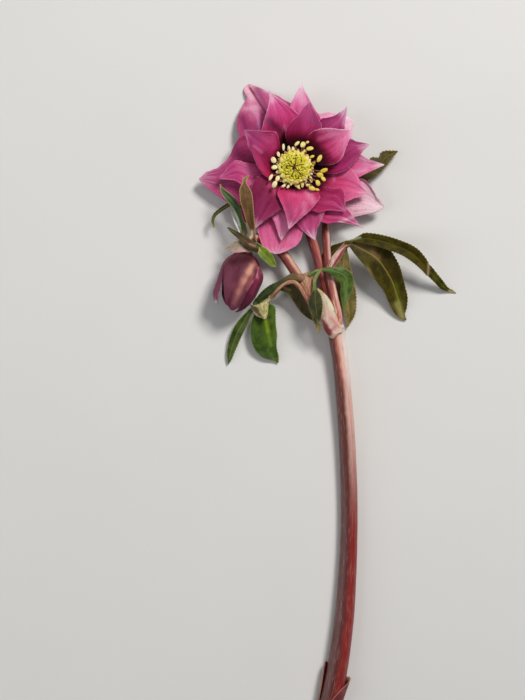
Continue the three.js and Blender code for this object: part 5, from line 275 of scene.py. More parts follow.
WRAPS = {
    'bud_tepal_1': [
        [[-34.01, 56.31, 10.56], [-33.87, 56.25, 10.81], [-33.7, 56.18, 11.03], [-33.49, 56.11, 11.22], [-33.26, 56.03, 11.38], [-33.01, 55.95, 11.49], [-32.74, 55.86, 11.56], [-32.46, 55.78, 11.59], [-32.19, 55.7, 11.58], [-31.91, 55.62, 11.52], [-31.65, 55.55, 11.42], [-31.41, 55.48, 11.28], [-31.19, 55.43, 11.1], [-30.99, 55.38, 10.89], [-30.83, 55.35, 10.65]],
        [[-35.07, 56.28, 11.06], [-34.85, 56.19, 11.45], [-34.57, 56.08, 11.81], [-34.24, 55.96, 12.11], [-33.87, 55.83, 12.36], [-33.47, 55.7, 12.54], [-33.04, 55.56, 12.66], [-32.6, 55.43, 12.7], [-32.16, 55.3, 12.68], [-31.72, 55.17, 12.59], [-31.3, 55.06, 12.43], [-30.91, 54.96, 12.2], [-30.55, 54.87, 11.91], [-30.24, 54.8, 11.58], [-29.99, 54.75, 11.2]],
        [[-35.81, 56.19, 11.38], [-35.53, 56.07, 11.88], [-35.18, 55.93, 12.32], [-34.77, 55.78, 12.7], [-34.3, 55.62, 13.01], [-33.8, 55.46, 13.23], [-33.26, 55.29, 13.38], [-32.71, 55.12, 13.44], [-32.16, 54.96, 13.41], [-31.61, 54.8, 13.29], [-31.09, 54.66, 13.09], [-30.6, 54.53, 12.81], [-30.16, 54.42, 12.45], [-29.77, 54.33, 12.03], [-29.45, 54.27, 11.56]],
        [[-36.22, 56.12, 11.56], [-35.91, 55.99, 12.11], [-35.52, 55.84, 12.6], [-35.06, 55.67, 13.02], [-34.55, 55.5, 13.36], [-33.98, 55.31, 13.62], [-33.39, 55.12, 13.78], [-32.78, 54.94, 13.85], [-32.16, 54.75, 13.82], [-31.56, 54.58, 13.69], [-30.98, 54.42, 13.46], [-30.43, 54.28, 13.15], [-29.94, 54.16, 12.75], [-29.51, 54.06, 12.28], [-29.15, 53.99, 11.75]],
        [[-36.89, 55.74, 11.78], [-36.53, 55.59, 12.4], [-36.09, 55.42, 12.96], [-35.56, 55.23, 13.44], [-34.98, 55.03, 13.83], [-34.34, 54.82, 14.12], [-33.66, 54.6, 14.31], [-32.96, 54.39, 14.38], [-32.26, 54.18, 14.35], [-31.56, 53.98, 14.2], [-30.9, 53.8, 13.95], [-30.27, 53.64, 13.59], [-29.71, 53.5, 13.14], [-29.21, 53.39, 12.61], [-28.8, 53.3, 12.01]],
        [[-37.67, 55.25, 12.06], [-37.25, 55.08, 12.76], [-36.74, 54.88, 13.39], [-36.15, 54.67, 13.93], [-35.48, 54.44, 14.37], [-34.75, 54.2, 14.69], [-33.98, 53.95, 14.9], [-33.19, 53.71, 14.99], [-32.39, 53.47, 14.95], [-31.61, 53.25, 14.79], [-30.85, 53.04, 14.51], [-30.15, 52.86, 14.11], [-29.5, 52.7, 13.61], [-28.93, 52.57, 13.01], [-28.46, 52.47, 12.34]],
        [[-38.49, 54.63, 12.4], [-38.02, 54.44, 13.17], [-37.45, 54.22, 13.86], [-36.78, 53.98, 14.46], [-36.03, 53.72, 14.94], [-35.22, 53.45, 15.3], [-34.36, 53.18, 15.53], [-33.48, 52.91, 15.63], [-32.6, 52.65, 15.59], [-31.72, 52.4, 15.41], [-30.88, 52.17, 15.11], [-30.09, 51.96, 14.68], [-29.36, 51.78, 14.13], [-28.72, 51.63, 13.48], [-28.17, 51.52, 12.74]],
        [[-39.31, 53.88, 12.79], [-38.79, 53.66, 13.62], [-38.15, 53.42, 14.36], [-37.41, 53.16, 14.99], [-36.6, 52.88, 15.51], [-35.71, 52.59, 15.89], [-34.79, 52.3, 16.14], [-33.83, 52.0, 16.25], [-32.87, 51.72, 16.21], [-31.92, 51.44, 16.04], [-31.0, 51.19, 15.71], [-30.13, 50.96, 15.26], [-29.33, 50.76, 14.69], [-28.62, 50.59, 14.0], [-28.0, 50.46, 13.21]],
        [[-40.0, 52.96, 13.26], [-39.42, 52.73, 14.1], [-38.74, 52.48, 14.85], [-37.96, 52.2, 15.49], [-37.1, 51.91, 16.01], [-36.18, 51.6, 16.4], [-35.21, 51.3, 16.66], [-34.22, 50.99, 16.78], [-33.21, 50.69, 16.75], [-32.22, 50.41, 16.58], [-31.26, 50.14, 16.27], [-30.34, 49.9, 15.83], [-29.49, 49.68, 15.26], [-28.72, 49.49, 14.58], [-28.04, 49.34, 13.79]],
        [[-40.58, 51.9, 13.83], [-39.95, 51.66, 14.65], [-39.23, 51.4, 15.37], [-38.43, 51.11, 15.99], [-37.55, 50.81, 16.5], [-36.62, 50.51, 16.89], [-35.65, 50.2, 17.14], [-34.64, 49.89, 17.27], [-33.63, 49.59, 17.25], [-32.63, 49.3, 17.11], [-31.65, 49.03, 16.83], [-30.71, 48.77, 16.42], [-29.83, 48.54, 15.89], [-29.01, 48.34, 15.25], [-28.28, 48.17, 14.51]],
        [[-40.95, 50.69, 14.37], [-40.3, 50.45, 15.13], [-39.58, 50.19, 15.8], [-38.77, 49.91, 16.38], [-37.91, 49.62, 16.85], [-37.0, 49.32, 17.21], [-36.05, 49.02, 17.45], [-35.08, 48.72, 17.57], [-34.09, 48.42, 17.57], [-33.12, 48.14, 17.45], [-32.16, 47.87, 17.21], [-31.23, 47.62, 16.86], [-30.35, 47.38, 16.39], [-29.53, 47.18, 15.81], [-28.77, 46.99, 15.14]],
        [[-41.17, 49.37, 14.83], [-40.52, 49.13, 15.52], [-39.81, 48.88, 16.12], [-39.03, 48.61, 16.63], [-38.2, 48.34, 17.06], [-37.34, 48.05, 17.38], [-36.44, 47.77, 17.6], [-35.52, 47.49, 17.72], [-34.59, 47.21, 17.73], [-33.66, 46.94, 17.64], [-32.75, 46.68, 17.44], [-31.86, 46.43, 17.14], [-31.01, 46.2, 16.74], [-30.21, 46.0, 16.24], [-29.46, 45.81, 15.66]],
        [[-41.31, 47.98, 15.31], [-40.68, 47.75, 15.9], [-39.99, 47.51, 16.43], [-39.26, 47.26, 16.88], [-38.48, 47.0, 17.25], [-37.67, 46.74, 17.53], [-36.84, 46.47, 17.73], [-35.98, 46.21, 17.85], [-35.12, 45.95, 17.87], [-34.27, 45.7, 17.8], [-33.42, 45.46, 17.65], [-32.58, 45.22, 17.4], [-31.78, 45.0, 17.07], [-31.0, 44.8, 16.67], [-30.27, 44.61, 16.18]],
        [[-41.4, 46.54, 15.73], [-40.78, 46.32, 16.25], [-40.13, 46.09, 16.7], [-39.43, 45.86, 17.08], [-38.7, 45.62, 17.4], [-37.95, 45.38, 17.65], [-37.18, 45.13, 17.82], [-36.39, 44.89, 17.92], [-35.6, 44.65, 17.95], [-34.8, 44.42, 17.9], [-34.01, 44.19, 17.77], [-33.24, 43.97, 17.57], [-32.48, 43.76, 17.3], [-31.75, 43.57, 16.96], [-31.06, 43.39, 16.55]],
        [[-41.45, 45.08, 16.04], [-40.84, 44.87, 16.49], [-40.2, 44.65, 16.89], [-39.53, 44.43, 17.22], [-38.84, 44.2, 17.49], [-38.12, 43.97, 17.7], [-37.38, 43.74, 17.85], [-36.64, 43.52, 17.93], [-35.89, 43.29, 17.94], [-35.14, 43.07, 17.88], [-34.4, 42.86, 17.76], [-33.66, 42.65, 17.57], [-32.95, 42.45, 17.32], [-32.26, 42.27, 17.01], [-31.59, 42.09, 16.64]],
        [[-41.46, 43.64, 16.14], [-40.87, 43.44, 16.54], [-40.24, 43.23, 16.89], [-39.59, 43.01, 17.18], [-38.92, 42.8, 17.42], [-38.23, 42.58, 17.59], [-37.53, 42.36, 17.71], [-36.82, 42.14, 17.77], [-36.11, 41.93, 17.76], [-35.4, 41.72, 17.7], [-34.69, 41.52, 17.57], [-34.0, 41.33, 17.38], [-33.32, 41.14, 17.14], [-32.67, 40.96, 16.84], [-32.03, 40.8, 16.48]],
        [[-41.4, 42.23, 16.05], [-40.83, 42.03, 16.4], [-40.24, 41.83, 16.7], [-39.62, 41.63, 16.95], [-38.99, 41.43, 17.15], [-38.34, 41.22, 17.3], [-37.68, 41.02, 17.39], [-37.02, 40.82, 17.43], [-36.35, 40.62, 17.41], [-35.69, 40.43, 17.34], [-35.03, 40.24, 17.21], [-34.38, 40.06, 17.03], [-33.75, 39.88, 16.8], [-33.14, 39.72, 16.51], [-32.55, 39.57, 16.18]],
        [[-41.28, 40.85, 15.88], [-40.74, 40.67, 16.17], [-40.19, 40.48, 16.43], [-39.61, 40.3, 16.64], [-39.02, 40.11, 16.8], [-38.42, 39.92, 16.92], [-37.81, 39.73, 16.98], [-37.2, 39.55, 17.0], [-36.58, 39.37, 16.97], [-35.97, 39.19, 16.89], [-35.37, 39.02, 16.77], [-34.77, 38.85, 16.59], [-34.2, 38.69, 16.38], [-33.63, 38.54, 16.11], [-33.09, 38.4, 15.8]],
        [[-41.12, 39.53, 15.66], [-40.62, 39.36, 15.91], [-40.1, 39.19, 16.12], [-39.56, 39.02, 16.29], [-39.02, 38.85, 16.41], [-38.47, 38.68, 16.5], [-37.91, 38.51, 16.55], [-37.35, 38.34, 16.55], [-36.79, 38.18, 16.51], [-36.24, 38.02, 16.42], [-35.69, 37.86, 16.3], [-35.15, 37.71, 16.13], [-34.62, 37.57, 15.93], [-34.11, 37.43, 15.68], [-33.61, 37.3, 15.4]],
        [[-40.91, 38.3, 15.29], [-40.45, 38.15, 15.49], [-39.97, 37.99, 15.66], [-39.49, 37.84, 15.79], [-39.0, 37.68, 15.89], [-38.5, 37.53, 15.95], [-38.0, 37.38, 15.97], [-37.49, 37.23, 15.96], [-36.99, 37.08, 15.9], [-36.5, 36.94, 15.82], [-36.01, 36.8, 15.7], [-35.52, 36.67, 15.54], [-35.05, 36.54, 15.35], [-34.6, 36.42, 15.12], [-34.16, 36.3, 14.86]],
        [[-40.6, 37.15, 14.82], [-40.19, 37.01, 14.97], [-39.77, 36.88, 15.09], [-39.35, 36.75, 15.18], [-38.92, 36.61, 15.25], [-38.48, 36.48, 15.28], [-38.05, 36.35, 15.28], [-37.61, 36.22, 15.26], [-37.18, 36.1, 15.2], [-36.75, 35.98, 15.11], [-36.33, 35.86, 15.0], [-35.91, 35.74, 14.85], [-35.51, 35.63, 14.68], [-35.11, 35.53, 14.48], [-34.73, 35.43, 14.25]],
        [[-40.21, 36.09, 14.3], [-39.87, 35.98, 14.39], [-39.51, 35.87, 14.47], [-39.16, 35.76, 14.53], [-38.8, 35.65, 14.56], [-38.44, 35.54, 14.57], [-38.07, 35.44, 14.55], [-37.71, 35.33, 14.51], [-37.35, 35.23, 14.45], [-37.0, 35.13, 14.37], [-36.65, 35.03, 14.27], [-36.31, 34.94, 14.14], [-35.97, 34.84, 13.99], [-35.65, 34.76, 13.82], [-35.33, 34.68, 13.63]],
        [[-39.6, 35.1, 13.76], [-39.35, 35.03, 13.8], [-39.1, 34.95, 13.82], [-38.85, 34.87, 13.84], [-38.6, 34.8, 13.84], [-38.35, 34.72, 13.83], [-38.1, 34.65, 13.8], [-37.85, 34.58, 13.77], [-37.6, 34.51, 13.72], [-37.36, 34.44, 13.66], [-37.12, 34.37, 13.59], [-36.88, 34.3, 13.5], [-36.64, 34.24, 13.41], [-36.41, 34.18, 13.3], [-36.18, 34.12, 13.18]],
        [[-38.99, 34.26, 13.05], [-38.85, 34.22, 13.05], [-38.71, 34.18, 13.05], [-38.58, 34.14, 13.04], [-38.44, 34.09, 13.03], [-38.3, 34.05, 13.01], [-38.16, 34.02, 12.99], [-38.02, 33.98, 12.97], [-37.89, 33.94, 12.94], [-37.75, 33.9, 12.91], [-37.62, 33.86, 12.87], [-37.48, 33.82, 12.83], [-37.35, 33.79, 12.78], [-37.22, 33.75, 12.73], [-37.09, 33.72, 12.68]],
        [[-38.61, 33.63, 12.3], [-38.55, 33.61, 12.29], [-38.49, 33.59, 12.28], [-38.43, 33.58, 12.28], [-38.37, 33.56, 12.27], [-38.32, 33.54, 12.26], [-38.26, 33.53, 12.24], [-38.2, 33.51, 12.23], [-38.14, 33.49, 12.22], [-38.09, 33.48, 12.21], [-38.03, 33.46, 12.19], [-37.97, 33.45, 12.17], [-37.91, 33.43, 12.16], [-37.86, 33.41, 12.14], [-37.8, 33.4, 12.12]],
    ],
    'bud_tepal_2': [
        [[-31.45, 55.52, 10.98], [-31.28, 55.48, 10.82], [-31.14, 55.45, 10.64], [-31.02, 55.42, 10.44], [-30.93, 55.41, 10.23], [-30.87, 55.41, 10.0], [-30.84, 55.41, 9.77], [-30.84, 55.43, 9.54], [-30.88, 55.46, 9.31], [-30.94, 55.49, 9.09], [-31.04, 55.53, 8.88]],
        [[-30.98, 55.01, 11.72], [-30.71, 54.95, 11.47], [-30.48, 54.9, 11.18], [-30.29, 54.86, 10.86], [-30.14, 54.84, 10.52], [-30.04, 54.84, 10.16], [-30.0, 54.85, 9.79], [-30.0, 54.87, 9.41], [-30.06, 54.92, 9.05], [-30.17, 54.97, 8.69], [-30.32, 55.04, 8.36]],
        [[-30.69, 54.6, 12.21], [-30.35, 54.52, 11.9], [-30.06, 54.45, 11.54], [-29.82, 54.41, 11.14], [-29.64, 54.38, 10.71], [-29.52, 54.38, 10.26], [-29.46, 54.39, 9.79], [-29.46, 54.43, 9.33], [-29.54, 54.48, 8.87], [-29.67, 54.55, 8.43], [-29.86, 54.63, 8.01]],
        [[-30.53, 54.35, 12.48], [-30.16, 54.27, 12.13], [-29.83, 54.2, 11.73], [-29.57, 54.15, 11.29], [-29.36, 54.12, 10.81], [-29.23, 54.11, 10.31], [-29.16, 54.13, 9.8], [-29.17, 54.16, 9.28], [-29.25, 54.22, 8.77], [-29.4, 54.3, 8.28], [-29.61, 54.4, 7.82]],
        [[-30.35, 53.69, 12.92], [-29.9, 53.59, 12.51], [-29.51, 53.5, 12.04], [-29.19, 53.44, 11.52], [-28.94, 53.41, 10.95], [-28.78, 53.4, 10.36], [-28.7, 53.41, 9.74], [-28.71, 53.46, 9.13], [-28.8, 53.53, 8.52], [-28.98, 53.62, 7.94], [-29.23, 53.73, 7.39]],
        [[-30.19, 52.89, 13.43], [-29.65, 52.76, 12.95], [-29.18, 52.66, 12.4], [-28.8, 52.58, 11.79], [-28.5, 52.54, 11.12], [-28.3, 52.53, 10.42], [-28.21, 52.55, 9.7], [-28.21, 52.6, 8.97], [-28.32, 52.68, 8.26], [-28.53, 52.79, 7.57], [-28.83, 52.92, 6.92]],
        [[-30.09, 51.96, 13.98], [-29.44, 51.8, 13.45], [-28.87, 51.67, 12.84], [-28.38, 51.58, 12.14], [-28.0, 51.52, 11.36], [-27.77, 51.5, 10.53], [-27.68, 51.53, 9.68], [-27.71, 51.6, 8.82], [-27.86, 51.7, 7.99], [-28.1, 51.83, 7.19], [-28.45, 51.98, 6.43]],
        [[-30.09, 50.93, 14.55], [-29.32, 50.74, 13.97], [-28.6, 50.57, 13.32], [-27.96, 50.43, 12.55], [-27.48, 50.34, 11.67], [-27.2, 50.33, 10.69], [-27.13, 50.37, 9.68], [-27.23, 50.47, 8.69], [-27.45, 50.6, 7.74], [-27.74, 50.75, 6.83], [-28.14, 50.93, 5.97]],
        [[-30.2, 49.82, 15.07], [-29.32, 49.59, 14.46], [-28.44, 49.38, 13.8], [-27.61, 49.18, 13.0], [-26.98, 49.06, 12.02], [-26.63, 49.03, 10.89], [-26.6, 49.1, 9.71], [-26.81, 49.24, 8.58], [-27.14, 49.41, 7.53], [-27.48, 49.58, 6.51], [-27.92, 49.78, 5.55]],
        [[-30.44, 48.63, 15.6], [-29.46, 48.38, 14.96], [-28.42, 48.12, 14.3], [-27.39, 47.86, 13.48], [-26.57, 47.69, 12.43], [-26.12, 47.64, 11.15], [-26.11, 47.73, 9.8], [-26.43, 47.91, 8.51], [-26.87, 48.12, 7.34], [-27.27, 48.32, 6.22], [-27.76, 48.54, 5.15]],
        [[-30.9, 47.43, 16.01], [-29.84, 47.16, 15.33], [-28.7, 46.87, 14.66], [-27.53, 46.57, 13.86], [-26.54, 46.35, 12.77], [-25.97, 46.27, 11.41], [-25.94, 46.36, 9.92], [-26.31, 46.57, 8.51], [-26.83, 46.81, 7.24], [-27.28, 47.02, 6.04], [-27.8, 47.26, 4.89]],
        [[-31.5, 46.21, 16.31], [-30.36, 45.92, 15.62], [-29.2, 45.62, 14.9], [-27.98, 45.31, 14.08], [-26.91, 45.06, 12.99], [-26.24, 44.95, 11.6], [-26.13, 45.03, 10.05], [-26.46, 45.23, 8.56], [-26.98, 45.47, 7.21], [-27.45, 45.7, 5.94], [-28.0, 45.95, 4.72]],
        [[-32.11, 44.94, 16.56], [-30.91, 44.63, 15.88], [-29.74, 44.33, 15.08], [-28.57, 44.04, 14.2], [-27.52, 43.8, 13.08], [-26.82, 43.69, 11.69], [-26.59, 43.72, 10.14], [-26.8, 43.89, 8.61], [-27.22, 44.11, 7.2], [-27.68, 44.34, 5.86], [-28.25, 44.6, 4.59]],
        [[-32.67, 43.63, 16.7], [-31.42, 43.3, 16.04], [-30.25, 43.01, 15.19], [-29.16, 42.75, 14.21], [-28.22, 42.55, 13.03], [-27.56, 42.44, 11.66], [-27.25, 42.45, 10.16], [-27.28, 42.56, 8.64], [-27.55, 42.74, 7.19], [-27.97, 42.96, 5.79], [-28.56, 43.23, 4.48]],
        [[-33.12, 42.29, 16.7], [-31.85, 41.95, 16.03], [-30.7, 41.67, 15.16], [-29.69, 41.44, 14.1], [-28.86, 41.27, 12.88], [-28.26, 41.18, 11.53], [-27.91, 41.17, 10.09], [-27.82, 41.25, 8.61], [-27.97, 41.39, 7.15], [-28.34, 41.6, 5.74], [-28.93, 41.87, 4.42]],
        [[-33.55, 40.97, 16.48], [-32.33, 40.64, 15.84], [-31.22, 40.37, 14.98], [-30.26, 40.15, 13.96], [-29.48, 39.99, 12.78], [-28.9, 39.91, 11.48], [-28.54, 39.89, 10.1], [-28.4, 39.95, 8.69], [-28.5, 40.07, 7.27], [-28.82, 40.26, 5.9], [-29.37, 40.52, 4.61]],
        [[-34.02, 39.7, 16.09], [-32.88, 39.4, 15.48], [-31.85, 39.14, 14.69], [-30.95, 38.93, 13.74], [-30.2, 38.79, 12.65], [-29.64, 38.7, 11.45], [-29.28, 38.67, 10.18], [-29.11, 38.72, 8.86], [-29.16, 38.82, 7.54], [-29.42, 38.98, 6.25], [-29.87, 39.2, 5.02]],
        [[-34.5, 38.49, 15.61], [-33.46, 38.22, 15.06], [-32.51, 37.98, 14.34], [-31.68, 37.79, 13.48], [-31.0, 37.65, 12.5], [-30.46, 37.56, 11.42], [-30.09, 37.53, 10.26], [-29.91, 37.56, 9.07], [-29.9, 37.64, 7.86], [-30.08, 37.77, 6.67], [-30.44, 37.95, 5.53]],
        [[-34.91, 37.34, 15.06], [-33.99, 37.1, 14.56], [-33.16, 36.89, 13.92], [-32.42, 36.72, 13.15], [-31.8, 36.59, 12.29], [-31.3, 36.51, 11.33], [-30.95, 36.47, 10.32], [-30.75, 36.48, 9.26], [-30.7, 36.54, 8.19], [-30.8, 36.65, 7.12], [-31.06, 36.79, 6.09]],
        [[-35.12, 36.24, 14.26], [-34.4, 36.05, 13.8], [-33.73, 35.89, 13.25], [-33.14, 35.76, 12.62], [-32.64, 35.65, 11.9], [-32.23, 35.58, 11.13], [-31.92, 35.55, 10.3], [-31.72, 35.55, 9.45], [-31.64, 35.58, 8.57], [-31.66, 35.65, 7.7], [-31.8, 35.74, 6.83]],
        [[-35.32, 35.25, 13.34], [-34.79, 35.11, 12.95], [-34.3, 35.0, 12.5], [-33.87, 34.9, 11.99], [-33.49, 34.83, 11.44], [-33.18, 34.77, 10.85], [-32.94, 34.74, 10.22], [-32.76, 34.73, 9.58], [-32.65, 34.75, 8.91], [-32.62, 34.78, 8.24], [-32.66, 34.84, 7.58]],
        [[-35.57, 34.39, 12.39], [-35.21, 34.3, 12.08], [-34.88, 34.23, 11.74], [-34.59, 34.17, 11.36], [-34.32, 34.12, 10.96], [-34.1, 34.08, 10.54], [-33.91, 34.05, 10.09], [-33.77, 34.04, 9.63], [-33.66, 34.04, 9.16], [-33.6, 34.05, 8.68], [-33.59, 34.08, 8.2]],
        [[-35.87, 33.69, 11.37], [-35.67, 33.64, 11.15], [-35.48, 33.6, 10.91], [-35.31, 33.57, 10.67], [-35.16, 33.54, 10.41], [-35.02, 33.52, 10.14], [-34.9, 33.5, 9.87], [-34.8, 33.49, 9.59], [-34.72, 33.48, 9.3], [-34.65, 33.48, 9.0], [-34.61, 33.49, 8.7]],
        [[-36.33, 33.17, 10.4], [-36.24, 33.15, 10.28], [-36.15, 33.13, 10.15], [-36.07, 33.12, 10.01], [-35.99, 33.1, 9.87], [-35.92, 33.09, 9.73], [-35.85, 33.08, 9.59], [-35.8, 33.08, 9.44], [-35.75, 33.07, 9.29], [-35.7, 33.07, 9.14], [-35.66, 33.06, 8.98]],
        [[-36.86, 32.8, 9.66], [-36.83, 32.79, 9.6], [-36.8, 32.79, 9.54], [-36.76, 32.78, 9.49], [-36.73, 32.78, 9.43], [-36.7, 32.77, 9.37], [-36.68, 32.77, 9.3], [-36.65, 32.76, 9.24], [-36.63, 32.76, 9.18], [-36.6, 32.76, 9.12], [-36.58, 32.76, 9.05]],
    ],
    'bud_tepal_3': [
        [[-30.67, 55.41, 9.06], [-30.8, 55.47, 8.82], [-30.97, 55.53, 8.6], [-31.17, 55.6, 8.42], [-31.39, 55.68, 8.27], [-31.62, 55.76, 8.16], [-31.86, 55.83, 8.1], [-32.1, 55.91, 8.07], [-32.34, 55.98, 8.08], [-32.58, 56.05, 8.13], [-32.8, 56.1, 8.22], [-32.99, 56.16, 8.33], [-33.17, 56.2, 8.48], [-33.32, 56.23, 8.64], [-33.45, 56.26, 8.83]],
        [[-29.73, 54.84, 8.66], [-29.94, 54.93, 8.26], [-30.21, 55.04, 7.92], [-30.53, 55.15, 7.62], [-30.87, 55.27, 7.39], [-31.24, 55.39, 7.22], [-31.63, 55.52, 7.11], [-32.02, 55.64, 7.07], [-32.41, 55.75, 7.09], [-32.78, 55.86, 7.17], [-33.13, 55.95, 7.3], [-33.45, 56.04, 7.49], [-33.73, 56.1, 7.72], [-33.97, 56.16, 7.99], [-34.17, 56.2, 8.28]],
        [[-29.12, 54.39, 8.38], [-29.39, 54.5, 7.89], [-29.73, 54.63, 7.46], [-30.12, 54.77, 7.09], [-30.55, 54.92, 6.8], [-31.02, 55.08, 6.58], [-31.5, 55.23, 6.45], [-31.99, 55.38, 6.4], [-32.47, 55.52, 6.42], [-32.94, 55.66, 6.52], [-33.37, 55.77, 6.69], [-33.77, 55.88, 6.92], [-34.13, 55.97, 7.21], [-34.43, 56.03, 7.54], [-34.67, 56.08, 7.91]],
        [[-28.79, 54.12, 8.22], [-29.09, 54.25, 7.68], [-29.47, 54.39, 7.2], [-29.9, 54.55, 6.79], [-30.38, 54.72, 6.47], [-30.9, 54.89, 6.23], [-31.43, 55.06, 6.08], [-31.98, 55.22, 6.02], [-32.51, 55.38, 6.05], [-33.03, 55.53, 6.16], [-33.52, 55.66, 6.35], [-33.96, 55.78, 6.61], [-34.35, 55.87, 6.93], [-34.69, 55.95, 7.3], [-34.96, 56.0, 7.71]],
        [[-28.37, 53.45, 7.92], [-28.71, 53.6, 7.29], [-29.13, 53.76, 6.73], [-29.62, 53.94, 6.25], [-30.17, 54.13, 5.87], [-30.77, 54.33, 5.58], [-31.39, 54.53, 5.4], [-32.02, 54.72, 5.31], [-32.64, 54.91, 5.33], [-33.25, 55.08, 5.45], [-33.83, 55.24, 5.66], [-34.36, 55.38, 5.95], [-34.83, 55.5, 6.32], [-35.24, 55.59, 6.75], [-35.57, 55.66, 7.23]],
        [[-27.92, 52.64, 7.58], [-28.3, 52.8, 6.85], [-28.78, 52.99, 6.2], [-29.34, 53.2, 5.65], [-29.96, 53.41, 5.19], [-30.64, 53.64, 4.85], [-31.36, 53.87, 4.63], [-32.09, 54.09, 4.52], [-32.82, 54.31, 4.53], [-33.53, 54.52, 4.66], [-34.2, 54.7, 4.89], [-34.83, 54.87, 5.22], [-35.39, 55.01, 5.64], [-35.88, 55.12, 6.14], [-36.28, 55.2, 6.7]],
        [[-27.49, 51.7, 7.23], [-27.91, 51.88, 6.4], [-28.45, 52.09, 5.66], [-29.08, 52.32, 5.02], [-29.79, 52.57, 4.5], [-30.56, 52.83, 4.1], [-31.37, 53.09, 3.83], [-32.2, 53.35, 3.7], [-33.04, 53.6, 3.7], [-33.86, 53.83, 3.83], [-34.64, 54.05, 4.09], [-35.37, 54.24, 4.46], [-36.02, 54.41, 4.94], [-36.59, 54.54, 5.51], [-37.07, 54.64, 6.15]],
        [[-27.12, 50.64, 6.89], [-27.59, 50.84, 5.96], [-28.18, 51.08, 5.13], [-28.88, 51.34, 4.41], [-29.66, 51.61, 3.81], [-30.52, 51.9, 3.36], [-31.43, 52.19, 3.05], [-32.37, 52.48, 2.89], [-33.31, 52.77, 2.89], [-34.23, 53.03, 3.03], [-35.11, 53.28, 3.31], [-35.94, 53.5, 3.72], [-36.69, 53.69, 4.25], [-37.34, 53.84, 4.89], [-37.89, 53.95, 5.61]],
        [[-26.86, 49.5, 6.58], [-27.36, 49.72, 5.57], [-27.99, 49.97, 4.66], [-28.75, 50.25, 3.87], [-29.61, 50.55, 3.21], [-30.55, 50.87, 2.71], [-31.54, 51.19, 2.37], [-32.56, 51.51, 2.19], [-33.59, 51.81, 2.17], [-34.6, 52.11, 2.32], [-35.58, 52.38, 2.62], [-36.48, 52.62, 3.07], [-37.31, 52.83, 3.65], [-38.04, 53.0, 4.34], [-38.65, 53.13, 5.13]],
        [[-26.64, 48.27, 6.29], [-27.18, 48.5, 5.2], [-27.86, 48.77, 4.21], [-28.67, 49.07, 3.35], [-29.59, 49.4, 2.64], [-30.6, 49.74, 2.09], [-31.67, 50.08, 1.72], [-32.78, 50.43, 1.52], [-33.89, 50.76, 1.49], [-34.99, 51.08, 1.65], [-36.05, 51.38, 1.97], [-37.03, 51.64, 2.45], [-37.94, 51.87, 3.08], [-38.73, 52.05, 3.83], [-39.4, 52.2, 4.68]],
        [[-26.62, 47.0, 6.08], [-27.18, 47.24, 4.93], [-27.89, 47.53, 3.89], [-28.74, 47.84, 2.99], [-29.71, 48.18, 2.24], [-30.77, 48.54, 1.66], [-31.89, 48.9, 1.26], [-33.05, 49.27, 1.05], [-34.22, 49.62, 1.02], [-35.38, 49.95, 1.18], [-36.49, 50.26, 1.51], [-37.53, 50.54, 2.02], [-38.49, 50.78, 2.67], [-39.33, 50.98, 3.46], [-40.04, 51.13, 4.36]],
        [[-26.8, 45.71, 5.95], [-27.36, 45.96, 4.77], [-28.09, 46.25, 3.7], [-28.96, 46.58, 2.78], [-29.95, 46.92, 2.01], [-31.04, 47.29, 1.41], [-32.19, 47.66, 1.0], [-33.38, 48.03, 0.78], [-34.58, 48.4, 0.75], [-35.77, 48.74, 0.91], [-36.91, 49.06, 1.25], [-37.98, 49.35, 1.77], [-38.96, 49.59, 2.44], [-39.83, 49.8, 3.25], [-40.56, 49.95, 4.17]],
        [[-27.02, 44.39, 5.84], [-27.59, 44.64, 4.64], [-28.34, 44.94, 3.55], [-29.23, 45.27, 2.6], [-30.23, 45.62, 1.82], [-31.34, 46.0, 1.21], [-32.52, 46.38, 0.79], [-33.73, 46.76, 0.56], [-34.96, 47.13, 0.53], [-36.17, 47.48, 0.69], [-37.34, 47.8, 1.04], [-38.44, 48.1, 1.56], [-39.44, 48.35, 2.25], [-40.32, 48.56, 3.07], [-41.07, 48.72, 4.02]],
        [[-27.3, 43.05, 5.76], [-27.88, 43.31, 4.54], [-28.64, 43.61, 3.43], [-29.53, 43.94, 2.47], [-30.56, 44.3, 1.68], [-31.68, 44.68, 1.06], [-32.87, 45.06, 0.63], [-34.1, 45.45, 0.4], [-35.35, 45.82, 0.36], [-36.58, 46.18, 0.53], [-37.77, 46.51, 0.88], [-38.88, 46.81, 1.41], [-39.9, 47.07, 2.1], [-40.79, 47.28, 2.94], [-41.56, 47.44, 3.9]],
        [[-27.65, 41.72, 5.69], [-28.24, 41.98, 4.46], [-28.99, 42.28, 3.35], [-29.9, 42.61, 2.39], [-30.93, 42.98, 1.58], [-32.05, 43.36, 0.96], [-33.25, 43.74, 0.53], [-34.49, 44.13, 0.3], [-35.74, 44.51, 0.26], [-36.98, 44.87, 0.43], [-38.17, 45.2, 0.78], [-39.29, 45.5, 1.32], [-40.31, 45.76, 2.01], [-41.22, 45.97, 2.85], [-41.99, 46.14, 3.82]],
        [[-28.17, 40.46, 5.4], [-28.77, 40.72, 4.23], [-29.52, 41.02, 3.18], [-30.41, 41.35, 2.26], [-31.42, 41.7, 1.5], [-32.51, 42.07, 0.92], [-33.67, 42.44, 0.51], [-34.87, 42.81, 0.28], [-36.08, 43.18, 0.25], [-37.27, 43.53, 0.4], [-38.43, 43.85, 0.73], [-39.52, 44.14, 1.22], [-40.52, 44.4, 1.88], [-41.41, 44.61, 2.67], [-42.17, 44.78, 3.57]],
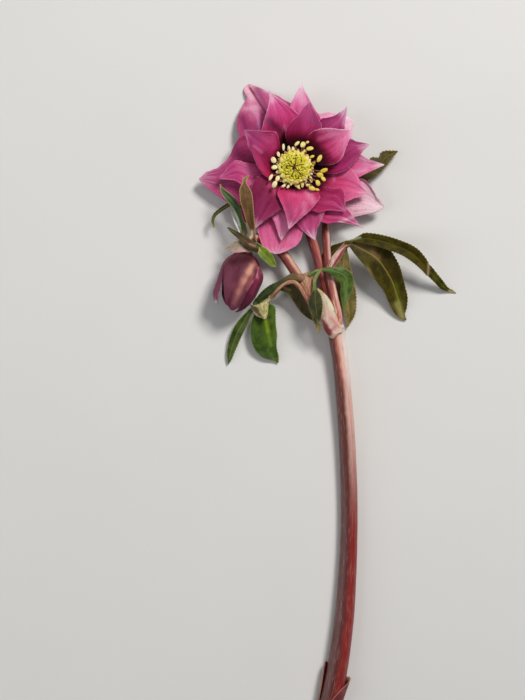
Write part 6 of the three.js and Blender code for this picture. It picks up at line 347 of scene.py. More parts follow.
        [[-28.82, 39.3, 4.82], [-29.44, 39.55, 3.78], [-30.19, 39.84, 2.85], [-31.05, 40.16, 2.04], [-32.01, 40.49, 1.37], [-33.03, 40.83, 0.86], [-34.11, 41.17, 0.5], [-35.22, 41.52, 0.3], [-36.34, 41.86, 0.26], [-37.45, 42.18, 0.38], [-38.52, 42.48, 0.66], [-39.54, 42.76, 1.08], [-40.48, 43.01, 1.64], [-41.34, 43.22, 2.33], [-42.1, 43.39, 3.12]],
        [[-29.58, 38.23, 4.13], [-30.22, 38.48, 3.25], [-30.95, 38.75, 2.47], [-31.77, 39.04, 1.79], [-32.65, 39.34, 1.24], [-33.59, 39.65, 0.8], [-34.56, 39.96, 0.5], [-35.56, 40.27, 0.33], [-36.57, 40.58, 0.3], [-37.56, 40.87, 0.39], [-38.53, 41.14, 0.61], [-39.46, 41.4, 0.96], [-40.33, 41.63, 1.41], [-41.13, 41.83, 1.97], [-41.86, 42.0, 2.62]],
        [[-30.4, 37.24, 3.49], [-31.03, 37.48, 2.77], [-31.73, 37.73, 2.13], [-32.49, 37.99, 1.58], [-33.3, 38.27, 1.13], [-34.15, 38.54, 0.78], [-35.02, 38.82, 0.54], [-35.9, 39.09, 0.41], [-36.79, 39.36, 0.38], [-37.67, 39.62, 0.45], [-38.53, 39.87, 0.62], [-39.36, 40.09, 0.89], [-40.14, 40.31, 1.26], [-40.88, 40.5, 1.7], [-41.56, 40.66, 2.23]],
        [[-31.5, 36.42, 2.89], [-32.09, 36.63, 2.35], [-32.73, 36.85, 1.89], [-33.39, 37.08, 1.5], [-34.09, 37.31, 1.18], [-34.8, 37.54, 0.94], [-35.53, 37.77, 0.77], [-36.26, 37.99, 0.67], [-36.99, 38.22, 0.65], [-37.72, 38.43, 0.71], [-38.43, 38.63, 0.84], [-39.12, 38.83, 1.03], [-39.78, 39.01, 1.3], [-40.41, 39.17, 1.62], [-41.0, 39.32, 2.0]],
        [[-32.84, 35.77, 2.45], [-33.35, 35.94, 2.12], [-33.88, 36.12, 1.83], [-34.42, 36.3, 1.6], [-34.97, 36.48, 1.41], [-35.53, 36.65, 1.27], [-36.09, 36.83, 1.18], [-36.66, 37.0, 1.13], [-37.22, 37.17, 1.13], [-37.77, 37.33, 1.18], [-38.31, 37.48, 1.27], [-38.84, 37.63, 1.41], [-39.35, 37.77, 1.59], [-39.84, 37.91, 1.8], [-40.31, 38.03, 2.06]],
        [[-34.22, 35.22, 2.3], [-34.62, 35.35, 2.13], [-35.03, 35.48, 1.99], [-35.44, 35.62, 1.87], [-35.85, 35.74, 1.79], [-36.27, 35.87, 1.73], [-36.68, 36.0, 1.71], [-37.09, 36.12, 1.7], [-37.49, 36.24, 1.73], [-37.88, 36.35, 1.78], [-38.27, 36.47, 1.86], [-38.65, 36.57, 1.96], [-39.02, 36.67, 2.08], [-39.37, 36.77, 2.23], [-39.71, 36.86, 2.4]],
        [[-35.53, 34.77, 2.39], [-35.82, 34.86, 2.33], [-36.11, 34.95, 2.3], [-36.4, 35.04, 2.28], [-36.69, 35.12, 2.27], [-36.97, 35.21, 2.28], [-37.25, 35.29, 2.3], [-37.53, 35.37, 2.33], [-37.8, 35.45, 2.38], [-38.06, 35.52, 2.45], [-38.32, 35.59, 2.52], [-38.57, 35.66, 2.61], [-38.81, 35.73, 2.7], [-39.05, 35.79, 2.81], [-39.28, 35.85, 2.93]],
        [[-36.72, 34.39, 2.78], [-36.91, 34.45, 2.8], [-37.09, 34.5, 2.83], [-37.27, 34.55, 2.87], [-37.45, 34.6, 2.91], [-37.62, 34.65, 2.96], [-37.79, 34.7, 3.02], [-37.95, 34.74, 3.08], [-38.11, 34.79, 3.15], [-38.27, 34.83, 3.22], [-38.42, 34.87, 3.3], [-38.57, 34.91, 3.38], [-38.71, 34.94, 3.47], [-38.85, 34.98, 3.56], [-38.98, 35.01, 3.65]],
        [[-37.64, 34.07, 3.33], [-37.74, 34.09, 3.39], [-37.84, 34.12, 3.46], [-37.94, 34.14, 3.52], [-38.03, 34.17, 3.6], [-38.12, 34.19, 3.67], [-38.22, 34.21, 3.74], [-38.3, 34.23, 3.82], [-38.39, 34.25, 3.9], [-38.47, 34.27, 3.98], [-38.55, 34.29, 4.06], [-38.62, 34.31, 4.14], [-38.7, 34.32, 4.22], [-38.77, 34.34, 4.31], [-38.84, 34.35, 4.4]],
    ],
    'bud_tepal_4': [
        [[-33.54, 56.32, 8.34], [-33.7, 56.35, 8.54], [-33.84, 56.38, 8.76], [-33.94, 56.4, 9.0], [-34.01, 56.4, 9.24], [-34.04, 56.39, 9.49], [-34.04, 56.38, 9.74], [-34.01, 56.35, 9.99], [-33.94, 56.31, 10.22], [-33.84, 56.27, 10.44], [-33.72, 56.22, 10.63]],
        [[-34.32, 56.3, 7.5], [-34.58, 56.35, 7.82], [-34.8, 56.39, 8.18], [-34.96, 56.42, 8.55], [-35.07, 56.42, 8.95], [-35.13, 56.41, 9.35], [-35.12, 56.39, 9.75], [-35.07, 56.34, 10.13], [-34.96, 56.28, 10.51], [-34.81, 56.22, 10.85], [-34.6, 56.13, 11.17]],
        [[-34.86, 56.2, 6.93], [-35.19, 56.27, 7.34], [-35.46, 56.33, 7.78], [-35.67, 56.36, 8.25], [-35.8, 56.36, 8.74], [-35.87, 56.35, 9.24], [-35.87, 56.32, 9.74], [-35.8, 56.26, 10.23], [-35.67, 56.19, 10.69], [-35.47, 56.1, 11.13], [-35.22, 56.0, 11.52]],
        [[-35.17, 56.14, 6.62], [-35.53, 56.22, 7.07], [-35.83, 56.27, 7.56], [-36.06, 56.31, 8.08], [-36.21, 56.32, 8.63], [-36.29, 56.3, 9.19], [-36.29, 56.26, 9.74], [-36.21, 56.2, 10.28], [-36.06, 56.12, 10.8], [-35.84, 56.03, 11.28], [-35.56, 55.91, 11.72]],
        [[-35.7, 55.78, 6.08], [-36.12, 55.88, 6.59], [-36.47, 55.94, 7.15], [-36.74, 55.98, 7.76], [-36.92, 55.99, 8.39], [-37.02, 55.98, 9.03], [-37.02, 55.94, 9.68], [-36.93, 55.87, 10.3], [-36.76, 55.78, 10.91], [-36.52, 55.66, 11.47], [-36.19, 55.53, 11.99]],
        [[-36.31, 55.32, 5.46], [-36.81, 55.43, 6.05], [-37.22, 55.51, 6.7], [-37.53, 55.56, 7.39], [-37.75, 55.57, 8.12], [-37.86, 55.56, 8.87], [-37.87, 55.51, 9.61], [-37.77, 55.43, 10.34], [-37.58, 55.32, 11.04], [-37.29, 55.19, 11.7], [-36.92, 55.04, 12.3]],
        [[-37.0, 54.75, 4.83], [-37.57, 54.88, 5.5], [-38.05, 54.97, 6.23], [-38.41, 55.02, 7.03], [-38.66, 55.04, 7.86], [-38.78, 55.02, 8.71], [-38.8, 54.97, 9.56], [-38.69, 54.88, 10.4], [-38.47, 54.76, 11.21], [-38.14, 54.61, 11.96], [-37.71, 54.43, 12.65]],
        [[-37.73, 54.06, 4.21], [-38.38, 54.21, 4.95], [-38.91, 54.31, 5.78], [-39.31, 54.37, 6.67], [-39.59, 54.39, 7.61], [-39.74, 54.37, 8.57], [-39.75, 54.31, 9.53], [-39.63, 54.21, 10.47], [-39.38, 54.07, 11.38], [-39.01, 53.9, 12.24], [-38.52, 53.7, 13.02]],
        [[-38.41, 53.24, 3.66], [-39.12, 53.4, 4.48], [-39.69, 53.51, 5.39], [-40.12, 53.57, 6.38], [-40.4, 53.59, 7.41], [-40.55, 53.56, 8.46], [-40.57, 53.49, 9.51], [-40.45, 53.39, 10.55], [-40.2, 53.25, 11.55], [-39.8, 53.06, 12.49], [-39.25, 52.84, 13.35]],
        [[-39.09, 52.32, 3.13], [-39.86, 52.49, 4.03], [-40.45, 52.6, 5.04], [-40.87, 52.65, 6.13], [-41.13, 52.65, 7.25], [-41.28, 52.62, 8.38], [-41.31, 52.55, 9.51], [-41.23, 52.45, 10.63], [-40.98, 52.31, 11.73], [-40.56, 52.11, 12.77], [-39.96, 51.87, 13.7]],
        [[-39.68, 51.27, 2.74], [-40.49, 51.45, 3.7], [-41.09, 51.56, 4.8], [-41.46, 51.59, 5.99], [-41.67, 51.57, 7.18], [-41.8, 51.53, 8.35], [-41.86, 51.47, 9.52], [-41.83, 51.38, 10.71], [-41.62, 51.24, 11.88], [-41.19, 51.03, 13.0], [-40.53, 50.77, 13.98]],
        [[-40.17, 50.12, 2.53], [-41.01, 50.3, 3.52], [-41.57, 50.39, 4.71], [-41.87, 50.39, 5.96], [-42.01, 50.35, 7.19], [-42.11, 50.3, 8.38], [-42.21, 50.25, 9.56], [-42.25, 50.18, 10.78], [-42.1, 50.05, 12.02], [-41.66, 49.84, 13.18], [-40.95, 49.56, 14.19]],
        [[-40.66, 48.91, 2.35], [-41.52, 49.09, 3.39], [-42.04, 49.17, 4.65], [-42.26, 49.14, 5.97], [-42.33, 49.08, 7.24], [-42.41, 49.02, 8.43], [-42.56, 48.98, 9.63], [-42.68, 48.93, 10.89], [-42.57, 48.81, 12.19], [-42.09, 48.59, 13.39], [-41.34, 48.29, 14.42]],
        [[-41.12, 47.66, 2.21], [-42.01, 47.85, 3.3], [-42.49, 47.9, 4.63], [-42.64, 47.85, 6.02], [-42.65, 47.77, 7.32], [-42.74, 47.71, 8.52], [-42.94, 47.69, 9.74], [-43.11, 47.65, 11.06], [-43.0, 47.53, 12.41], [-42.45, 47.28, 13.63], [-41.64, 46.97, 14.67]],
        [[-41.55, 46.38, 2.12], [-42.45, 46.57, 3.24], [-42.91, 46.62, 4.63], [-43.01, 46.55, 6.07], [-42.99, 46.45, 7.38], [-43.09, 46.4, 8.6], [-43.34, 46.39, 9.85], [-43.53, 46.35, 11.22], [-43.38, 46.22, 12.61], [-42.75, 45.95, 13.83], [-41.88, 45.61, 14.88]],
        [[-42.06, 45.13, 2.17], [-42.92, 45.31, 3.33], [-43.33, 45.33, 4.75], [-43.4, 45.26, 6.18], [-43.39, 45.17, 7.48], [-43.52, 45.12, 8.71], [-43.77, 45.11, 9.98], [-43.92, 45.06, 11.36], [-43.7, 44.9, 12.75], [-43.01, 44.62, 13.94], [-42.11, 44.28, 14.96]],
        [[-42.79, 43.96, 2.46], [-43.5, 44.09, 3.69], [-43.81, 44.09, 5.09], [-43.87, 44.01, 6.45], [-43.91, 43.94, 7.71], [-44.05, 43.9, 8.92], [-44.26, 43.88, 10.2], [-44.32, 43.8, 11.56], [-44.0, 43.61, 12.89], [-43.27, 43.32, 14.02], [-42.38, 42.99, 14.99]],
        [[-43.56, 42.84, 2.93], [-44.1, 42.91, 4.19], [-44.34, 42.89, 5.53], [-44.41, 42.83, 6.8], [-44.5, 42.77, 8.01], [-44.64, 42.73, 9.21], [-44.75, 42.68, 10.47], [-44.67, 42.57, 11.78], [-44.25, 42.36, 13.01], [-43.52, 42.07, 14.06], [-42.64, 41.75, 14.98]],
        [[-44.26, 41.76, 3.52], [-44.67, 41.8, 4.74], [-44.88, 41.78, 5.98], [-44.99, 41.73, 7.17], [-45.09, 41.68, 8.34], [-45.17, 41.62, 9.51], [-45.17, 41.54, 10.72], [-44.97, 41.4, 11.93], [-44.48, 41.18, 13.06], [-43.78, 40.9, 14.04], [-42.94, 40.59, 14.89]],
        [[-44.9, 40.72, 4.5], [-45.18, 40.73, 5.59], [-45.34, 40.7, 6.68], [-45.44, 40.66, 7.75], [-45.5, 40.61, 8.8], [-45.49, 40.53, 9.87], [-45.37, 40.42, 10.95], [-45.09, 40.27, 12.0], [-44.61, 40.06, 12.96], [-43.98, 39.81, 13.82], [-43.25, 39.54, 14.59]],
        [[-45.28, 39.7, 5.61], [-45.45, 39.69, 6.53], [-45.56, 39.66, 7.44], [-45.6, 39.61, 8.35], [-45.59, 39.54, 9.25], [-45.49, 39.45, 10.15], [-45.31, 39.34, 11.04], [-45.01, 39.19, 11.89], [-44.58, 39.01, 12.68], [-44.05, 38.8, 13.4], [-43.46, 38.58, 14.04]],
        [[-45.37, 38.71, 6.54], [-45.46, 38.69, 7.27], [-45.49, 38.65, 8.01], [-45.48, 38.6, 8.74], [-45.41, 38.53, 9.46], [-45.28, 38.44, 10.17], [-45.09, 38.34, 10.86], [-44.82, 38.21, 11.53], [-44.49, 38.07, 12.15], [-44.09, 37.91, 12.73], [-43.63, 37.74, 13.25]],
        [[-45.22, 37.8, 7.3], [-45.24, 37.77, 7.82], [-45.23, 37.73, 8.35], [-45.18, 37.68, 8.86], [-45.1, 37.62, 9.37], [-44.98, 37.55, 9.86], [-44.83, 37.47, 10.34], [-44.65, 37.39, 10.81], [-44.43, 37.29, 11.26], [-44.19, 37.19, 11.68], [-43.91, 37.08, 12.07]],
        [[-44.88, 36.96, 7.89], [-44.85, 36.93, 8.21], [-44.8, 36.9, 8.53], [-44.75, 36.86, 8.85], [-44.67, 36.82, 9.16], [-44.59, 36.77, 9.46], [-44.48, 36.72, 9.76], [-44.37, 36.66, 10.05], [-44.24, 36.61, 10.33], [-44.1, 36.55, 10.6], [-43.95, 36.48, 10.86]],
        [[-44.38, 36.23, 8.29], [-44.33, 36.21, 8.46], [-44.28, 36.18, 8.63], [-44.22, 36.15, 8.79], [-44.16, 36.12, 8.95], [-44.1, 36.09, 9.11], [-44.03, 36.06, 9.27], [-43.95, 36.03, 9.42], [-43.87, 36.0, 9.56], [-43.79, 35.96, 9.71], [-43.7, 35.93, 9.85]],
    ],
    'bud_petal': [
        [[-39.63, 50.8, 12.19], [-39.21, 50.63, 12.87], [-38.7, 50.43, 13.48], [-38.13, 50.22, 14.02], [-37.48, 50.0, 14.48], [-36.79, 49.77, 14.85], [-36.05, 49.53, 15.12], [-35.28, 49.29, 15.28]],
        [[-39.8, 50.47, 12.21], [-39.37, 50.29, 12.89], [-38.86, 50.1, 13.52], [-38.28, 49.89, 14.07], [-37.62, 49.66, 14.53], [-36.92, 49.42, 14.9], [-36.17, 49.18, 15.17], [-35.4, 48.94, 15.34]],
        [[-40.0, 50.05, 12.22], [-39.56, 49.87, 12.92], [-39.04, 49.68, 13.55], [-38.45, 49.46, 14.11], [-37.79, 49.23, 14.57], [-37.08, 48.99, 14.95], [-36.32, 48.75, 15.23], [-35.54, 48.5, 15.4]],
        [[-40.22, 49.55, 12.24], [-39.78, 49.37, 12.95], [-39.26, 49.17, 13.59], [-38.66, 48.95, 14.15], [-37.99, 48.72, 14.63], [-37.27, 48.48, 15.01], [-36.5, 48.23, 15.29], [-35.7, 47.98, 15.46]],
        [[-40.48, 48.98, 12.27], [-40.03, 48.79, 12.98], [-39.5, 48.59, 13.63], [-38.89, 48.37, 14.2], [-38.21, 48.13, 14.68], [-37.48, 47.89, 15.07], [-36.7, 47.64, 15.35], [-35.9, 47.38, 15.53]],
        [[-40.75, 48.33, 12.29], [-40.3, 48.14, 13.01], [-39.76, 47.94, 13.67], [-39.14, 47.71, 14.25], [-38.46, 47.47, 14.74], [-37.72, 47.23, 15.13], [-36.93, 46.97, 15.42], [-36.11, 46.71, 15.59]],
        [[-41.04, 47.61, 12.3], [-40.59, 47.42, 13.04], [-40.04, 47.22, 13.71], [-39.41, 46.99, 14.29], [-38.72, 46.75, 14.79], [-37.97, 46.5, 15.18], [-37.17, 46.24, 15.47], [-36.34, 45.98, 15.65]],
        [[-41.33, 46.84, 12.31], [-40.87, 46.65, 13.05], [-40.32, 46.44, 13.73], [-39.69, 46.21, 14.32], [-38.99, 45.97, 14.82], [-38.23, 45.71, 15.22], [-37.42, 45.45, 15.51], [-36.59, 45.19, 15.69]],
        [[-41.62, 46.02, 12.3], [-41.15, 45.83, 13.05], [-40.6, 45.62, 13.72], [-39.96, 45.38, 14.32], [-39.26, 45.14, 14.82], [-38.49, 44.88, 15.22], [-37.68, 44.62, 15.52], [-36.84, 44.36, 15.7]],
        [[-41.88, 45.15, 12.27], [-41.41, 44.97, 13.01], [-40.85, 44.75, 13.69], [-40.22, 44.52, 14.28], [-39.52, 44.28, 14.79], [-38.75, 44.02, 15.19], [-37.94, 43.76, 15.48], [-37.1, 43.49, 15.66]],
        [[-42.05, 44.25, 12.19], [-41.59, 44.06, 12.93], [-41.04, 43.85, 13.59], [-40.42, 43.62, 14.17], [-39.72, 43.38, 14.66], [-38.97, 43.13, 15.05], [-38.18, 42.88, 15.34], [-37.36, 42.62, 15.52]],
        [[-42.13, 43.31, 12.09], [-41.68, 43.13, 12.79], [-41.15, 42.92, 13.42], [-40.55, 42.71, 13.98], [-39.88, 42.48, 14.45], [-39.16, 42.23, 14.83], [-38.4, 41.99, 15.11], [-37.6, 41.74, 15.28]],
        [[-42.14, 42.36, 11.97], [-41.71, 42.18, 12.62], [-41.21, 41.99, 13.22], [-40.64, 41.78, 13.74], [-40.0, 41.57, 14.18], [-39.32, 41.34, 14.54], [-38.6, 41.1, 14.8], [-37.85, 40.87, 14.97]],
        [[-42.11, 41.41, 11.84], [-41.71, 41.25, 12.45], [-41.23, 41.07, 13.0], [-40.69, 40.88, 13.48], [-40.1, 40.67, 13.89], [-39.46, 40.46, 14.22], [-38.79, 40.24, 14.47], [-38.09, 40.02, 14.63]],
        [[-42.07, 40.5, 11.72], [-41.69, 40.35, 12.28], [-41.24, 40.18, 12.78], [-40.73, 40.0, 13.22], [-40.18, 39.81, 13.6], [-39.59, 39.61, 13.9], [-38.97, 39.41, 14.13], [-38.32, 39.2, 14.28]],
        [[-41.98, 39.62, 11.58], [-41.62, 39.48, 12.08], [-41.2, 39.33, 12.54], [-40.74, 39.16, 12.94], [-40.23, 38.99, 13.28], [-39.69, 38.81, 13.55], [-39.12, 38.62, 13.76], [-38.54, 38.44, 13.9]],
        [[-41.83, 38.79, 11.41], [-41.5, 38.66, 11.85], [-41.12, 38.52, 12.25], [-40.7, 38.37, 12.61], [-40.25, 38.22, 12.91], [-39.76, 38.05, 13.15], [-39.25, 37.89, 13.34], [-38.73, 37.72, 13.47]],
        [[-41.63, 38.01, 11.24], [-41.33, 37.9, 11.62], [-41.0, 37.77, 11.96], [-40.63, 37.64, 12.26], [-40.24, 37.51, 12.52], [-39.82, 37.37, 12.73], [-39.38, 37.23, 12.89], [-38.93, 37.08, 13.01]],
        [[-41.33, 37.27, 11.17], [-41.09, 37.19, 11.44], [-40.83, 37.09, 11.69], [-40.55, 36.99, 11.91], [-40.25, 36.89, 12.11], [-39.93, 36.78, 12.28], [-39.6, 36.67, 12.41], [-39.26, 36.56, 12.52]],
        [[-41.02, 36.62, 11.1], [-40.84, 36.56, 11.28], [-40.66, 36.49, 11.44], [-40.46, 36.42, 11.59], [-40.26, 36.35, 11.72], [-40.04, 36.28, 11.84], [-39.82, 36.2, 11.94], [-39.6, 36.13, 12.03]],
        [[-40.74, 36.07, 11.0], [-40.63, 36.03, 11.1], [-40.51, 35.98, 11.2], [-40.38, 35.94, 11.29], [-40.25, 35.9, 11.38], [-40.12, 35.85, 11.46], [-39.98, 35.81, 11.53], [-39.84, 35.76, 11.59]],
        [[-40.52, 35.63, 10.86], [-40.45, 35.61, 10.92], [-40.38, 35.58, 10.97], [-40.3, 35.55, 11.03], [-40.22, 35.53, 11.08], [-40.14, 35.5, 11.12], [-40.06, 35.48, 11.17], [-39.98, 35.45, 11.21]],
    ],
    'basal_sheath': [
        [[-3.29, -119.17, 6.48], [-3.53, -120.39, 6.47], [-3.78, -121.62, 6.46], [-4.05, -122.84, 6.46], [-4.35, -124.06, 6.46]],
        [[-1.67, -108.84, 5.31], [-2.21, -112.65, 5.35], [-2.79, -116.45, 5.4], [-3.59, -120.25, 5.43], [-4.53, -124.06, 5.46]],
        [[-1.01, -106.07, 3.94], [-1.65, -110.56, 4.06], [-2.41, -115.06, 4.16], [-3.33, -119.56, 4.24], [-4.47, -124.06, 4.28]],
        [[-0.01, -106.86, 2.0], [-0.76, -111.16, 2.13], [-1.58, -115.46, 2.23], [-2.55, -119.76, 2.3], [-3.66, -124.06, 2.34]],
        [[1.4, -108.45, 0.71], [0.63, -112.35, 0.79], [-0.15, -116.25, 0.85], [-1.09, -120.16, 0.9], [-2.11, -124.06, 0.92]],
        [[3.59, -109.64, 0.19], [2.87, -113.24, 0.22], [2.14, -116.85, 0.25], [1.25, -120.45, 0.26], [0.32, -124.06, 0.27]],
        [[5.71, -111.23, 0.74], [5.06, -114.43, 0.81], [4.41, -117.64, 0.87], [3.57, -120.85, 0.9], [2.75, -124.06, 0.92]],
        [[7.31, -112.42, 1.99], [6.61, -115.33, 2.12], [5.89, -118.24, 2.23], [5.07, -121.15, 2.3], [4.3, -124.06, 2.34]],
        [[8.44, -112.42, 3.64], [7.59, -115.33, 3.75], [6.76, -118.24, 3.84], [5.85, -121.15, 3.91], [5.03, -124.06, 3.95]],
        [[8.82, -113.01, 5.51], [7.86, -115.77, 5.52], [6.93, -118.54, 5.53], [5.98, -121.3, 5.53], [5.16, -124.06, 5.55]],
        [[7.82, -114.6, 7.13], [7.07, -116.97, 7.06], [6.28, -119.33, 6.99], [5.5, -121.7, 6.95], [4.82, -124.06, 6.94]],
        [[6.53, -115.79, 8.54], [5.93, -117.86, 8.43], [5.25, -119.93, 8.33], [4.62, -121.99, 8.26], [4.04, -124.06, 8.25]],
        [[4.95, -116.99, 9.6], [4.43, -118.75, 9.46], [3.89, -120.52, 9.34], [3.37, -122.29, 9.27], [2.89, -124.06, 9.24]],
        [[3.24, -118.77, 10.16], [2.85, -120.1, 10.01], [2.47, -121.42, 9.89], [2.09, -122.74, 9.8], [1.74, -124.06, 9.77]],
        [[1.35, -121.16, 10.38], [1.15, -121.88, 10.22], [0.95, -122.61, 10.1], [0.76, -123.34, 10.01], [0.57, -124.06, 9.98]],
    ],
}
TUBES = {
    'scape': [[0.24, -124.34, 5.12, 4.25], [2.0, -117.58, 5.06, 4.2], [3.99, -107.65, 4.9, 4.12], [5.43, -97.74, 4.6, 4.02], [6.64, -87.82, 4.2, 3.86], [7.53, -75.91, 3.78, 3.66], [8.18, -63.99, 3.46, 3.48], [8.5, -52.04, 3.35, 3.38], [8.5, -40.08, 3.32, 3.32], [8.1, -28.11, 3.55, 3.3], [7.53, -16.14, 3.95, 3.25], [6.63, -4.17, 4.5, 3.18], [5.66, 6.99, 5.1, 3.16], [4.48, 16.93, 5.7, 3.2], [3.64, 22.5, 6.1, 3.35], [3.39, 24.69, 6.3, 3.55], [2.83, 27.27, 6.5, 3.3]],
    'left_branch': [[3.35, 24.88, 6.3, 2.6], [0.36, 29.25, 6.9, 2.4], [-3.43, 33.61, 7.5, 2.35], [-7.41, 38.76, 8.0, 2.3], [-10.98, 45.1, 8.2, 2.15], [-14.75, 51.26, 8.0, 2.0], [-18.71, 56.64, 7.3, 1.95], [-22.68, 59.82, 7.3, 1.85], [-26.26, 61.55, 8.6, 1.8], [-28.83, 62.15, 10.2, 1.85], [-30.29, 61.05, 10.9, 1.75], [-30.93, 58.87, 11.0, 1.6], [-31.56, 56.91, 10.5, 1.7], [-32.2, 55.35, 9.9, 2.3], [-32.6, 54.18, 9.6, 2.3]],
    'flower_stalk': [[3.36, 24.89, 6.2, 2.5], [1.39, 32.84, 5.6, 2.15], [-0.79, 40.81, 5.0, 2.0], [-2.96, 49.59, 4.5, 1.95], [-4.95, 57.16, 4.2, 1.9], [-6.94, 63.55, 4.0, 1.9], [-8.93, 70.73, 3.8, 1.9], [-10.52, 78.31, 3.7, 1.9], [-11.52, 83.87, 3.9, 1.95], [-12.09, 86.98, 5.1, 2.1], [-12.32, 88.83, 7.0, 2.4], [-12.38, 89.49, 8.8, 3.0], [-12.41, 89.64, 10.6, 3.7], [-12.44, 89.56, 13.3, 3.9]],
    'rear_branch': [[3.74, 25.28, 6.8, 2.4], [3.43, 32.42, 7.6, 2.0], [2.0, 39.56, 7.9, 1.85], [0.73, 46.31, 7.7, 1.75], [-0.13, 52.68, 7.1, 1.68], [-0.58, 59.47, 6.1, 1.62], [-0.79, 67.08, 5.0, 1.6], [-0.17, 74.69, 4.2, 1.55], [1.24, 80.69, 3.8, 1.5], [2.63, 85.07, 3.8, 1.5]],
}
DOME, RING = (-13.49, 89.49), (-12.47, 89.44)
STYLES = [[-12.95, 93.18, 21.6], [-10.01, 90.52, 21.6], [-10.13, 86.06, 21.6], [-14.67, 85.98, 21.6], [-16.78, 89.98, 21.6]]
ANTHERS = [[-17.82, 97.43, 18.49, 2.4, 0.96], [-12.51, 98.83, 18.12, 2.2, 1.2], [-10.16, 98.39, 18.77, 2.4, 1.84], [-8.4, 99.29, 18.81, 1.2, 0.96], [-7.49, 96.86, 18.27, 2.6, 1.68], [-6.59, 93.8, 16.65, 1.8, 1.04], [-3.69, 92.9, 18.73, 2.8, 1.6], [-6.03, 91.15, 16.31, 2.0, 1.4], [-1.92, 88.19, 18.65, 2.8, 1.6], [-6.78, 88.16, 16.36, 1.8, 1.52], [-3.49, 86.42, 18.66, 2.4, 1.84], [-2.16, 84.88, 18.83, 2.0, 1.44], [-4.28, 83.25, 19.11, 2.2, 1.84], [-7.0, 84.78, 17.38, 2.4, 1.2], [-10.32, 82.96, 16.49, 2.4, 1.2], [-8.18, 82.41, 17.55, 1.6, 1.2], [-12.1, 81.84, 16.66, 2.0, 1.04], [-6.63, 81.17, 18.49, 2.4, 1.6], [-4.59, 80.69, 18.69, 1.6, 0.96], [-17.77, 82.14, 18.17, 1.6, 1.04], [-15.92, 81.96, 17.34, 1.6, 1.04], [-14.87, 83.63, 18.13, 2.4, 1.04], [-21.35, 82.63, 19.62, 2.6, 1.84], [-20.13, 85.04, 18.21, 2.24, 1.6], [-22.8, 85.48, 19.19, 2.4, 1.2], [-21.74, 92.34, 18.32, 2.4, 2.0], [-21.34, 89.52, 17.71, 2.2, 1.8], [-19.89, 87.86, 17.24, 1.84, 1.2], [-15.64, 97.07, 17.09, 1.76, 1.04], [-19.81, 94.63, 18.07, 2.0, 1.2], [-13.99, 96.76, 16.99, 1.84, 1.2], [-9.54, 95.91, 16.9, 1.84, 1.2], [-9.3, 85.8, 18.62, 1.84, 1.2], [-12.67, 83.84, 18.53, 1.84, 1.12], [-17.46, 84.52, 17.79, 2.0, 1.2]]
ANTHER_TURN = [-0.48, -0.71, -0.19, -0.62, -0.78, -0.18, 0.75, 0.54, 0.48, -0.5, 0.07, -0.4, -0.59, -0.71, -0.51, 0.77, 0.59, 0.55, 0.54, -0.55, -0.34, 0.23, 0.42, 0.64, 0.68, -0.74, 0.19, 0.31, 0.01, -0.58, -0.05, -0.74, 0.78, 0.66, 0.09]
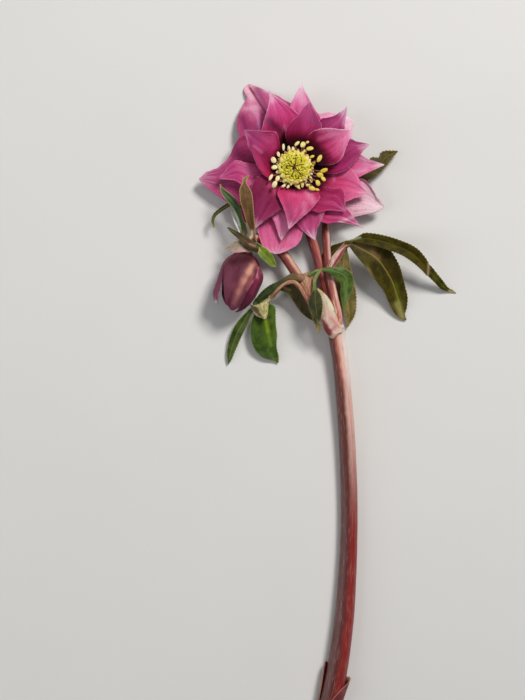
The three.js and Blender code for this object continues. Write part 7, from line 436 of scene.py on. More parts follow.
# Colours of the petals and tepals. Their marks are partly the tissue's own colour and partly painted light: painted
# shadows where one petal shades another, and painted highlights on lit folds and edges. The dark base of each ramp and
# the throat are partly painted shade deep in the bowl.
PETALS = {
    'tepal_upper_left': {
        'ramp': [(0.0, (134, 22, 76)), (0.22, (144, 33, 85)), (0.5, (188, 74, 124)), (0.82, (210, 112, 153)), (1.0, (233, 173, 196))],
        'streak': 0.25,
        'vein': 0.22,
        'rim': 0.35,
        'pleat': 0.25,
        'relief': [(-31.42, 122.74, -25.06, 111.6, 0.64, -0.75), (-29.03, 122.74, -23.46, 113.99, 0.88, 0.3), (-33.81, 121.15, -30.23, 112.4, 1.4, 0.45), (-28.24, 111.6, -26.65, 104.84, 0.96, 0.5), (-33.81, 110.01, -31.02, 104.44, 2.0, -0.25)],
        # marks: a pale tip; painted light on the lit half left of the crease (second and last); painted shade in the
        # crease line and on the half right of it (third and fourth); a painted cast shadow at the lower left (fifth and
        # sixth); a painted highlight on the raised ridge (seventh).
        'marks': [(-33.01, 123.53, -30.23, 118.36, 1.28, (240, 190, 204), 0.9), (-30.23, 117.96, -28.64, 112.4, 2.4, (222, 150, 180), 0.75), (-31.02, 122.34, -24.66, 111.6, 0.52, (112, 30, 74), 0.9), (-27.84, 121.94, -23.86, 113.19, 2.0, (156, 72, 116), 0.85), (-34.2, 110.01, -32.61, 106.03, 2.6, (132, 34, 86), 0.85), (-30.23, 107.62, -29.43, 106.03, 1.6, (150, 52, 100), 0.6), (-28.24, 112.0, -27.04, 104.84, 0.96, (232, 132, 190), 0.95), (-33.41, 113.99, -27.84, 113.99, 1.2, (230, 168, 190), 0.6)],
    },
    'petal_05': {
        'ramp': [(0.0, (100, 4, 42)), (0.22, (134, 9, 61)), (0.5, (184, 38, 102)), (0.82, (218, 93, 153)), (1.0, (244, 198, 219))],
        'streak': 0.35,
        'vein': 0.45,
        'rim': 0.8,
        'rim_width': 0.42,
        # marks: the second, a thin pale line along the right edge, is a painted highlight; the fourth, dark, is a
        # painted shadow beside petal_01's edge.
        'marks': [(-23.88, 121.87, -22.3, 116.35, 1.6, (240, 176, 206), 0.8), (-23.09, 122.66, -12.84, 113.19, 0.64, (244, 214, 226), 0.75), (-17.96, 111.61, -14.41, 109.25, 2.8, (214, 60, 124), 0.5), (-23.09, 107.67, -18.75, 104.12, 2.2, (92, 4, 42), 0.85), (-17.57, 106.09, -17.17, 104.51, 0.96, (214, 120, 160), 0.4), (-25.46, 111.61, -23.88, 107.67, 1.6, (176, 78, 134), 0.5)],
        'throat': (18.0, 11.0),
    },
    'petal_04': {
        'ramp': [(0.0, (144, 22, 73)), (0.22, (179, 37, 95)), (0.5, (207, 62, 128)), (0.82, (233, 147, 188)), (1.0, (250, 236, 240))],
        'streak': 0.3,
        'vein': 0.25,
        'rim': 0.6,
        'marks': [(-10.83, 126.01, -10.83, 122.85, 1.4, (250, 236, 240), 0.9), (-11.63, 120.48, -10.44, 116.53, 2.0, (238, 178, 208), 0.5), (-12.42, 114.95, -10.44, 111.79, 2.0, (222, 96, 154), 0.6)],
    },
    'petal_03': {
        'ramp': [(0.0, (88, 3, 34)), (0.22, (134, 16, 65)), (0.5, (165, 38, 92)), (0.82, (182, 71, 124)), (1.0, (218, 147, 182))],
        'streak': 0.3,
        'vein': 0.38,
        'rim': 0.5,
        'marks': [(-7.35, 117.74, -6.56, 113.8, 0.48, (96, 10, 60), 0.9), (-6.17, 117.74, -4.2, 111.44, 0.64, (214, 150, 186), 0.4), (-7.74, 113.8, -5.77, 110.65, 1.6, (150, 44, 96), 0.5), (-9.71, 112.23, -8.92, 105.93, 2.4, (186, 64, 124), 0.5), (-5.77, 109.08, -3.41, 105.93, 2.0, (140, 50, 100), 0.5), (-15.22, 109.08, -8.14, 116.16, 0.64, (206, 120, 160), 0.35)],
        'throat': (18.0, 9.5),
    },
    'tepal_upper_right': {
        'ramp': [(0.0, (188, 44, 102)), (0.22, (206, 83, 134)), (0.5, (231, 137, 175)), (0.82, (244, 195, 214)), (1.0, (252, 240, 242))],
        'streak': 0.2,
        'vein': 0.25,
        'rim': 0.9,
        'rim_colour': (250, 236, 240),
        'rim_width': 0.5,
        'marks': [(9.5, 110.67, 11.88, 104.32, 2.4, (246, 200, 218), 0.8), (-2.42, 114.64, 2.35, 115.44, 1.6, (240, 178, 200), 0.7), (-4.8, 113.85, -3.21, 112.26, 1.6, (214, 110, 150), 0.6)],
    },
    'petal_06': {
        'ramp': [(0.0, (106, 7, 51)), (0.22, (144, 15, 73)), (0.5, (161, 38, 99)), (0.82, (188, 81, 133)), (1.0, (246, 228, 236))],
        'streak': 0.3,
        'vein': 0.35,
        'rim': 0.5,
        'marks': [(6.51, 117.18, 6.9, 114.82, 0.88, (250, 236, 240), 0.9), (-1.78, 109.29, 3.75, 110.08, 2.0, (150, 38, 100), 0.5), (6.51, 113.24, 6.11, 106.92, 1.2, (214, 150, 190), 0.6)],
    },
    'petal_02': {
        'ramp': [(0.0, (83, 1, 31)), (0.22, (144, 19, 68)), (0.5, (198, 56, 112)), (0.82, (224, 116, 161)), (1.0, (245, 209, 223))],
        'streak': 0.4,
        'vein': 0.4,
        'rim': 0.6,
        'rim_width': 0.4,
        'rim_colour': (248, 220, 230),
        'nick': 0.08,
        'ruffle': 0.12,
        # marks: the third and fourth, dark wine at the base, are painted shade deep in the bowl; the sixth and seventh,
        # pale along the right edge, are painted highlights.
        'marks': [(-3.45, 105.77, 9.13, 104.59, 2.2, (238, 150, 190), 0.8), (1.26, 102.62, 6.77, 101.84, 2.4, (232, 120, 166), 0.6), (-5.81, 102.62, -6.99, 97.91, 2.0, (104, 8, 46), 0.6), (-4.24, 96.33, 2.05, 91.22, 2.8, (104, 8, 50), 0.75), (-4.24, 100.26, 6.37, 104.19, 0.88, (236, 150, 190), 0.3), (6.77, 101.84, 5.59, 93.98, 1.04, (230, 140, 182), 0.45), (9.13, 106.55, 8.73, 101.05, 0.96, (248, 216, 228), 0.7)],
        'throat': (16.8, 9.3),
    },
    'petal_07': {
        'ramp': [(0.0, (106, 3, 41)), (0.22, (134, 15, 63)), (0.5, (163, 37, 97)), (0.82, (180, 62, 119)), (1.0, (236, 189, 211))],
        'streak': 0.25,
        'vein': 0.35,
        'rim': 0.6,
        'marks': [(9.23, 100.51, 13.17, 98.93, 2.0, (186, 86, 138), 0.5), (6.86, 92.62, 10.81, 94.99, 2.4, (140, 36, 88), 0.6), (14.75, 101.3, 16.32, 102.08, 0.8, (238, 204, 220), 0.8)],
        'throat': (17.5, 9.5),
    },
    'petal_08': {
        'ramp': [(0.0, (134, 15, 65)), (0.22, (198, 52, 110)), (0.5, (223, 85, 143)), (0.82, (232, 121, 169)), (1.0, (250, 232, 238))],
        'streak': 0.3,
        'vein': 0.3,
        'rim': 0.65,
        'marks': [(12.88, 97.56, 15.25, 92.82, 2.4, (250, 186, 214), 0.85), (21.97, 94.01, 22.76, 93.22, 1.0, (250, 236, 240), 0.9), (14.06, 92.03, 18.02, 92.03, 2.0, (200, 78, 136), 0.5), (10.9, 88.08, 14.85, 88.87, 1.2, (236, 180, 206), 0.5)],
    },
    'petal_09': {
        'ramp': [(0.0, (106, 3, 41)), (0.22, (169, 25, 80)), (0.5, (219, 70, 124)), (0.82, (233, 114, 161)), (1.0, (244, 184, 208))],
        'streak': 0.3,
        'vein': 0.35,
        'rim': 0.7,
        'rim_width': 0.4,
        'marks': [(8.1, 92.74, 12.44, 84.85, 0.8, (238, 170, 200), 0.45), (1.78, 86.82, 2.18, 84.85, 0.8, (232, 130, 180), 0.6), (6.13, 88.0, 8.5, 86.43, 2.4, (216, 110, 156), 0.6)],
        'throat': (17.0, 9.5),
    },
    'tepal_right': {
        'ramp': [(0.0, (169, 37, 88)), (0.22, (218, 93, 139)), (0.5, (242, 162, 191)), (0.82, (252, 209, 223)), (1.0, (253, 226, 232))],
        'streak': 0.2,
        'vein': 0.25,
        'rim': 0.8,
        'rim_width': 0.36,
        'rim_colour': (196, 70, 118),
        'roll': ('a', 0.35, 0.95, 1.0, 0.6),
        'marks': [(14.21, 86.74, 22.14, 77.22, 0.88, (176, 50, 100), 0.8), (13.41, 86.74, 16.59, 84.36, 1.6, (160, 40, 86), 0.6), (11.83, 81.19, 17.38, 77.22, 2.8, (246, 208, 222), 0.5)],
    },
    'petal_10': {
        'ramp': [(0.0, (88, 3, 34)), (0.22, (152, 22, 71)), (0.5, (186, 44, 99)), (0.82, (186, 58, 112)), (1.0, (208, 114, 159))],
        'streak': 0.3,
        'vein': 0.4,
        'rim': 0.5,
        'marks': [(-1.42, 76.85, 2.52, 74.87, 2.0, (188, 70, 124), 0.4)],
    },
    'petal_11': {
        'ramp': [(0.0, (92, 3, 36)), (0.22, (169, 28, 83)), (0.5, (200, 55, 114)), (0.82, (205, 77, 133)), (1.0, (238, 184, 206))],
        'streak': 0.35,
        'vein': 0.42,
        'rim': 0.7,
        'rim_width': 0.36,
        'nick': 0.1,
        'marks': [(4.59, 68.34, 10.92, 70.71, 1.0, (236, 186, 206), 0.7), (-0.94, 73.48, 5.38, 69.92, 2.0, (216, 84, 138), 0.6)],
    },
    'petal_12': {
        'ramp': [(0.0, (92, 3, 36)), (0.22, (154, 25, 76)), (0.5, (190, 58, 112)), (0.82, (198, 85, 136)), (1.0, (234, 189, 209))],
        'streak': 0.3,
        'vein': 0.38,
        'rim': 0.8,
        'rim_width': 0.4,
        'marks': [(-3.34, 74.6, -2.55, 66.7, 0.88, (232, 170, 200), 0.4), (-8.87, 74.6, -6.5, 69.86, 2.4, (176, 66, 116), 0.4)],
    },
    'petal_13': {
        'ramp': [(0.0, (134, 7, 49)), (0.22, (188, 34, 87)), (0.5, (205, 64, 117)), (0.82, (208, 93, 141)), (1.0, (238, 184, 206))],
        'streak': 0.3,
        'vein': 0.35,
        'rim': 0.7,
        'marks': [(-16.02, 75.14, -14.45, 68.85, 1.6, (150, 44, 96), 0.55), (-8.16, 79.86, -6.19, 75.93, 1.8, (240, 140, 178), 0.75), (-9.73, 75.14, -9.34, 68.85, 1.6, (226, 140, 178), 0.5), (-14.45, 79.47, -9.73, 77.5, 2.0, (222, 84, 134), 0.7)],
        'throat': (12.0, 7.0),
    },
    'petal_14': {
        'ramp': [(0.0, (144, 18, 68)), (0.22, (211, 62, 119)), (0.5, (236, 103, 157)), (0.82, (241, 137, 180)), (1.0, (247, 206, 220))],
        'streak': 0.3,
        'vein': 0.35,
        'rim': 0.8,
        'marks': [(-19.93, 71.41, -17.96, 65.1, 2.0, (248, 140, 190), 0.7)],
    },
    'petal_15': {
        'ramp': [(0.0, (106, 6, 42)), (0.22, (125, 16, 61)), (0.5, (140, 33, 78)), (0.82, (169, 62, 110)), (1.0, (234, 184, 206))],
        'streak': 0.3,
        'vein': 0.38,
        'rim': 0.6,
        'marks': [(-23.88, 83.12, -21.13, 79.96, 1.8, (196, 70, 112), 0.7), (-26.25, 78.39, -27.82, 71.3, 2.0, (140, 40, 88), 0.5)],
        'throat': (15.0, 8.0),
    },
    'petal_16': {
        'ramp': [(0.0, (106, 6, 46)), (0.22, (179, 38, 102)), (0.5, (211, 77, 136)), (0.82, (196, 71, 128)), (1.0, (207, 103, 150))],
        'streak': 0.35,
        'vein': 0.3,
        'rim': 0.6,
        # marks: the first, a bright pink patch, is a painted highlight.
        'marks': [(-34.94, 91.24, -30.99, 88.08, 2.0, (224, 120, 168), 0.55), (-38.1, 94.41, -42.06, 89.66, 0.72, (220, 150, 184), 0.4), (-33.36, 85.71, -30.99, 83.34, 1.6, (226, 110, 170), 0.6), (-42.06, 89.66, -38.1, 87.29, 2.0, (196, 80, 140), 0.5)],
    },
    'petal_01': {
        'ramp': [(0.0, (115, 6, 46)), (0.22, (180, 25, 75)), (0.5, (175, 44, 99)), (0.82, (161, 47, 104)), (1.0, (199, 103, 150))],
        'streak': 0.4,
        'vein': 0.45,
        'rim': 0.6,
        'rim_width': 0.3,
        'nick': 0.07,
        'ruffle': 0.12,
        'relief': [(-29.79, 97.55, -26.25, 94.8, 0.72, 0.4)],
        # marks: the third, pale on the fold, is a painted highlight.
        'marks': [(-34.11, 106.59, -21.13, 105.81, 0.72, (226, 160, 190), 0.5), (-33.32, 105.02, -31.75, 97.94, 0.72, (206, 130, 168), 0.4), (-29.39, 97.55, -26.64, 95.19, 1.04, (214, 110, 156), 0.45), (-27.82, 103.45, -23.89, 100.3, 2.0, (200, 84, 134), 0.55), (-22.31, 104.23, -21.53, 97.16, 1.4, (200, 70, 126), 0.5), (-24.67, 94.8, -22.31, 90.08, 2.4, (120, 8, 54), 0.8), (-30.97, 103.45, -28.61, 99.52, 2.0, (160, 58, 116), 0.5)],
        'throat': (14.0, 7.5),
    },
    'tepal_left': {
        'ramp': [(0.0, (115, 12, 56)), (0.22, (144, 33, 80)), (0.5, (177, 59, 112)), (0.82, (188, 75, 126)), (1.0, (225, 162, 189))],
        'streak': 0.25,
        'vein': 0.35,
        'rim': 0.55,
        # marks: the fourth, darker mauve under petal_16's edge, is a painted shadow.
        'marks': [(-34.98, 103.45, -37.36, 95.51, 2.0, (140, 60, 100), 0.5), (-41.33, 91.54, -47.68, 88.37, 2.4, (190, 100, 144), 0.4), (-51.65, 88.37, -49.27, 87.97, 1.2, (230, 190, 206), 0.8), (-48.47, 85.19, -40.53, 83.61, 2.0, (160, 76, 120), 0.4), (-38.95, 93.92, -43.71, 89.96, 0.72, (216, 140, 176), 0.3)],
    },
    'tepal_bottom': {
        'ramp': [(0.0, (125, 15, 60)), (0.22, (182, 49, 100)), (0.5, (217, 79, 133)), (0.82, (227, 110, 156)), (1.0, (242, 189, 209))],
        'streak': 0.3,
        'vein': 0.4,
        'rim': 0.75,
        'rim_width': 0.5,
        'marks': [(-26.25, 68.38, -22.29, 61.26, 2.8, (216, 108, 156), 0.4), (-17.54, 64.43, -13.58, 61.26, 2.4, (236, 140, 180), 0.5)],
    },
}
BUDS = {
    'bud_tepal_1': {
        'ramp': [(0.0, (92, 42, 44)), (0.22, (98, 46, 54)), (0.5, (112, 54, 70)), (0.82, (126, 60, 82)), (1.0, (146, 70, 94))],
        'streak': 0.35,
        'vein': 0.3,
        'rim': 0.25,
        'rim_width': 0.35,
        'back': (100, 54, 76),
        # marks: the second to fifth, a pale tan stripe down the middle, are a painted highlight.
        'marks': [(-38.07, 52.4, -32.16, 53.58, 2.2, (62, 22, 34), 0.85), (-30.19, 50.82, -31.37, 48.46, 1.4, (232, 174, 148), 0.8), (-31.37, 48.46, -33.34, 44.91, 1.52, (208, 144, 126), 0.72), (-33.34, 44.91, -35.31, 40.58, 1.52, (196, 134, 120), 0.66), (-35.31, 40.58, -37.28, 36.25, 1.4, (184, 122, 116), 0.62), (-29.4, 52.4, -27.82, 50.43, 0.96, (176, 104, 98), 0.6), (-29.6, 47.67, -32.16, 41.37, 0.6, (190, 96, 106), 0.7), (-34.52, 47.67, -36.49, 41.37, 0.64, (120, 50, 76), 0.5), (-38.46, 50.04, -40.04, 42.94, 1.6, (126, 66, 88), 0.55), (-37.67, 43.73, -38.85, 38.61, 1.04, (136, 70, 86), 0.6), (-34.91, 50.04, -36.49, 45.31, 0.88, (78, 28, 48), 0.5), (-38.07, 40.58, -39.25, 35.85, 1.04, (70, 24, 44), 0.6)],
    },
    'bud_tepal_2': {
        'ramp': [(0.0, (120, 54, 60)), (0.22, (128, 50, 70)), (0.5, (128, 50, 76)), (0.82, (120, 44, 72)), (1.0, (150, 80, 100))],
        'streak': 0.4,
        'vein': 0.3,
        'rim': 0.35,
        'rim_width': 0.35,
        'back': (104, 50, 78),
        # marks: the first, second and fourth, pale lines, are a painted highlight on the rolled margin; the fifth,
        # dark, is a painted shadow beside it.
        'marks': [(-28.42, 49.0, -28.03, 46.23, 0.68, (214, 136, 150), 0.8), (-27.83, 50.19, -30.21, 44.65, 0.52, (226, 146, 156), 0.7), (-26.84, 51.77, -26.64, 48.21, 0.8, (170, 92, 116), 0.6), (-30.21, 44.65, -32.19, 41.48, 0.44, (214, 134, 136), 0.7), (-30.21, 43.06, -34.56, 35.15, 0.44, (66, 20, 42), 0.8), (-25.85, 50.19, -25.65, 47.02, 0.72, (120, 56, 80), 0.5), (-27.83, 45.44, -30.21, 39.9, 1.04, (150, 58, 90), 0.5), (-31.0, 39.1, -32.98, 35.15, 0.96, (96, 34, 60), 0.6)],
    },
    'bud_tepal_3': {
        'ramp': [(0.0, (120, 60, 60)), (0.22, (110, 44, 74)), (0.5, (120, 50, 84)), (0.82, (130, 60, 90)), (1.0, (190, 120, 150))],
        'streak': 0.3,
        'vein': 0.35,
        'rim': 0.35,
        'back': (120, 60, 90),
        'marks': [],
    },
    'bud_tepal_4': {
        'ramp': [(0.0, (128, 76, 66)), (0.22, (110, 52, 66)), (0.5, (110, 50, 70)), (0.82, (132, 64, 88)), (1.0, (206, 150, 166))],
        'streak': 0.25,
        'vein': 0.25,
        'rim': 0.35,
        'back': (120, 60, 90),
        'marks': [(-44.48, 36.76, -44.48, 33.98, 0.72, (246, 224, 230), 0.95), (-43.3, 39.14, -42.9, 35.97, 1.04, (196, 104, 140), 0.7), (-38.14, 52.62, -41.71, 43.9, 2.0, (128, 70, 92), 0.4), (-34.97, 54.2, -38.14, 50.24, 1.2, (150, 104, 86), 0.5)],
    },
    'bud_petal': {
        # the inner petal that fills the gap between the sepals: coloured almost black, as painted shade in the gap
        'ramp': [(0.0, (60, 4, 26)), (0.22, (66, 6, 30)), (0.5, (76, 8, 36)), (0.82, (92, 18, 50)), (1.0, (120, 36, 70))],
        'streak': 0.3,
        'vein': 0.4,
        'rim': 0.25,
        'back': (60, 10, 30),
        'marks': [],
    },
}
LEAVES = {
    'right_bract_sheath': {
        'dry': True,
        'dark': (168, 70, 80),
        'light': (236, 196, 180),
        'lines': 1.4,
        'rim_colour': (228, 206, 160),
        'rim': 0.8,
        'teeth': 0,
        'wave': 0.1,
        'quilt': 0,
        'thread': 0.5,
        'thread_colour': (140, 50, 60),
        'stain': 0.3,
        'marks': [(8.6, 61.29, 11.38, 60.11, 0.72, (206, 210, 170), 0.85)],
    },
    'right_bract_leaflet_1': {
        'foot': [[6.61, 59.3, 10.2, 0.68], [8.56, 60.65, 11.1, 0.64]],
        'wave': 0.14,
        'spec': 0.12,
        'rough': 0.58,
        'dark': (50, 44, 4),
        'light': (76, 68, 8),
        'net': 0.12,
        'veins': 0.25,
        'rib_colour': (110, 104, 36),
        'rib_show': 0.35,
        'rim': 0.35,
        'rim_colour': (140, 128, 60),
        'tips': 0.85,
        'tip_colour': (200, 190, 140),
        'teeth': 0.4,
        'pitch': 1.35,
        'back': (80, 74, 24),
        'marks': [(8.53, 61.36, 12.48, 62.15, 0.56, (176, 190, 150), 0.8), (15.64, 58.04, 19.59, 56.46, 2.0, (96, 76, 24), 0.5), (39.75, 52.51, 39.59, 47.37, 0.6, (186, 158, 116), 0.85), (36.19, 51.72, 38.17, 48.55, 1.04, (110, 88, 40), 0.5), (21.97, 54.88, 32.24, 50.93, 1.6, (92, 90, 10), 0.5), (11.69, 59.62, 14.85, 58.04, 1.2, (130, 90, 56), 0.5)],
    },
    'right_bract_leaflet_1_tip': {
        'foot': [[36.9, 53.96, 10.2, 0.88], [37.98, 52.42, 8.8, 1.28]],
        'spec': 0.12,
        'rough': 0.58,
        'dark': (48, 46, 4),
        'light': (84, 80, 14),
        'net': 0.1,
        'bump': 0.15,
        'rib_colour': (130, 124, 50),
        'rib_show': 0.3,
        'rim': 0.4,
        'rim_colour': (150, 140, 70),
        'tips': 0.8,
        'tip_colour': (200, 190, 140),
        'teeth': 0.34,
        'bare': 0.05,
        'pitch': 1.35,
        'back': (90, 84, 30),
        'marks': [(39.87, 51.19, 41.07, 48.8, 1.2, (80, 60, 30), 0.6), (48.64, 41.43, 51.03, 40.59, 0.6, (186, 170, 110), 0.8)],
    },
    'right_bract_leaflet_2': {
        'foot': [[6.62, 58.72, 10.0, 0.88], [8.59, 59.62, 10.2, 0.8]],
        'wave': 0.14,
        'spec': 0.15,
        'rough': 0.55,
        'dark': (50, 42, 6),
        'light': (76, 68, 10),
        'net': 0.14,
        'veins': 0.28,
        'rib_colour': (170, 156, 80),
        'rib_show': 0.5,
        'rib_width': 0.45,
        'rim': 0.5,
        'rim_colour': (160, 136, 84),
        'tips': 0.85,
        'tip_colour': (200, 184, 136),
        'teeth': 0.42,
        'pitch': 1.35,
        'back': (90, 80, 36),
        'marks': [(11.89, 59.44, 17.45, 57.06, 2.0, (122, 96, 60), 0.6), (17.45, 56.66, 19.83, 54.28, 1.4, (150, 116, 76), 0.6), (15.46, 49.51, 25.0, 33.62, 0.96, (156, 136, 84), 0.65), (26.98, 43.15, 28.57, 35.21, 1.6, (106, 108, 14), 0.6), (22.21, 52.69, 25.39, 47.13, 2.0, (80, 64, 16), 0.5), (15.06, 51.1, 18.24, 44.74, 0.88, (120, 104, 50), 0.5), (27.78, 36.0, 29.76, 31.24, 1.8, (166, 154, 92), 0.75)],
    },
    'right_bract_leaflet_3': {
        'foot': [[5.85, 59.94, 9.2, 0.96], [6.58, 58.76, 8.9, 0.92]],
        'spec': 0.2,
        'dark': (92, 84, 36),
        'light': (142, 130, 74),
        'mottle': (180, 168, 112),
        'mottled': 0.3,
        'net': 0.3,
        'rib_colour': (180, 150, 100),
        'rib_show': 0.5,
        'rim': 0.5,
        'rim_colour': (176, 150, 106),
        'tips': 0.8,
        'tip_colour': (206, 186, 146),
        'teeth': 0.45,
        'pitch': 1.2,
        'back': (130, 110, 70),
        'marks': [(7.19, 52.76, 8.78, 45.6, 1.2, (150, 120, 76), 0.5), (9.58, 41.62, 8.78, 29.67, 1.6, (110, 96, 36), 0.6)],
    },
    'right_bract_leaflet_4': {
        'foot': [[8.65, 60.36, 8.6, 0.88], [8.08, 60.35, 7.9, 0.88]],
        'dark': (70, 62, 18),
        'light': (96, 84, 30),
        'net': 0.25,
        'teeth': 0.25,
        'back': (110, 96, 50),
        'marks': [],
    },
    'back_bract': {
        'foot': [[-0.79, 80.18, 5.6, 1.2], [1.21, 81.0, 5.2, 1.36]],
        'dark': (62, 52, 8),
        'light': (92, 78, 16),
        'net': 0.25,
        'rib_colour': (130, 110, 40),
        'rib_show': 0.4,
        'rim': 0.5,
        'rim_colour': (170, 150, 90),
        'tips': 0.9,
        'tip_colour': (210, 200, 150),
        'teeth': 0.45,
        'pitch': 1.3,
        'back': (110, 96, 40),
        'marks': [(15.16, 97.36, 19.14, 98.16, 1.6, (110, 70, 40), 0.6), (25.51, 98.95, 27.1, 100.55, 1.6, (104, 90, 24), 0.5)],
    },
    'lower_bract_sheath': {
        'foot': [[3.55, 23.44, 9.3, 1.84]],
        'dry': True,
        'dark': (238, 196, 180),
        'light': (250, 226, 212),
        'lines': 1.1,
        'rim_colour': (190, 194, 90),
        'rim': 0.75,
        'rim_width': 0.5,
        'teeth': 0.12,
        'wave': 0.15,
        'quilt': 0,
        'thread': 0.12,
        'thread_colour': (196, 106, 106),
        'stain': 0.12,
        'stain_colour': (206, 134, 120),
        # marks: the first five, dark red along the lower left, are painted shade.
        'marks': [(-1.72, 28.8, -0.93, 27.03, 1.04, (130, 54, 56), 0.8), (-0.93, 27.03, 0.02, 25.25, 1.12, (122, 46, 48), 0.85), (0.02, 25.25, 1.04, 23.66, 1.04, (122, 46, 48), 0.85), (-2.28, 29.2, -1.25, 26.04, 0.68, (120, 50, 50), 0.7), (-1.25, 26.04, 0.09, 23.47, 0.68, (120, 50, 50), 0.7), (-2.71, 28.01, -2.12, 31.18, 0.72, (166, 104, 96), 0.6), (1.04, 25.25, 2.63, 26.83, 0.96, (190, 84, 84), 0.6), (2.43, 33.16, 3.62, 31.97, 0.44, (112, 84, 44), 0.85), (-2.52, 38.69, 0.65, 35.92, 1.44, (232, 222, 186), 0.7), (-0.54, 35.92, 2.23, 32.76, 1.36, (236, 222, 196), 0.6), (-3.86, 42.65, -2.32, 40.28, 0.8, (186, 190, 84), 0.8), (0.65, 38.69, 3.42, 35.13, 0.64, (186, 190, 90), 0.8), (3.42, 35.13, 4.8, 30.39, 0.56, (170, 170, 76), 0.7), (-2.91, 37.51, -1.33, 31.97, 0.88, (206, 196, 130), 0.5), (1.04, 30.39, 4.21, 26.83, 0.72, (210, 112, 106), 0.6), (1.24, 28.01, 2.43, 24.45, 0.36, (250, 230, 222), 0.5)],
    },
    'left_bract_sheath': {
        'dry': True,
        'dark': (164, 100, 78),
        'light': (212, 172, 132),
        'lines': 2.2,
        'rim_colour': (190, 180, 90),
        'rim': 0.7,
        'teeth': 0,
        'wave': 0.1,
        'quilt': 0,
        'thread': 0.5,
        'thread_colour': (176, 40, 60),
        'stain': 0.3,
        'marks': [(-11.22, 44.63, -7.66, 38.69, 0.64, (150, 66, 60), 0.6), (-8.05, 39.09, -6.47, 36.32, 1.2, (206, 116, 108), 0.6), (-10.03, 47.0, -6.87, 48.19, 1.0, (150, 116, 80), 0.6)],
    },
    'left_bract_leaflet_1': {
        'foot': [[-8.83, 46.03, 10.4, 1.76], [-10.03, 45.94, 10.9, 1.92]],
        'dark': (36, 52, 20),
        'light': (60, 78, 32),
        'net': 0.08,
        'veins': 0.2,
        'bump': 0.15,
        'rib_colour': (100, 110, 50),
        'rib_show': 0.15,
        'rim': 0.6,
        'rim_colour': (140, 150, 90),
        'tips': 0.7,
        'tip_colour': (170, 180, 140),
        'teeth': 0.34,
        'pitch': 1.15,
        'back': (96, 110, 60),
        'marks': [(-15.95, 46.66, -10.79, 46.06, 1.68, (112, 86, 52), 0.9), (-11.19, 47.05, -8.81, 45.47, 1.2, (190, 120, 96), 0.7), (-20.7, 44.28, -17.53, 45.86, 0.88, (92, 84, 48), 0.5), (-29.42, 41.11, -28.43, 39.13, 0.64, (186, 200, 60), 0.95), (-27.04, 38.34, -24.66, 40.71, 1.2, (84, 96, 46), 0.4)],
    },
    'left_bract_leaflet_2': {
        'foot': [[-28.04, 37.21, 6.0, 0.48], [-28.83, 36.02, 5.9, 0.64], [-29.43, 34.99, 5.9, 0.76]],
        'dark': (42, 60, 14),
        'light': (74, 92, 28),
        'net': 0.2,
        'rib_colour': (130, 140, 70),
        'rib_show': 0.5,
        'rim': 0.6,
        'rim_colour': (150, 156, 100),
        'tips': 0.85,
        'tip_colour': (190, 196, 150),
        'teeth': 0.42,
        'pitch': 1.2,
        'back': (96, 110, 60),
        'marks': [(-31.03, 32.08, -35.02, 25.7, 1.2, (92, 106, 36), 0.4)],
    },
    'left_bract_leaflet_3': {
        'foot': [[-23.67, 38.76, 7.9, 1.12], [-24.86, 36.99, 7.2, 1.76]],
        'dark': (46, 68, 14),
        'light': (76, 102, 26),
        'net': 0.1,
        'bump': 0.15,
        'rib_colour': (110, 130, 50),
        'rib_show': 0.2,
        'rim': 0.6,
        'rim_colour': (156, 166, 96),
        'tips': 0.85,
        'tip_colour': (200, 206, 150),
        'teeth': 0.42,
        'pitch': 1.2,
        'back': (110, 124, 60),
        'marks': [(-24.74, 29.29, -23.86, 25.3, 0.96, (138, 164, 26), 0.9), (-24.06, 25.3, -22.66, 19.72, 1.12, (118, 146, 36), 0.75), (-22.26, 34.47, -20.67, 22.51, 1.36, (98, 126, 30), 0.6), (-23.06, 20.12, -21.47, 16.93, 1.2, (60, 88, 22), 0.4), (-27.84, 31.28, -26.25, 23.31, 1.6, (60, 82, 20), 0.5)],
    },
    'left_bract_fold': {
        'foot': [[-19.12, 41.7, 9.6, 0.6], [-20.3, 40.72, 9.2, 0.72]],
        'dark': (176, 160, 96),
        'light': (216, 204, 140),
        'net': 0.3,
        'rim': 0.45,
        'rim_colour': (190, 180, 136),
        'teeth': 0.22,
        'gap': 2.2,
        'back': (150, 136, 104),
        'back_share': 0.2,
        'rib_show': 0.1,
        'mottle': (64, 50, 40),
        # marks: the fourth to sixth, pale cream on the right, are partly the fold's dried colour and partly a painted
        # highlight.
        'marks': [(-31.01, 35.58, -28.63, 33.6, 1.16, (66, 52, 44), 1.0), (-28.63, 33.99, -27.44, 31.81, 1.04, (84, 70, 54), 0.95), (-26.84, 31.41, -25.85, 30.62, 0.6, (120, 100, 84), 0.7), (-26.25, 35.58, -24.66, 36.37, 0.72, (222, 212, 160), 0.7), (-26.25, 33.99, -24.66, 33.6, 0.8, (206, 204, 130), 0.6), (-25.85, 32.01, -24.66, 31.22, 0.6, (206, 196, 140), 0.6), (-26.25, 32.88, -24.27, 32.96, 0.24, (120, 110, 70), 0.7), (-25.46, 37.36, -23.47, 38.12, 0.68, (150, 124, 110), 0.7), (-22.48, 38.95, -21.49, 39.31, 0.56, (110, 84, 76), 0.7)],
    },
    'left_bract_leaflet_4': {
        'dark': (58, 46, 20),
        'light': (86, 72, 32),
        'net': 0.08,
        'veins': 0.2,
        'bump': 0.15,
        'rib_show': 0.1,
        'rim': 0.75,
        'rim_width': 0.4,
        'rim_colour': (150, 160, 66),
        'teeth': 0.12,
        'wave': 0.1,
        'back': (90, 96, 40),
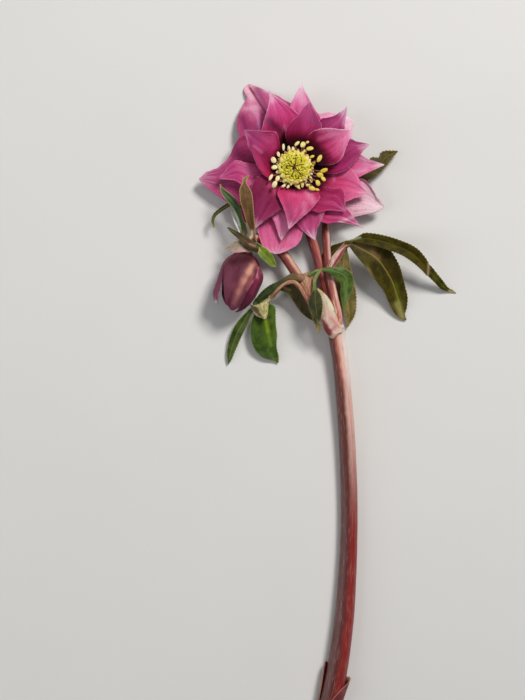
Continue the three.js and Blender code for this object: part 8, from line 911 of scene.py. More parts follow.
        'marks': [(-19.11, 41.54, -15.53, 39.16, 0.72, (140, 140, 70), 0.5), (-13.55, 43.13, -10.37, 39.95, 0.96, (60, 36, 26), 0.7), (-10.37, 37.57, -6.8, 32.81, 1.2, (76, 58, 32), 0.6), (-17.52, 42.33, -15.14, 41.54, 0.64, (206, 180, 140), 0.5)],
    },
    'left_bract_leaflet_5': {
        'foot': [[-8.06, 46.8, 11.3, 0.68], [-6.29, 48.24, 11.9, 0.68]],
        'dark': (54, 78, 22),
        'light': (88, 114, 42),
        'net': 0.2,
        'rib_colour': (130, 150, 90),
        'rib_show': 0.45,
        'rim': 0.6,
        'rim_colour': (150, 166, 96),
        'tips': 0.7,
        'teeth': 0.35,
        'pitch': 1.15,
        'back': (110, 130, 80),
        'sheen': 0.3,
        # marks: the first, pale bluish in the middle, is a painted sheen.
        'marks': [(-1.31, 43.86, 1.07, 39.5, 1.04, (150, 166, 140), 0.55), (6.41, 44.65, 7.6, 36.73, 1.04, (116, 140, 72), 0.65), (2.26, 37.53, 3.05, 35.15, 0.8, (60, 80, 30), 0.4), (-4.87, 49.2, -2.49, 48.61, 0.64, (176, 140, 96), 0.8), (-3.29, 47.82, -1.31, 45.44, 1.2, (96, 84, 48), 0.5)],
    },
    'left_bract_leaflet_6': {
        'foot': [[-2.15, 49.89, 12.2, 0.4], [-3.14, 49.17, 12.5, 0.52]],
        'bare': 0.62,
        'dark': (38, 38, 12),
        'light': (66, 66, 20),
        'net': 0.2,
        'rib_colour': (120, 120, 56),
        'rib_show': 0.4,
        'rim': 0.6,
        'rim_colour': (140, 146, 80),
        'tips': 0.8,
        'teeth': 0.38,
        'pitch': 1.15,
        'back': (90, 96, 44),
        'marks': [(-2.97, 49.29, -4.94, 47.32, 0.88, (132, 150, 84), 0.85), (-4.94, 47.32, -5.57, 44.95, 0.88, (140, 156, 90), 0.85), (-5.57, 44.95, -5.42, 41.8, 0.8, (130, 146, 80), 0.8)],
    },
    'left_bract_leaflet_7': {
        'foot': [[-7.07, 38.69, 11.3, 0.64], [-6.79, 37.3, 11.4, 0.64]],
        'dark': (110, 98, 62),
        'light': (160, 146, 104),
        'net': 0.2,
        'rim': 0.5,
        'rim_colour': (170, 160, 100),
        'teeth': 0.25,
        'back': (120, 110, 64),
        'marks': [],
    },
    'bud_bract_leaflet_1': {
        'foot': [[-30.28, 58.8, 12.7, 1.44], [-30.19, 59.81, 13.1, 1.68]],
        'dark': (96, 66, 32),
        'light': (124, 90, 50),
        'net': 0.08,
        'veins': 0.15,
        'bump': 0.15,
        'rib_colour': (140, 104, 60),
        'rib_show': 0.3,
        'rim': 0.7,
        'rim_width': 0.4,
        'rim_colour': (206, 170, 116),
        'tips': 0.7,
        'tip_colour': (214, 190, 140),
        'teeth': 0.24,
        'pitch': 1.1,
        'back': (120, 84, 50),
        # marks: the third and fourth, near white at the junction, are painted highlights.
        'marks': [(-33.32, 84.13, -31.55, 86.1, 0.88, (120, 150, 44), 0.9), (-30.18, 82.17, -29.39, 72.74, 0.96, (120, 80, 34), 0.4), (-29.98, 64.49, -30.18, 62.52, 0.68, (238, 220, 190), 0.85), (-30.76, 62.33, -30.96, 61.15, 0.6, (236, 214, 184), 0.8), (-29.0, 65.66, -28.41, 60.95, 0.52, (206, 128, 120), 0.7)],
    },
    'bud_bract_leaflet_2': {
        'foot': [[-32.97, 60.8, 12.1, 1.2], [-33.24, 61.82, 12.4, 1.32]],
        'dark': (44, 66, 34),
        'light': (68, 94, 50),
        'net': 0.22,
        'rib_colour': (110, 130, 80),
        'rib_show': 0.5,
        'rim': 0.75,
        'rim_width': 0.4,
        'rim_colour': (170, 176, 90),
        'tips': 0.7,
        'tip_colour': (190, 196, 130),
        'teeth': 0.26,
        'pitch': 1.1,
        'back': (80, 100, 60),
        'sheen': 0.25,
        'marks': [(-34.93, 63.11, -32.17, 65.08, 1.6, (120, 84, 72), 0.7), (-42.82, 84.02, -40.45, 78.5, 1.2, (60, 96, 60), 0.4)],
    },
    'bud_bract_leaflet_3': {
        'foot': [[-34.53, 73.37, 13.4, 0.72], [-35.53, 74.44, 12.0, 0.96]],
        'dark': (40, 38, 12),
        'light': (62, 58, 22),
        'net': 0.2,
        'rim': 0.6,
        'rim_colour': (150, 156, 60),
        'teeth': 0.2,
        'back': (90, 92, 40),
        'marks': [(-46.09, 66.93, -44.5, 65.74, 1.0, (176, 176, 70), 0.8)],
    },
    'bud_bract_leaflet_4': {
        'foot': [[-34.15, 63.17, 12.2, 0.96], [-34.54, 64.35, 12.3, 1.04]],
        'dark': (206, 208, 200),
        'light': (246, 246, 240),
        'net': 0.15,
        'rim': 0.7,
        'rim_colour': (236, 236, 228),
        'teeth': 0.2,
        'back': (170, 170, 156),
        'rib_show': 0.2,
        'marks': [],
    },
    'bud_bract_leaflet_5': {
        'foot': [[-27.51, 58.02, 14.5, 1.44]],
        'dark': (48, 38, 18),
        'light': (74, 58, 28),
        'net': 0.06,
        'veins': 0.12,
        'bump': 0.15,
        'rib_show': 0.25,
        'rim': 0.5,
        'rim_colour': (140, 120, 76),
        'teeth': 0.18,
        'bare': 0.35,
        'back': (90, 76, 40),
        'marks': [(-39.66, 65.84, -37.29, 64.26, 0.96, (78, 88, 34), 0.6), (-32.56, 61.11, -30.19, 58.74, 1.2, (110, 60, 40), 0.6), (-30.98, 59.53, -29.01, 58.74, 0.52, (206, 170, 130), 0.5), (-35.71, 61.9, -33.74, 59.93, 0.64, (120, 100, 60), 0.5)],
    },
    'bud_bract_leaflet_6': {
        'dark': (140, 124, 104),
        'light': (176, 162, 140),
        'net': 0.05,
        'veins': 0.12,
        'bump': 0.15,
        'rim': 0.6,
        'rim_colour': (210, 198, 172),
        'teeth': 0.15,
        'bare': 0.5,
        'back': (150, 136, 110),
        'rib_show': 0.2,
        'marks': [(-38.49, 56.64, -33.36, 57.03, 1.12, (216, 160, 164), 0.85), (-36.52, 60.39, -33.36, 59.6, 0.8, (120, 104, 84), 0.5), (-32.57, 58.41, -29.41, 57.62, 1.4, (76, 52, 28), 0.9), (-34.94, 59.99, -32.57, 58.81, 1.0, (98, 76, 46), 0.6)],
    },
    'bud_bract_leaflet_7': {
        'foot': [[-30.2, 60.76, 13.0, 0.6], [-29.25, 60.04, 13.4, 0.6]],
        'dark': (80, 106, 10),
        'light': (122, 142, 22),
        'net': 0.08,
        'rib_colour': (160, 170, 70),
        'rib_show': 0.3,
        'rim': 0.6,
        'rim_colour': (196, 196, 110),
        'tips': 0.7,
        'tip_colour': (220, 216, 150),
        'teeth': 0.36,
        'pitch': 1.2,
        'back': (140, 146, 60),
        'marks': [(-28.61, 58.74, -27.82, 57.17, 1.2, (214, 180, 120), 0.6)],
    },
}
BRACTS = {
    'right_bract': {'blades': ['right_bract_sheath', 'right_bract_leaflet_1', 'right_bract_leaflet_1_tip', 'right_bract_leaflet_2', 'right_bract_leaflet_3', 'right_bract_leaflet_4'], 'stalks': [], 'slot': 'bracts'},
    'left_bract': {'blades': ['left_bract_sheath', 'left_bract_leaflet_1', 'left_bract_leaflet_2', 'left_bract_leaflet_3', 'left_bract_fold', 'left_bract_leaflet_4', 'left_bract_leaflet_5', 'left_bract_leaflet_6', 'left_bract_leaflet_7'], 'stalks': [([[-6.87, 35.92, 11.4, 0.76], [-7.55, 36.7, 11.75, 0.8], [-9.65, 39.86, 12.0, 0.76], [-11.82, 43.22, 12.1, 0.84], [-14.0, 44.68, 12.15, 0.84], [-16.76, 44.01, 11.95, 0.76], [-19.52, 42.06, 11.1, 0.72], [-21.49, 39.99, 9.7, 0.68], [-22.68, 38.74, 8.9, 0.52]], 'left_bract_sheath')], 'slot': 'bracts'},
    'bud_bract_upper': {'blades': ['bud_bract_leaflet_1', 'bud_bract_leaflet_2', 'bud_bract_leaflet_4', 'bud_bract_leaflet_3'], 'stalks': [], 'slot': 'bracts'},
    'bud_bract_left': {'blades': ['bud_bract_leaflet_5', 'bud_bract_leaflet_6'], 'stalks': [], 'slot': 'bracts'},
    'bud_bract_right': {'blades': ['bud_bract_leaflet_7'], 'stalks': [], 'slot': 'bracts'},
    'lower_bract': {'blades': ['lower_bract_sheath'], 'stalks': [], 'slot': 'pale_bract'},
    'back_bract': {'blades': ['back_bract'], 'stalks': [], 'slot': 'bracts'},
}
SHEATH = {'dark': (120, 34, 44), 'light': (156, 62, 64), 'lines': 1.2, 'rim_colour': (186, 158, 126), 'rim': 0.8, 'rim_width': 0.55, 'ridge': 0.08, 'ruffle': 0.3, 'thread': 0.35, 'thread_colour': (84, 22, 32), 'stain': 0.4, 'stain_colour': (96, 26, 38), 'marks': [(0.81, -117.58, 6.78, -117.58, 1.6, (206, 120, 112), 0.4), (8.37, -112.8, 9.17, -115.19, 1.0, (226, 196, 150), 0.7)]}
# Stem colours. Three stand for light: a pale pink painted on the lit +X side, a near-white painted highlight close to
# the node and a greyish painted reflection along the -X side.
STEM = {'dark': (110, 36, 34), 'light': (150, 66, 56), 'stripes': 0.3, 'dots': 0.4, 'dot_colour': (214, 124, 96), 'wine': (72, 17, 15), 'brown': (100, 44, 32), 'red': (144, 40, 37), 'coral': (208, 98, 68), 'painted_light_pink': (250, 208, 194), 'painted_highlight_white': (255, 244, 238), 'painted_reflection_grey': (98, 64, 61), 'mauve': (160, 84, 94), 'ring': (244, 226, 212), 'ring_y': 24.2, 'marks': [(1.5, 47.06, 1.9, 45.48, 0.72, (240, 220, 200), 0.9), (0.71, 30.41, 2.29, 25.66, 1.2, (238, 180, 140), 0.5)]}
LAMPS = [('key', (0.42, 0.7, 0.95), (0.0, 0.03, 0.0), (0.32, 0.32), 12.0, (1.0, 0.985, 0.96)), ('side', (-0.85, -0.05, 0.55), (0.0, 0.0, 0.0), (0.25, 1.3), 3.2, (0.95, 0.97, 1.0)), ('top', (0.1, 0.1, 1.6), (0.0, 0.0, 0.0), (0.9, 0.9), 2.0, (1.0, 1.0, 1.0))]
WORLD = (0.92, 0.94, 1.0, 0.1)
FLOOR_A, FLOOR_B = (226, 224, 221), (232, 230, 227)

MM = 0.001


def colour(r, g, b):
    """Linear colour from 0-255 display numbers."""
    c = np.array([r, g, b], float) / 255
    return tuple(np.where(c <= 0.04045, c / 12.92, ((c + 0.055) / 1.055) ** 2.4))


def smooth(x, a=0.0, b=1.0):
    t = np.clip((np.asarray(x, float) - a) / (b - a), 0, 1)
    return t * t * (3 - 2 * t)


def wobble(seed, n=5, low=0.5, high=2.0):
    """A smooth random function of one number, the same each run."""
    r = np.random.default_rng(seed)
    k, p, a = r.uniform(low, high, n), r.uniform(0, 2 * np.pi, n), r.uniform(0.4, 1.0, n)
    a /= np.sqrt((a**2).sum() / 2)
    return lambda x: sum(ai * np.cos(2 * np.pi * ki * np.asarray(x, float) + pi) for ai, ki, pi in zip(a, k, p)) / 2


# ---- curves and grids -----------------------------------------------------------------


def curve(points, at, per=14):
    """Points at the shares `at` of the length of a smooth curve through the given points."""
    p = np.asarray(points, float)
    d = np.maximum(np.linalg.norm(np.diff(p[:, :2], axis=0), axis=1), 1e-6)
    if p.shape[1] > 2:
        d = np.maximum(np.linalg.norm(np.diff(p[:, :3], axis=0), axis=1), 1e-6)
    s = np.diff(p, axis=0) / d[:, None]
    m = np.empty_like(p)
    m[0], m[-1] = s[0], s[-1]
    m[1:-1] = (s[:-1] * d[1:, None] + s[1:] * d[:-1, None]) / (d[:-1] + d[1:])[:, None]
    f = np.linspace(0, 1, per, endpoint=False)[:, None]
    out = []
    for i in range(len(p) - 1):
        h = d[i]
        out.append(
            (2 * f**3 - 3 * f**2 + 1) * p[i]
            + (f**3 - 2 * f**2 + f) * h * m[i]
            + (3 * f**2 - 2 * f**3) * p[i + 1]
            + (f**3 - f**2) * h * m[i + 1]
        )
    q = np.vstack(out + [p[-1:]])
    w = 3 if p.shape[1] > 2 else 2
    L = np.r_[0, np.cumsum(np.linalg.norm(np.diff(q[:, :w], axis=0), axis=1))]
    return np.stack([np.interp(np.asarray(at) * L[-1], L, q[:, k]) for k in range(q.shape[1])], 1), L[-1]


def rows_at(g, t):
    """Smooth interpolation of the rows of g at positions t, in rows."""
    g = np.asarray(g, float)
    n = len(g)
    i = np.clip(np.floor(t).astype(int), 0, n - 2)
    f = (np.asarray(t) - i).reshape((-1,) + (1,) * (g.ndim - 1))
    m = np.gradient(g, axis=0)
    return (
        (2 * f**3 - 3 * f**2 + 1) * g[i]
        + (f**3 - 2 * f**2 + f) * m[i]
        + (3 * f**2 - 2 * f**3) * g[i + 1]
        + (f**3 - f**2) * m[i + 1]
    )


def normals(g):
    n = np.cross(np.gradient(g, axis=0), np.gradient(g, axis=1))
    n /= np.linalg.norm(n, axis=2)[..., None] + 1e-12
    if n.shape[0] > 3:
        n[-1] = n[-2]
    return n


def spread(n, ends=0.5):
    """n numbers from 0 to 1, closer at both ends."""
    t = np.linspace(0, 1, n)
    return (1 - ends) * t + ends * (0.5 - 0.5 * np.cos(np.pi * t))


# ---- meshes ---------------------------------------------------------------------------

FLOATS = ("along", "across", "edge", "tooth", "side", "tinted", "tone")
VECTORS = ("coord", "fan", "tint")


class Body:
    """Collects the surfaces of one piece."""

    def __init__(self):
        self.v, self.f, self.m, self.at = [], [], [], {k: [] for k in FLOATS + VECTORS}
        self.n = 0

    def add(self, verts, faces, slot, **at):
        k = len(verts)
        self.v.append(np.asarray(verts, float))
        for size, block in faces.items():
            self.f.append((size, np.asarray(block, int).reshape(-1, size) + self.n, slot))
        for name in FLOATS:
            self.at[name].append(np.broadcast_to(np.asarray(at.get(name, 0.0), float), (k,)))
        for name in VECTORS:
            self.at[name].append(np.broadcast_to(np.asarray(at.get(name, (0.0, 0.0, 0.0)), float), (k, 3)))
        self.n += k

    def build(self, name, materials, nodes, slot):
        v = np.vstack(self.v)
        v[:, 2] = np.maximum(v[:, 2], 0.0)
        loops, starts, sizes, slots = [], [], [], []
        at = 0
        for size, block, m in self.f:
            loops.append(block.ravel())
            starts.append(at + size * np.arange(len(block)))
            sizes.append(np.full(len(block), size))
            slots.append(np.full(len(block), m))
            at += block.size
        me = bpy.data.meshes.new(name)
        me.vertices.add(len(v))
        me.vertices.foreach_set("co", (v * MM).astype(np.float32).ravel())
        me.loops.add(at)
        me.loops.foreach_set("vertex_index", np.concatenate(loops).astype(np.int32))
        me.polygons.add(sum(map(len, starts)))
        me.polygons.foreach_set("loop_start", np.concatenate(starts).astype(np.int32))
        me.polygons.foreach_set("loop_total", np.concatenate(sizes).astype(np.int32))
        me.polygons.foreach_set("material_index", np.concatenate(slots).astype(np.int32))
        me.polygons.foreach_set("use_smooth", np.ones(len(np.concatenate(starts)), bool))
        me.update(calc_edges=True)
        for k in FLOATS:
            me.attributes.new(k, "FLOAT", "POINT").data.foreach_set("value", np.concatenate(self.at[k]).astype(np.float32))
        for k in VECTORS:
            me.attributes.new(k, "FLOAT_VECTOR", "POINT").data.foreach_set(
                "vector", np.vstack(self.at[k]).astype(np.float32).ravel()
            )
        for m in materials:
            me.materials.append(m)
        me.validate()
        ob = bpy.data.objects.new(name, me)
        bpy.context.scene.collection.objects.link(ob)
        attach(ob, "root")
        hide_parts(*nodes)
        return ob


def tints(points, marks):
    """How far, and towards which colour, each point is tinted: every mark is a soft-edged bar from
    one plan point to another, with a radius, a display colour and a strength. Marks hold the tissue's own
    colours and also painted shadows and highlights."""
    xy = points[:, :2]
    total, mixed = np.zeros(len(xy)), np.zeros((len(xy), 3))
    for x1, y1, x2, y2, radius, rgb, strength in marks:
        a, d = np.array([x1, y1]), np.array([x2 - x1, y2 - y1])
        t = np.clip((xy - a) @ d / max(d @ d, 1e-9), 0, 1)
        r = np.linalg.norm(xy - a - t[:, None] * d, axis=1) / radius
        w = strength * np.exp(-(r**2) * 1.6)
        mixed += w[:, None] * np.array(colour(*rgb))
        total += w
    return np.clip(total, 0, 1), mixed / np.maximum(total, 1e-6)[:, None]


def sheet(body, g, slot, u, v, width, length, thick, seed, marks=(), teeth=None, edge=None, closed=False, tone=0.0):
    """A thin closed leaf round the grid of points g, rounded off to nothing at its rims."""
    nu, nv = g.shape[:2]
    n = normals(g)
    if n[nu // 3 : -nu // 4, nv // 4 : -nv // 4, 2].mean() < 0 and not closed:
        n = -n
        turned = True
    else:
        turned = False
    across = np.minimum(v, 1 - v)[None, :] * width[:, None] if edge is None else edge
    ends = np.minimum(np.minimum(u - u[0], u[-1] - u) * length, 9.0)[:, None]
    rim = np.minimum(across, ends)
    half = thick / 2 * np.sqrt(np.clip(rim / 0.35, 0, 1))
    inner = np.ones((nu, nv), bool)
    inner[0], inner[-1], inner[:, 0], inner[:, -1] = False, False, False, False
    top = np.arange(nu * nv).reshape(nu, nv)
    low = top.copy()
    low[inner] = nu * nv + np.arange(inner.sum())
    pts = np.vstack([(g + n * half[..., None]).reshape(-1, 3), (g - n * half[..., None])[inner]])

    def both(a):
        a = np.broadcast_to(a, (nu, nv))
        return np.concatenate([a.reshape(-1), a[inner]])

    def quads(ids, flip):
        q = np.stack([ids[:-1, :-1], ids[1:, :-1], ids[1:, 1:], ids[:-1, 1:]], -1).reshape(-1, 4)
        return q[:, ::-1] if flip else q

    faces = np.vstack([quads(top, turned), quads(low, not turned)])
    where, shade = tints(pts, marks) if len(marks) else (0.0, (0.0, 0.0, 0.0))
    lateral = (v - 0.5)[None, :] * width[:, None]
    along = np.broadcast_to(u[:, None] * length, (nu, nv))
    side = np.concatenate([np.ones(nu * nv), -np.ones(inner.sum())])
    shift = 40.0 * seed
    coord = np.stack([both(along), both(lateral), side * 1.5 + shift], 1)
    fan = np.stack([both(v[None, :] * width.max()), both(along * 0.07), side * 1.5 + shift], 1)
    body.add(
        pts,
        {4: faces},
        slot,
        along=both(np.clip(u, 0, 1)[:, None]),
        across=both(v[None, :]),
        edge=both(rim),
        tooth=0.0 if teeth is None else both(teeth),
        side=side,
        tint=shade,
        tinted=where,
        tone=tone(pts) if callable(tone) else tone,
        coord=coord,
        fan=fan,
    )


def blade_points(b, u, v):
    """The middle surface of a blade at the shares u along it and v across it."""
    a, la = curve(b["a"], np.clip(u, 0, 1))
    c, lc = curve(b["b"], np.clip(u, 0, 1))
    p = a[:, None] * (1 - v)[None, :, None] + c[:, None] * v[None, :, None]
    if b.get("m"):
        m, _ = curve(b["m"], np.clip(u, 0, 1))
        p = p + (m - (a + c) / 2)[:, None] * (4 * v * (1 - v))[None, :, None]
    z = np.asarray(b["z"], float)
    h = rows_at(z, np.clip(u, 0, 1) * (len(z) - 1))
    h = rows_at(h.T, v * (z.shape[1] - 1)).T
    g = np.dstack([p, h])
    return g, np.linalg.norm(c - a, axis=1), (la + lc) / 2


def petal(body, slot, b, q, seed, nu=92, nv=46):
    """One tepal or petal: a blade with soft pleats, a ruffled rim and a claw that runs into the receptacle."""
    u, v = spread(nu, 0.35), spread(nv, 0.45)
    g, width, length = blade_points(b, u, v)
    n = normals(g)
    n *= np.where(n[..., 2:].mean() < 0, -1, 1)
    U, V = np.meshgrid(u, v, indexing="ij")
    edge = np.minimum(V, 1 - V) * width[:, None]
    pleat = wobble(seed, 4, 1.2, 3.6)(V + 0.06 * U) * q.get("pleat", 0.13) * smooth(U, 0.1, 0.5) * (1 - 0.6 * smooth(U, 0.8, 1))
    ridge = wobble(seed + 1, 4, 5.0, 10.0)(V + 0.03 * U) * 0.035 * smooth(U, 0.05, 0.3) * (1 - smooth(U, 0.85, 1))
    ruffle = (
        np.where(V < 0.5, wobble(seed + 2, 4, 1.2, 4.0)(U), wobble(seed + 3, 4, 1.2, 4.0)(U))
        * q.get("ruffle", 0.18)
        * np.exp(-edge / 1.3)
        * smooth(U, 0.2, 0.5)
        * (1 - smooth(U, 0.88, 1))
    )
    keel = -q.get("keel", 0.18) * np.exp(-(((V - 0.5) * width[:, None] / 0.9) ** 2)) * smooth(U, 0.25, 0.6) * (1 - smooth(U, 0.9, 1))
    move = pleat + ridge + ruffle + keel
    for x1, y1, x2, y2, radius, lift in q.get("relief", ()):
        a, d = np.array([x1, y1]), np.array([x2 - x1, y2 - y1])
        t = np.clip(((g[..., :2] - a) @ d) / max(d @ d, 1e-9), 0, 1)
        r = np.linalg.norm(g[..., :2] - a - t[..., None] * d, axis=2) / radius
        move = move + lift * np.exp(-(r**2) * 1.6)
    if "roll" in q:  # a margin that turns up and back over the face
        edge_side, u0, u1, up, back = q["roll"]
        e = (V if edge_side == "a" else 1 - V) * width[:, None]
        w = np.exp(-((e / 0.9) ** 2)) * smooth(U, u0, u0 + 0.12) * (1 - smooth(U, u1 - 0.08, u1))
        move = move + up * w
        inward = (g[:, -1] - g[:, 0]) if edge_side == "a" else (g[:, 0] - g[:, -1])
        inward = inward / (np.linalg.norm(inward, axis=1)[:, None] + 1e-9)
        g = g + inward[:, None] * (back * w)[..., None]
    g = g + n * move[..., None]
    # fine notches along the rim
    bite = q.get("nick", 0.07) * wobble(seed + 4, 6, 6.0, 16.0)(U + 0.3 * (V > 0.5)) * np.exp(-edge / 0.35) * smooth(U, 0.25, 0.4) * (1 - smooth(U, 0.9, 0.98))
    out = g[:, -1] - g[:, 0]
    out = out / (np.linalg.norm(out, axis=1)[:, None] + 1e-9)
    g = g + out[:, None] * (np.where(V < 0.5, -1, 1) * bite)[..., None]
    # the claw
    foot = g[0].mean(0)
    axis = np.array([RING[0], RING[1]])
    d = foot[:2] - axis
    reach = np.linalg.norm(d)
    goal = np.array([*(axis + d / reach * 2.9), min(max(foot[2] + 0.15, 9.2), 12.9)])
    steps = np.linspace(1, 0, 9)[:-1]
    claw = []
    for s in steps:
        e = s * s * (3 - 2 * s)
        centre = foot * (1 - s) + goal * s
        claw.append(centre + (g[0] - foot) * (1 - 0.62 * e) * np.array([1, 1, 1 - 0.5 * e]))
    g = np.concatenate([np.array(claw), g])
    back = -steps * np.linalg.norm(goal - foot) / length
    # tone: nearness to the flower's centre, which sets the dark throat, partly painted shade
    sheet(
        body, g, slot, np.concatenate([back, u]), v, np.concatenate([width[0] * (1 - 0.5 * steps), width]), length,
        q.get("thick", 0.3), seed, q.get("marks", ()),
        tone=lambda p: smooth(np.hypot(p[:, 0] - RING[0], p[:, 1] - RING[1]), *q.get("throat", (16.5, 8.5))),
    )


def leaf(body, slot, b, q, seed, nu=None, nv=27, vein_at=0.5):
    """One leaflet: sawn edges, a sunk midrib and raised blade between the side veins."""
    g0, w0, length = blade_points(b, np.linspace(0, 1, 30), np.array([0.0, 1.0]))
    pitch = q.get("pitch", 1.25)
    nu = nu or int(min(300, max(50, round(length / pitch * 7))))
    u, v = np.linspace(0, 1, nu), spread(nv, 0.5)
    g, width, length = blade_points(b, u, v)
    n = normals(g)
    n *= np.where(n[..., 2:].mean() < 0, -1, 1)
    U, V = np.meshgrid(u, v, indexing="ij")
    edge = np.minimum(V, 1 - V) * width[:, None]
    w = (V - vein_at) * width[:, None]
    s = U * length
    rib = q.get("rib", 0.16) * np.exp(-((w / 0.42) ** 2)) * smooth(U, 0, 0.06) * (1 - 0.7 * smooth(U, 0.7, 1))
    fold = q.get("fold", 0.0) * np.abs(w)
    gap = q.get("gap", 3.0)
    side = 0.5 + 0.5 * np.cos(2 * np.pi * (s - 1.25 * np.abs(w)) / gap)
    quilt = q.get("quilt", 0.045) * (0.5 - side**3) * smooth(np.abs(w), 0.2, 0.9) * smooth(edge, 0.1, 0.9)
    wave = wobble(seed, 4, 0.8, 2.6)(U + 0.2 * (V > 0.5)) * q.get("wave", 0.22) * smooth(np.abs(w), 0.3, 2.5) * smooth(U, 0.0, 0.12)
    g = g + n * (quilt * smooth(U, 0.0, 0.1) - rib + wave + fold)[..., None]
    # teeth, leaning towards the tip
    size = q.get("teeth", 0.42)
    teeth = np.zeros_like(U)
    if size:
        out = g[:, -1] - g[:, 0]
        out = out / (np.linalg.norm(out, axis=1)[:, None] + 1e-9)
        ahead = np.gradient(g.mean(1), axis=0)
        ahead = ahead / (np.linalg.norm(ahead, axis=1)[:, None] + 1e-9)
        for sign, half in ((-1, V < 0.5), (1, V >= 0.5)):
            line = wobble(seed + 5 + sign, 3, 0.6, 1.7)
            x = s / pitch + 0.35 * line(U) + 0.4 * sign
            x = x - np.floor(x)
            saw = np.where(x < 0.72, x / 0.72, (1 - x) / 0.28)
            near = np.clip(1 - edge / 0.85, 0, 1) ** 2
            grow = smooth(U, 0.03, q.get("bare", 0.16)) * (1 - smooth(U, 0.94, 1.0)) * np.clip(width[:, None] / 3.0, 0.25, 1)
            k = np.where(half, (saw - 0.45) * near * grow, 0)
            g = g + out[:, None] * (sign * size * k)[..., None] + ahead[:, None] * (0.45 * size * np.maximum(k, 0))[..., None]
            teeth = np.where(half, saw * near * grow, teeth)
    if "foot" in q:  # the leaflet runs on behind its base, down into its parent
        path = np.asarray(q["foot"], float)
        mid0, across0 = g[0].mean(0), g[0, -1] - g[0, 0]
        w0 = np.linalg.norm(across0)
        line = np.vstack([path, [[*mid0, w0 / 2]]])
        m = max(8, int(np.linalg.norm(np.diff(line[:, :3], axis=0), axis=1).sum() / 0.35))
        p, reach = curve(line, np.linspace(0, 1, m + 1)[:-1])
        ahead = np.gradient(np.vstack([p[:, :3], mid0[None]]), axis=0)[:-1, :2]
        ahead /= np.linalg.norm(ahead, axis=1)[:, None] + 1e-9
        flat = np.stack([ahead[:, 1], -ahead[:, 0], np.zeros(m)], 1)
        if flat[-1] @ across0 < 0:
            flat = -flat
        f = np.linspace(0, 1, m + 1)[:-1]
        way = flat * (1 - f[:, None] ** 2) + (across0 / w0)[None] * f[:, None] ** 2
        way /= np.linalg.norm(way, axis=1)[:, None]
        arch = (0.5 - 2 * (v - 0.5) ** 2) * 0.9
        bulge = (g[0] - (g[0, 0] + v[:, None] * across0)) * 1.0
        rows = []
        for k in range(m):
            row = p[k, :3] + (v - 0.5)[:, None] * (2 * p[k, 3]) * way[k]
            row = row + bulge * f[k] + np.array([0, 0, 1.0]) * (arch * p[k, 3] * (1 - f[k]))[:, None]
            rows.append(row)
        g = np.concatenate([np.array(rows), g])
        back = -(1 - f) * reach / length
        u = np.concatenate([back, u])
        width = np.concatenate([2 * p[:, 3], width])
        teeth = np.concatenate([np.zeros((m, nv)), teeth])
    sheet(body, g, slot, u, v, width, length, q.get("thick", 0.32), seed, q.get("marks", ()), teeth)


def wrap(body, slot, rows, q, seed, nu=70, nv=34, closed=False):
    """A piece that wraps round an axis."""
    r = np.asarray(rows, float)
    u, v = spread(nu, 0.4), spread(nv, 0.4)
    g = rows_at(r, u * (r.shape[0] - 1))
    g = rows_at(g.transpose(1, 0, 2), v * (r.shape[1] - 1)).transpose(1, 0, 2)
    width = np.linalg.norm(np.diff(g, axis=1), axis=2).sum(1)
    length = float(np.linalg.norm(np.diff(g[:, nv // 2], axis=0), axis=1).sum())
    n = normals(g)
    mid = g.mean((0, 1))
    outward = ((g - g.mean(1, keepdims=True)) * n).sum(2).mean()
    if outward < 0:
        n = -n
    U, V = np.meshgrid(u, v, indexing="ij")
    edge = np.minimum(V, 1 - V) * width[:, None]
    ridge = wobble(seed, 5, 3.0, 8.0)(V + 0.05 * U) * q.get("ridge", 0.06) * smooth(U, 0.02, 0.2)
    ruffle = wobble(seed + 2, 4, 1.0, 3.0)(U) * q.get("ruffle", 0.12) * np.exp(-edge / 1.2) * smooth(U, 0.2, 0.5)
    g = g + n * (ridge + ruffle)[..., None]
    # the sheet() normal must face away from the axis
    m = normals(g)
    if (m * n).sum(2).mean() < 0:
        g, v = g[:, ::-1], 1 - v[::-1]
    sheet(body, g, slot, u, v, width, length, q.get("thick", 0.4), seed, q.get("marks", ()), closed=True)


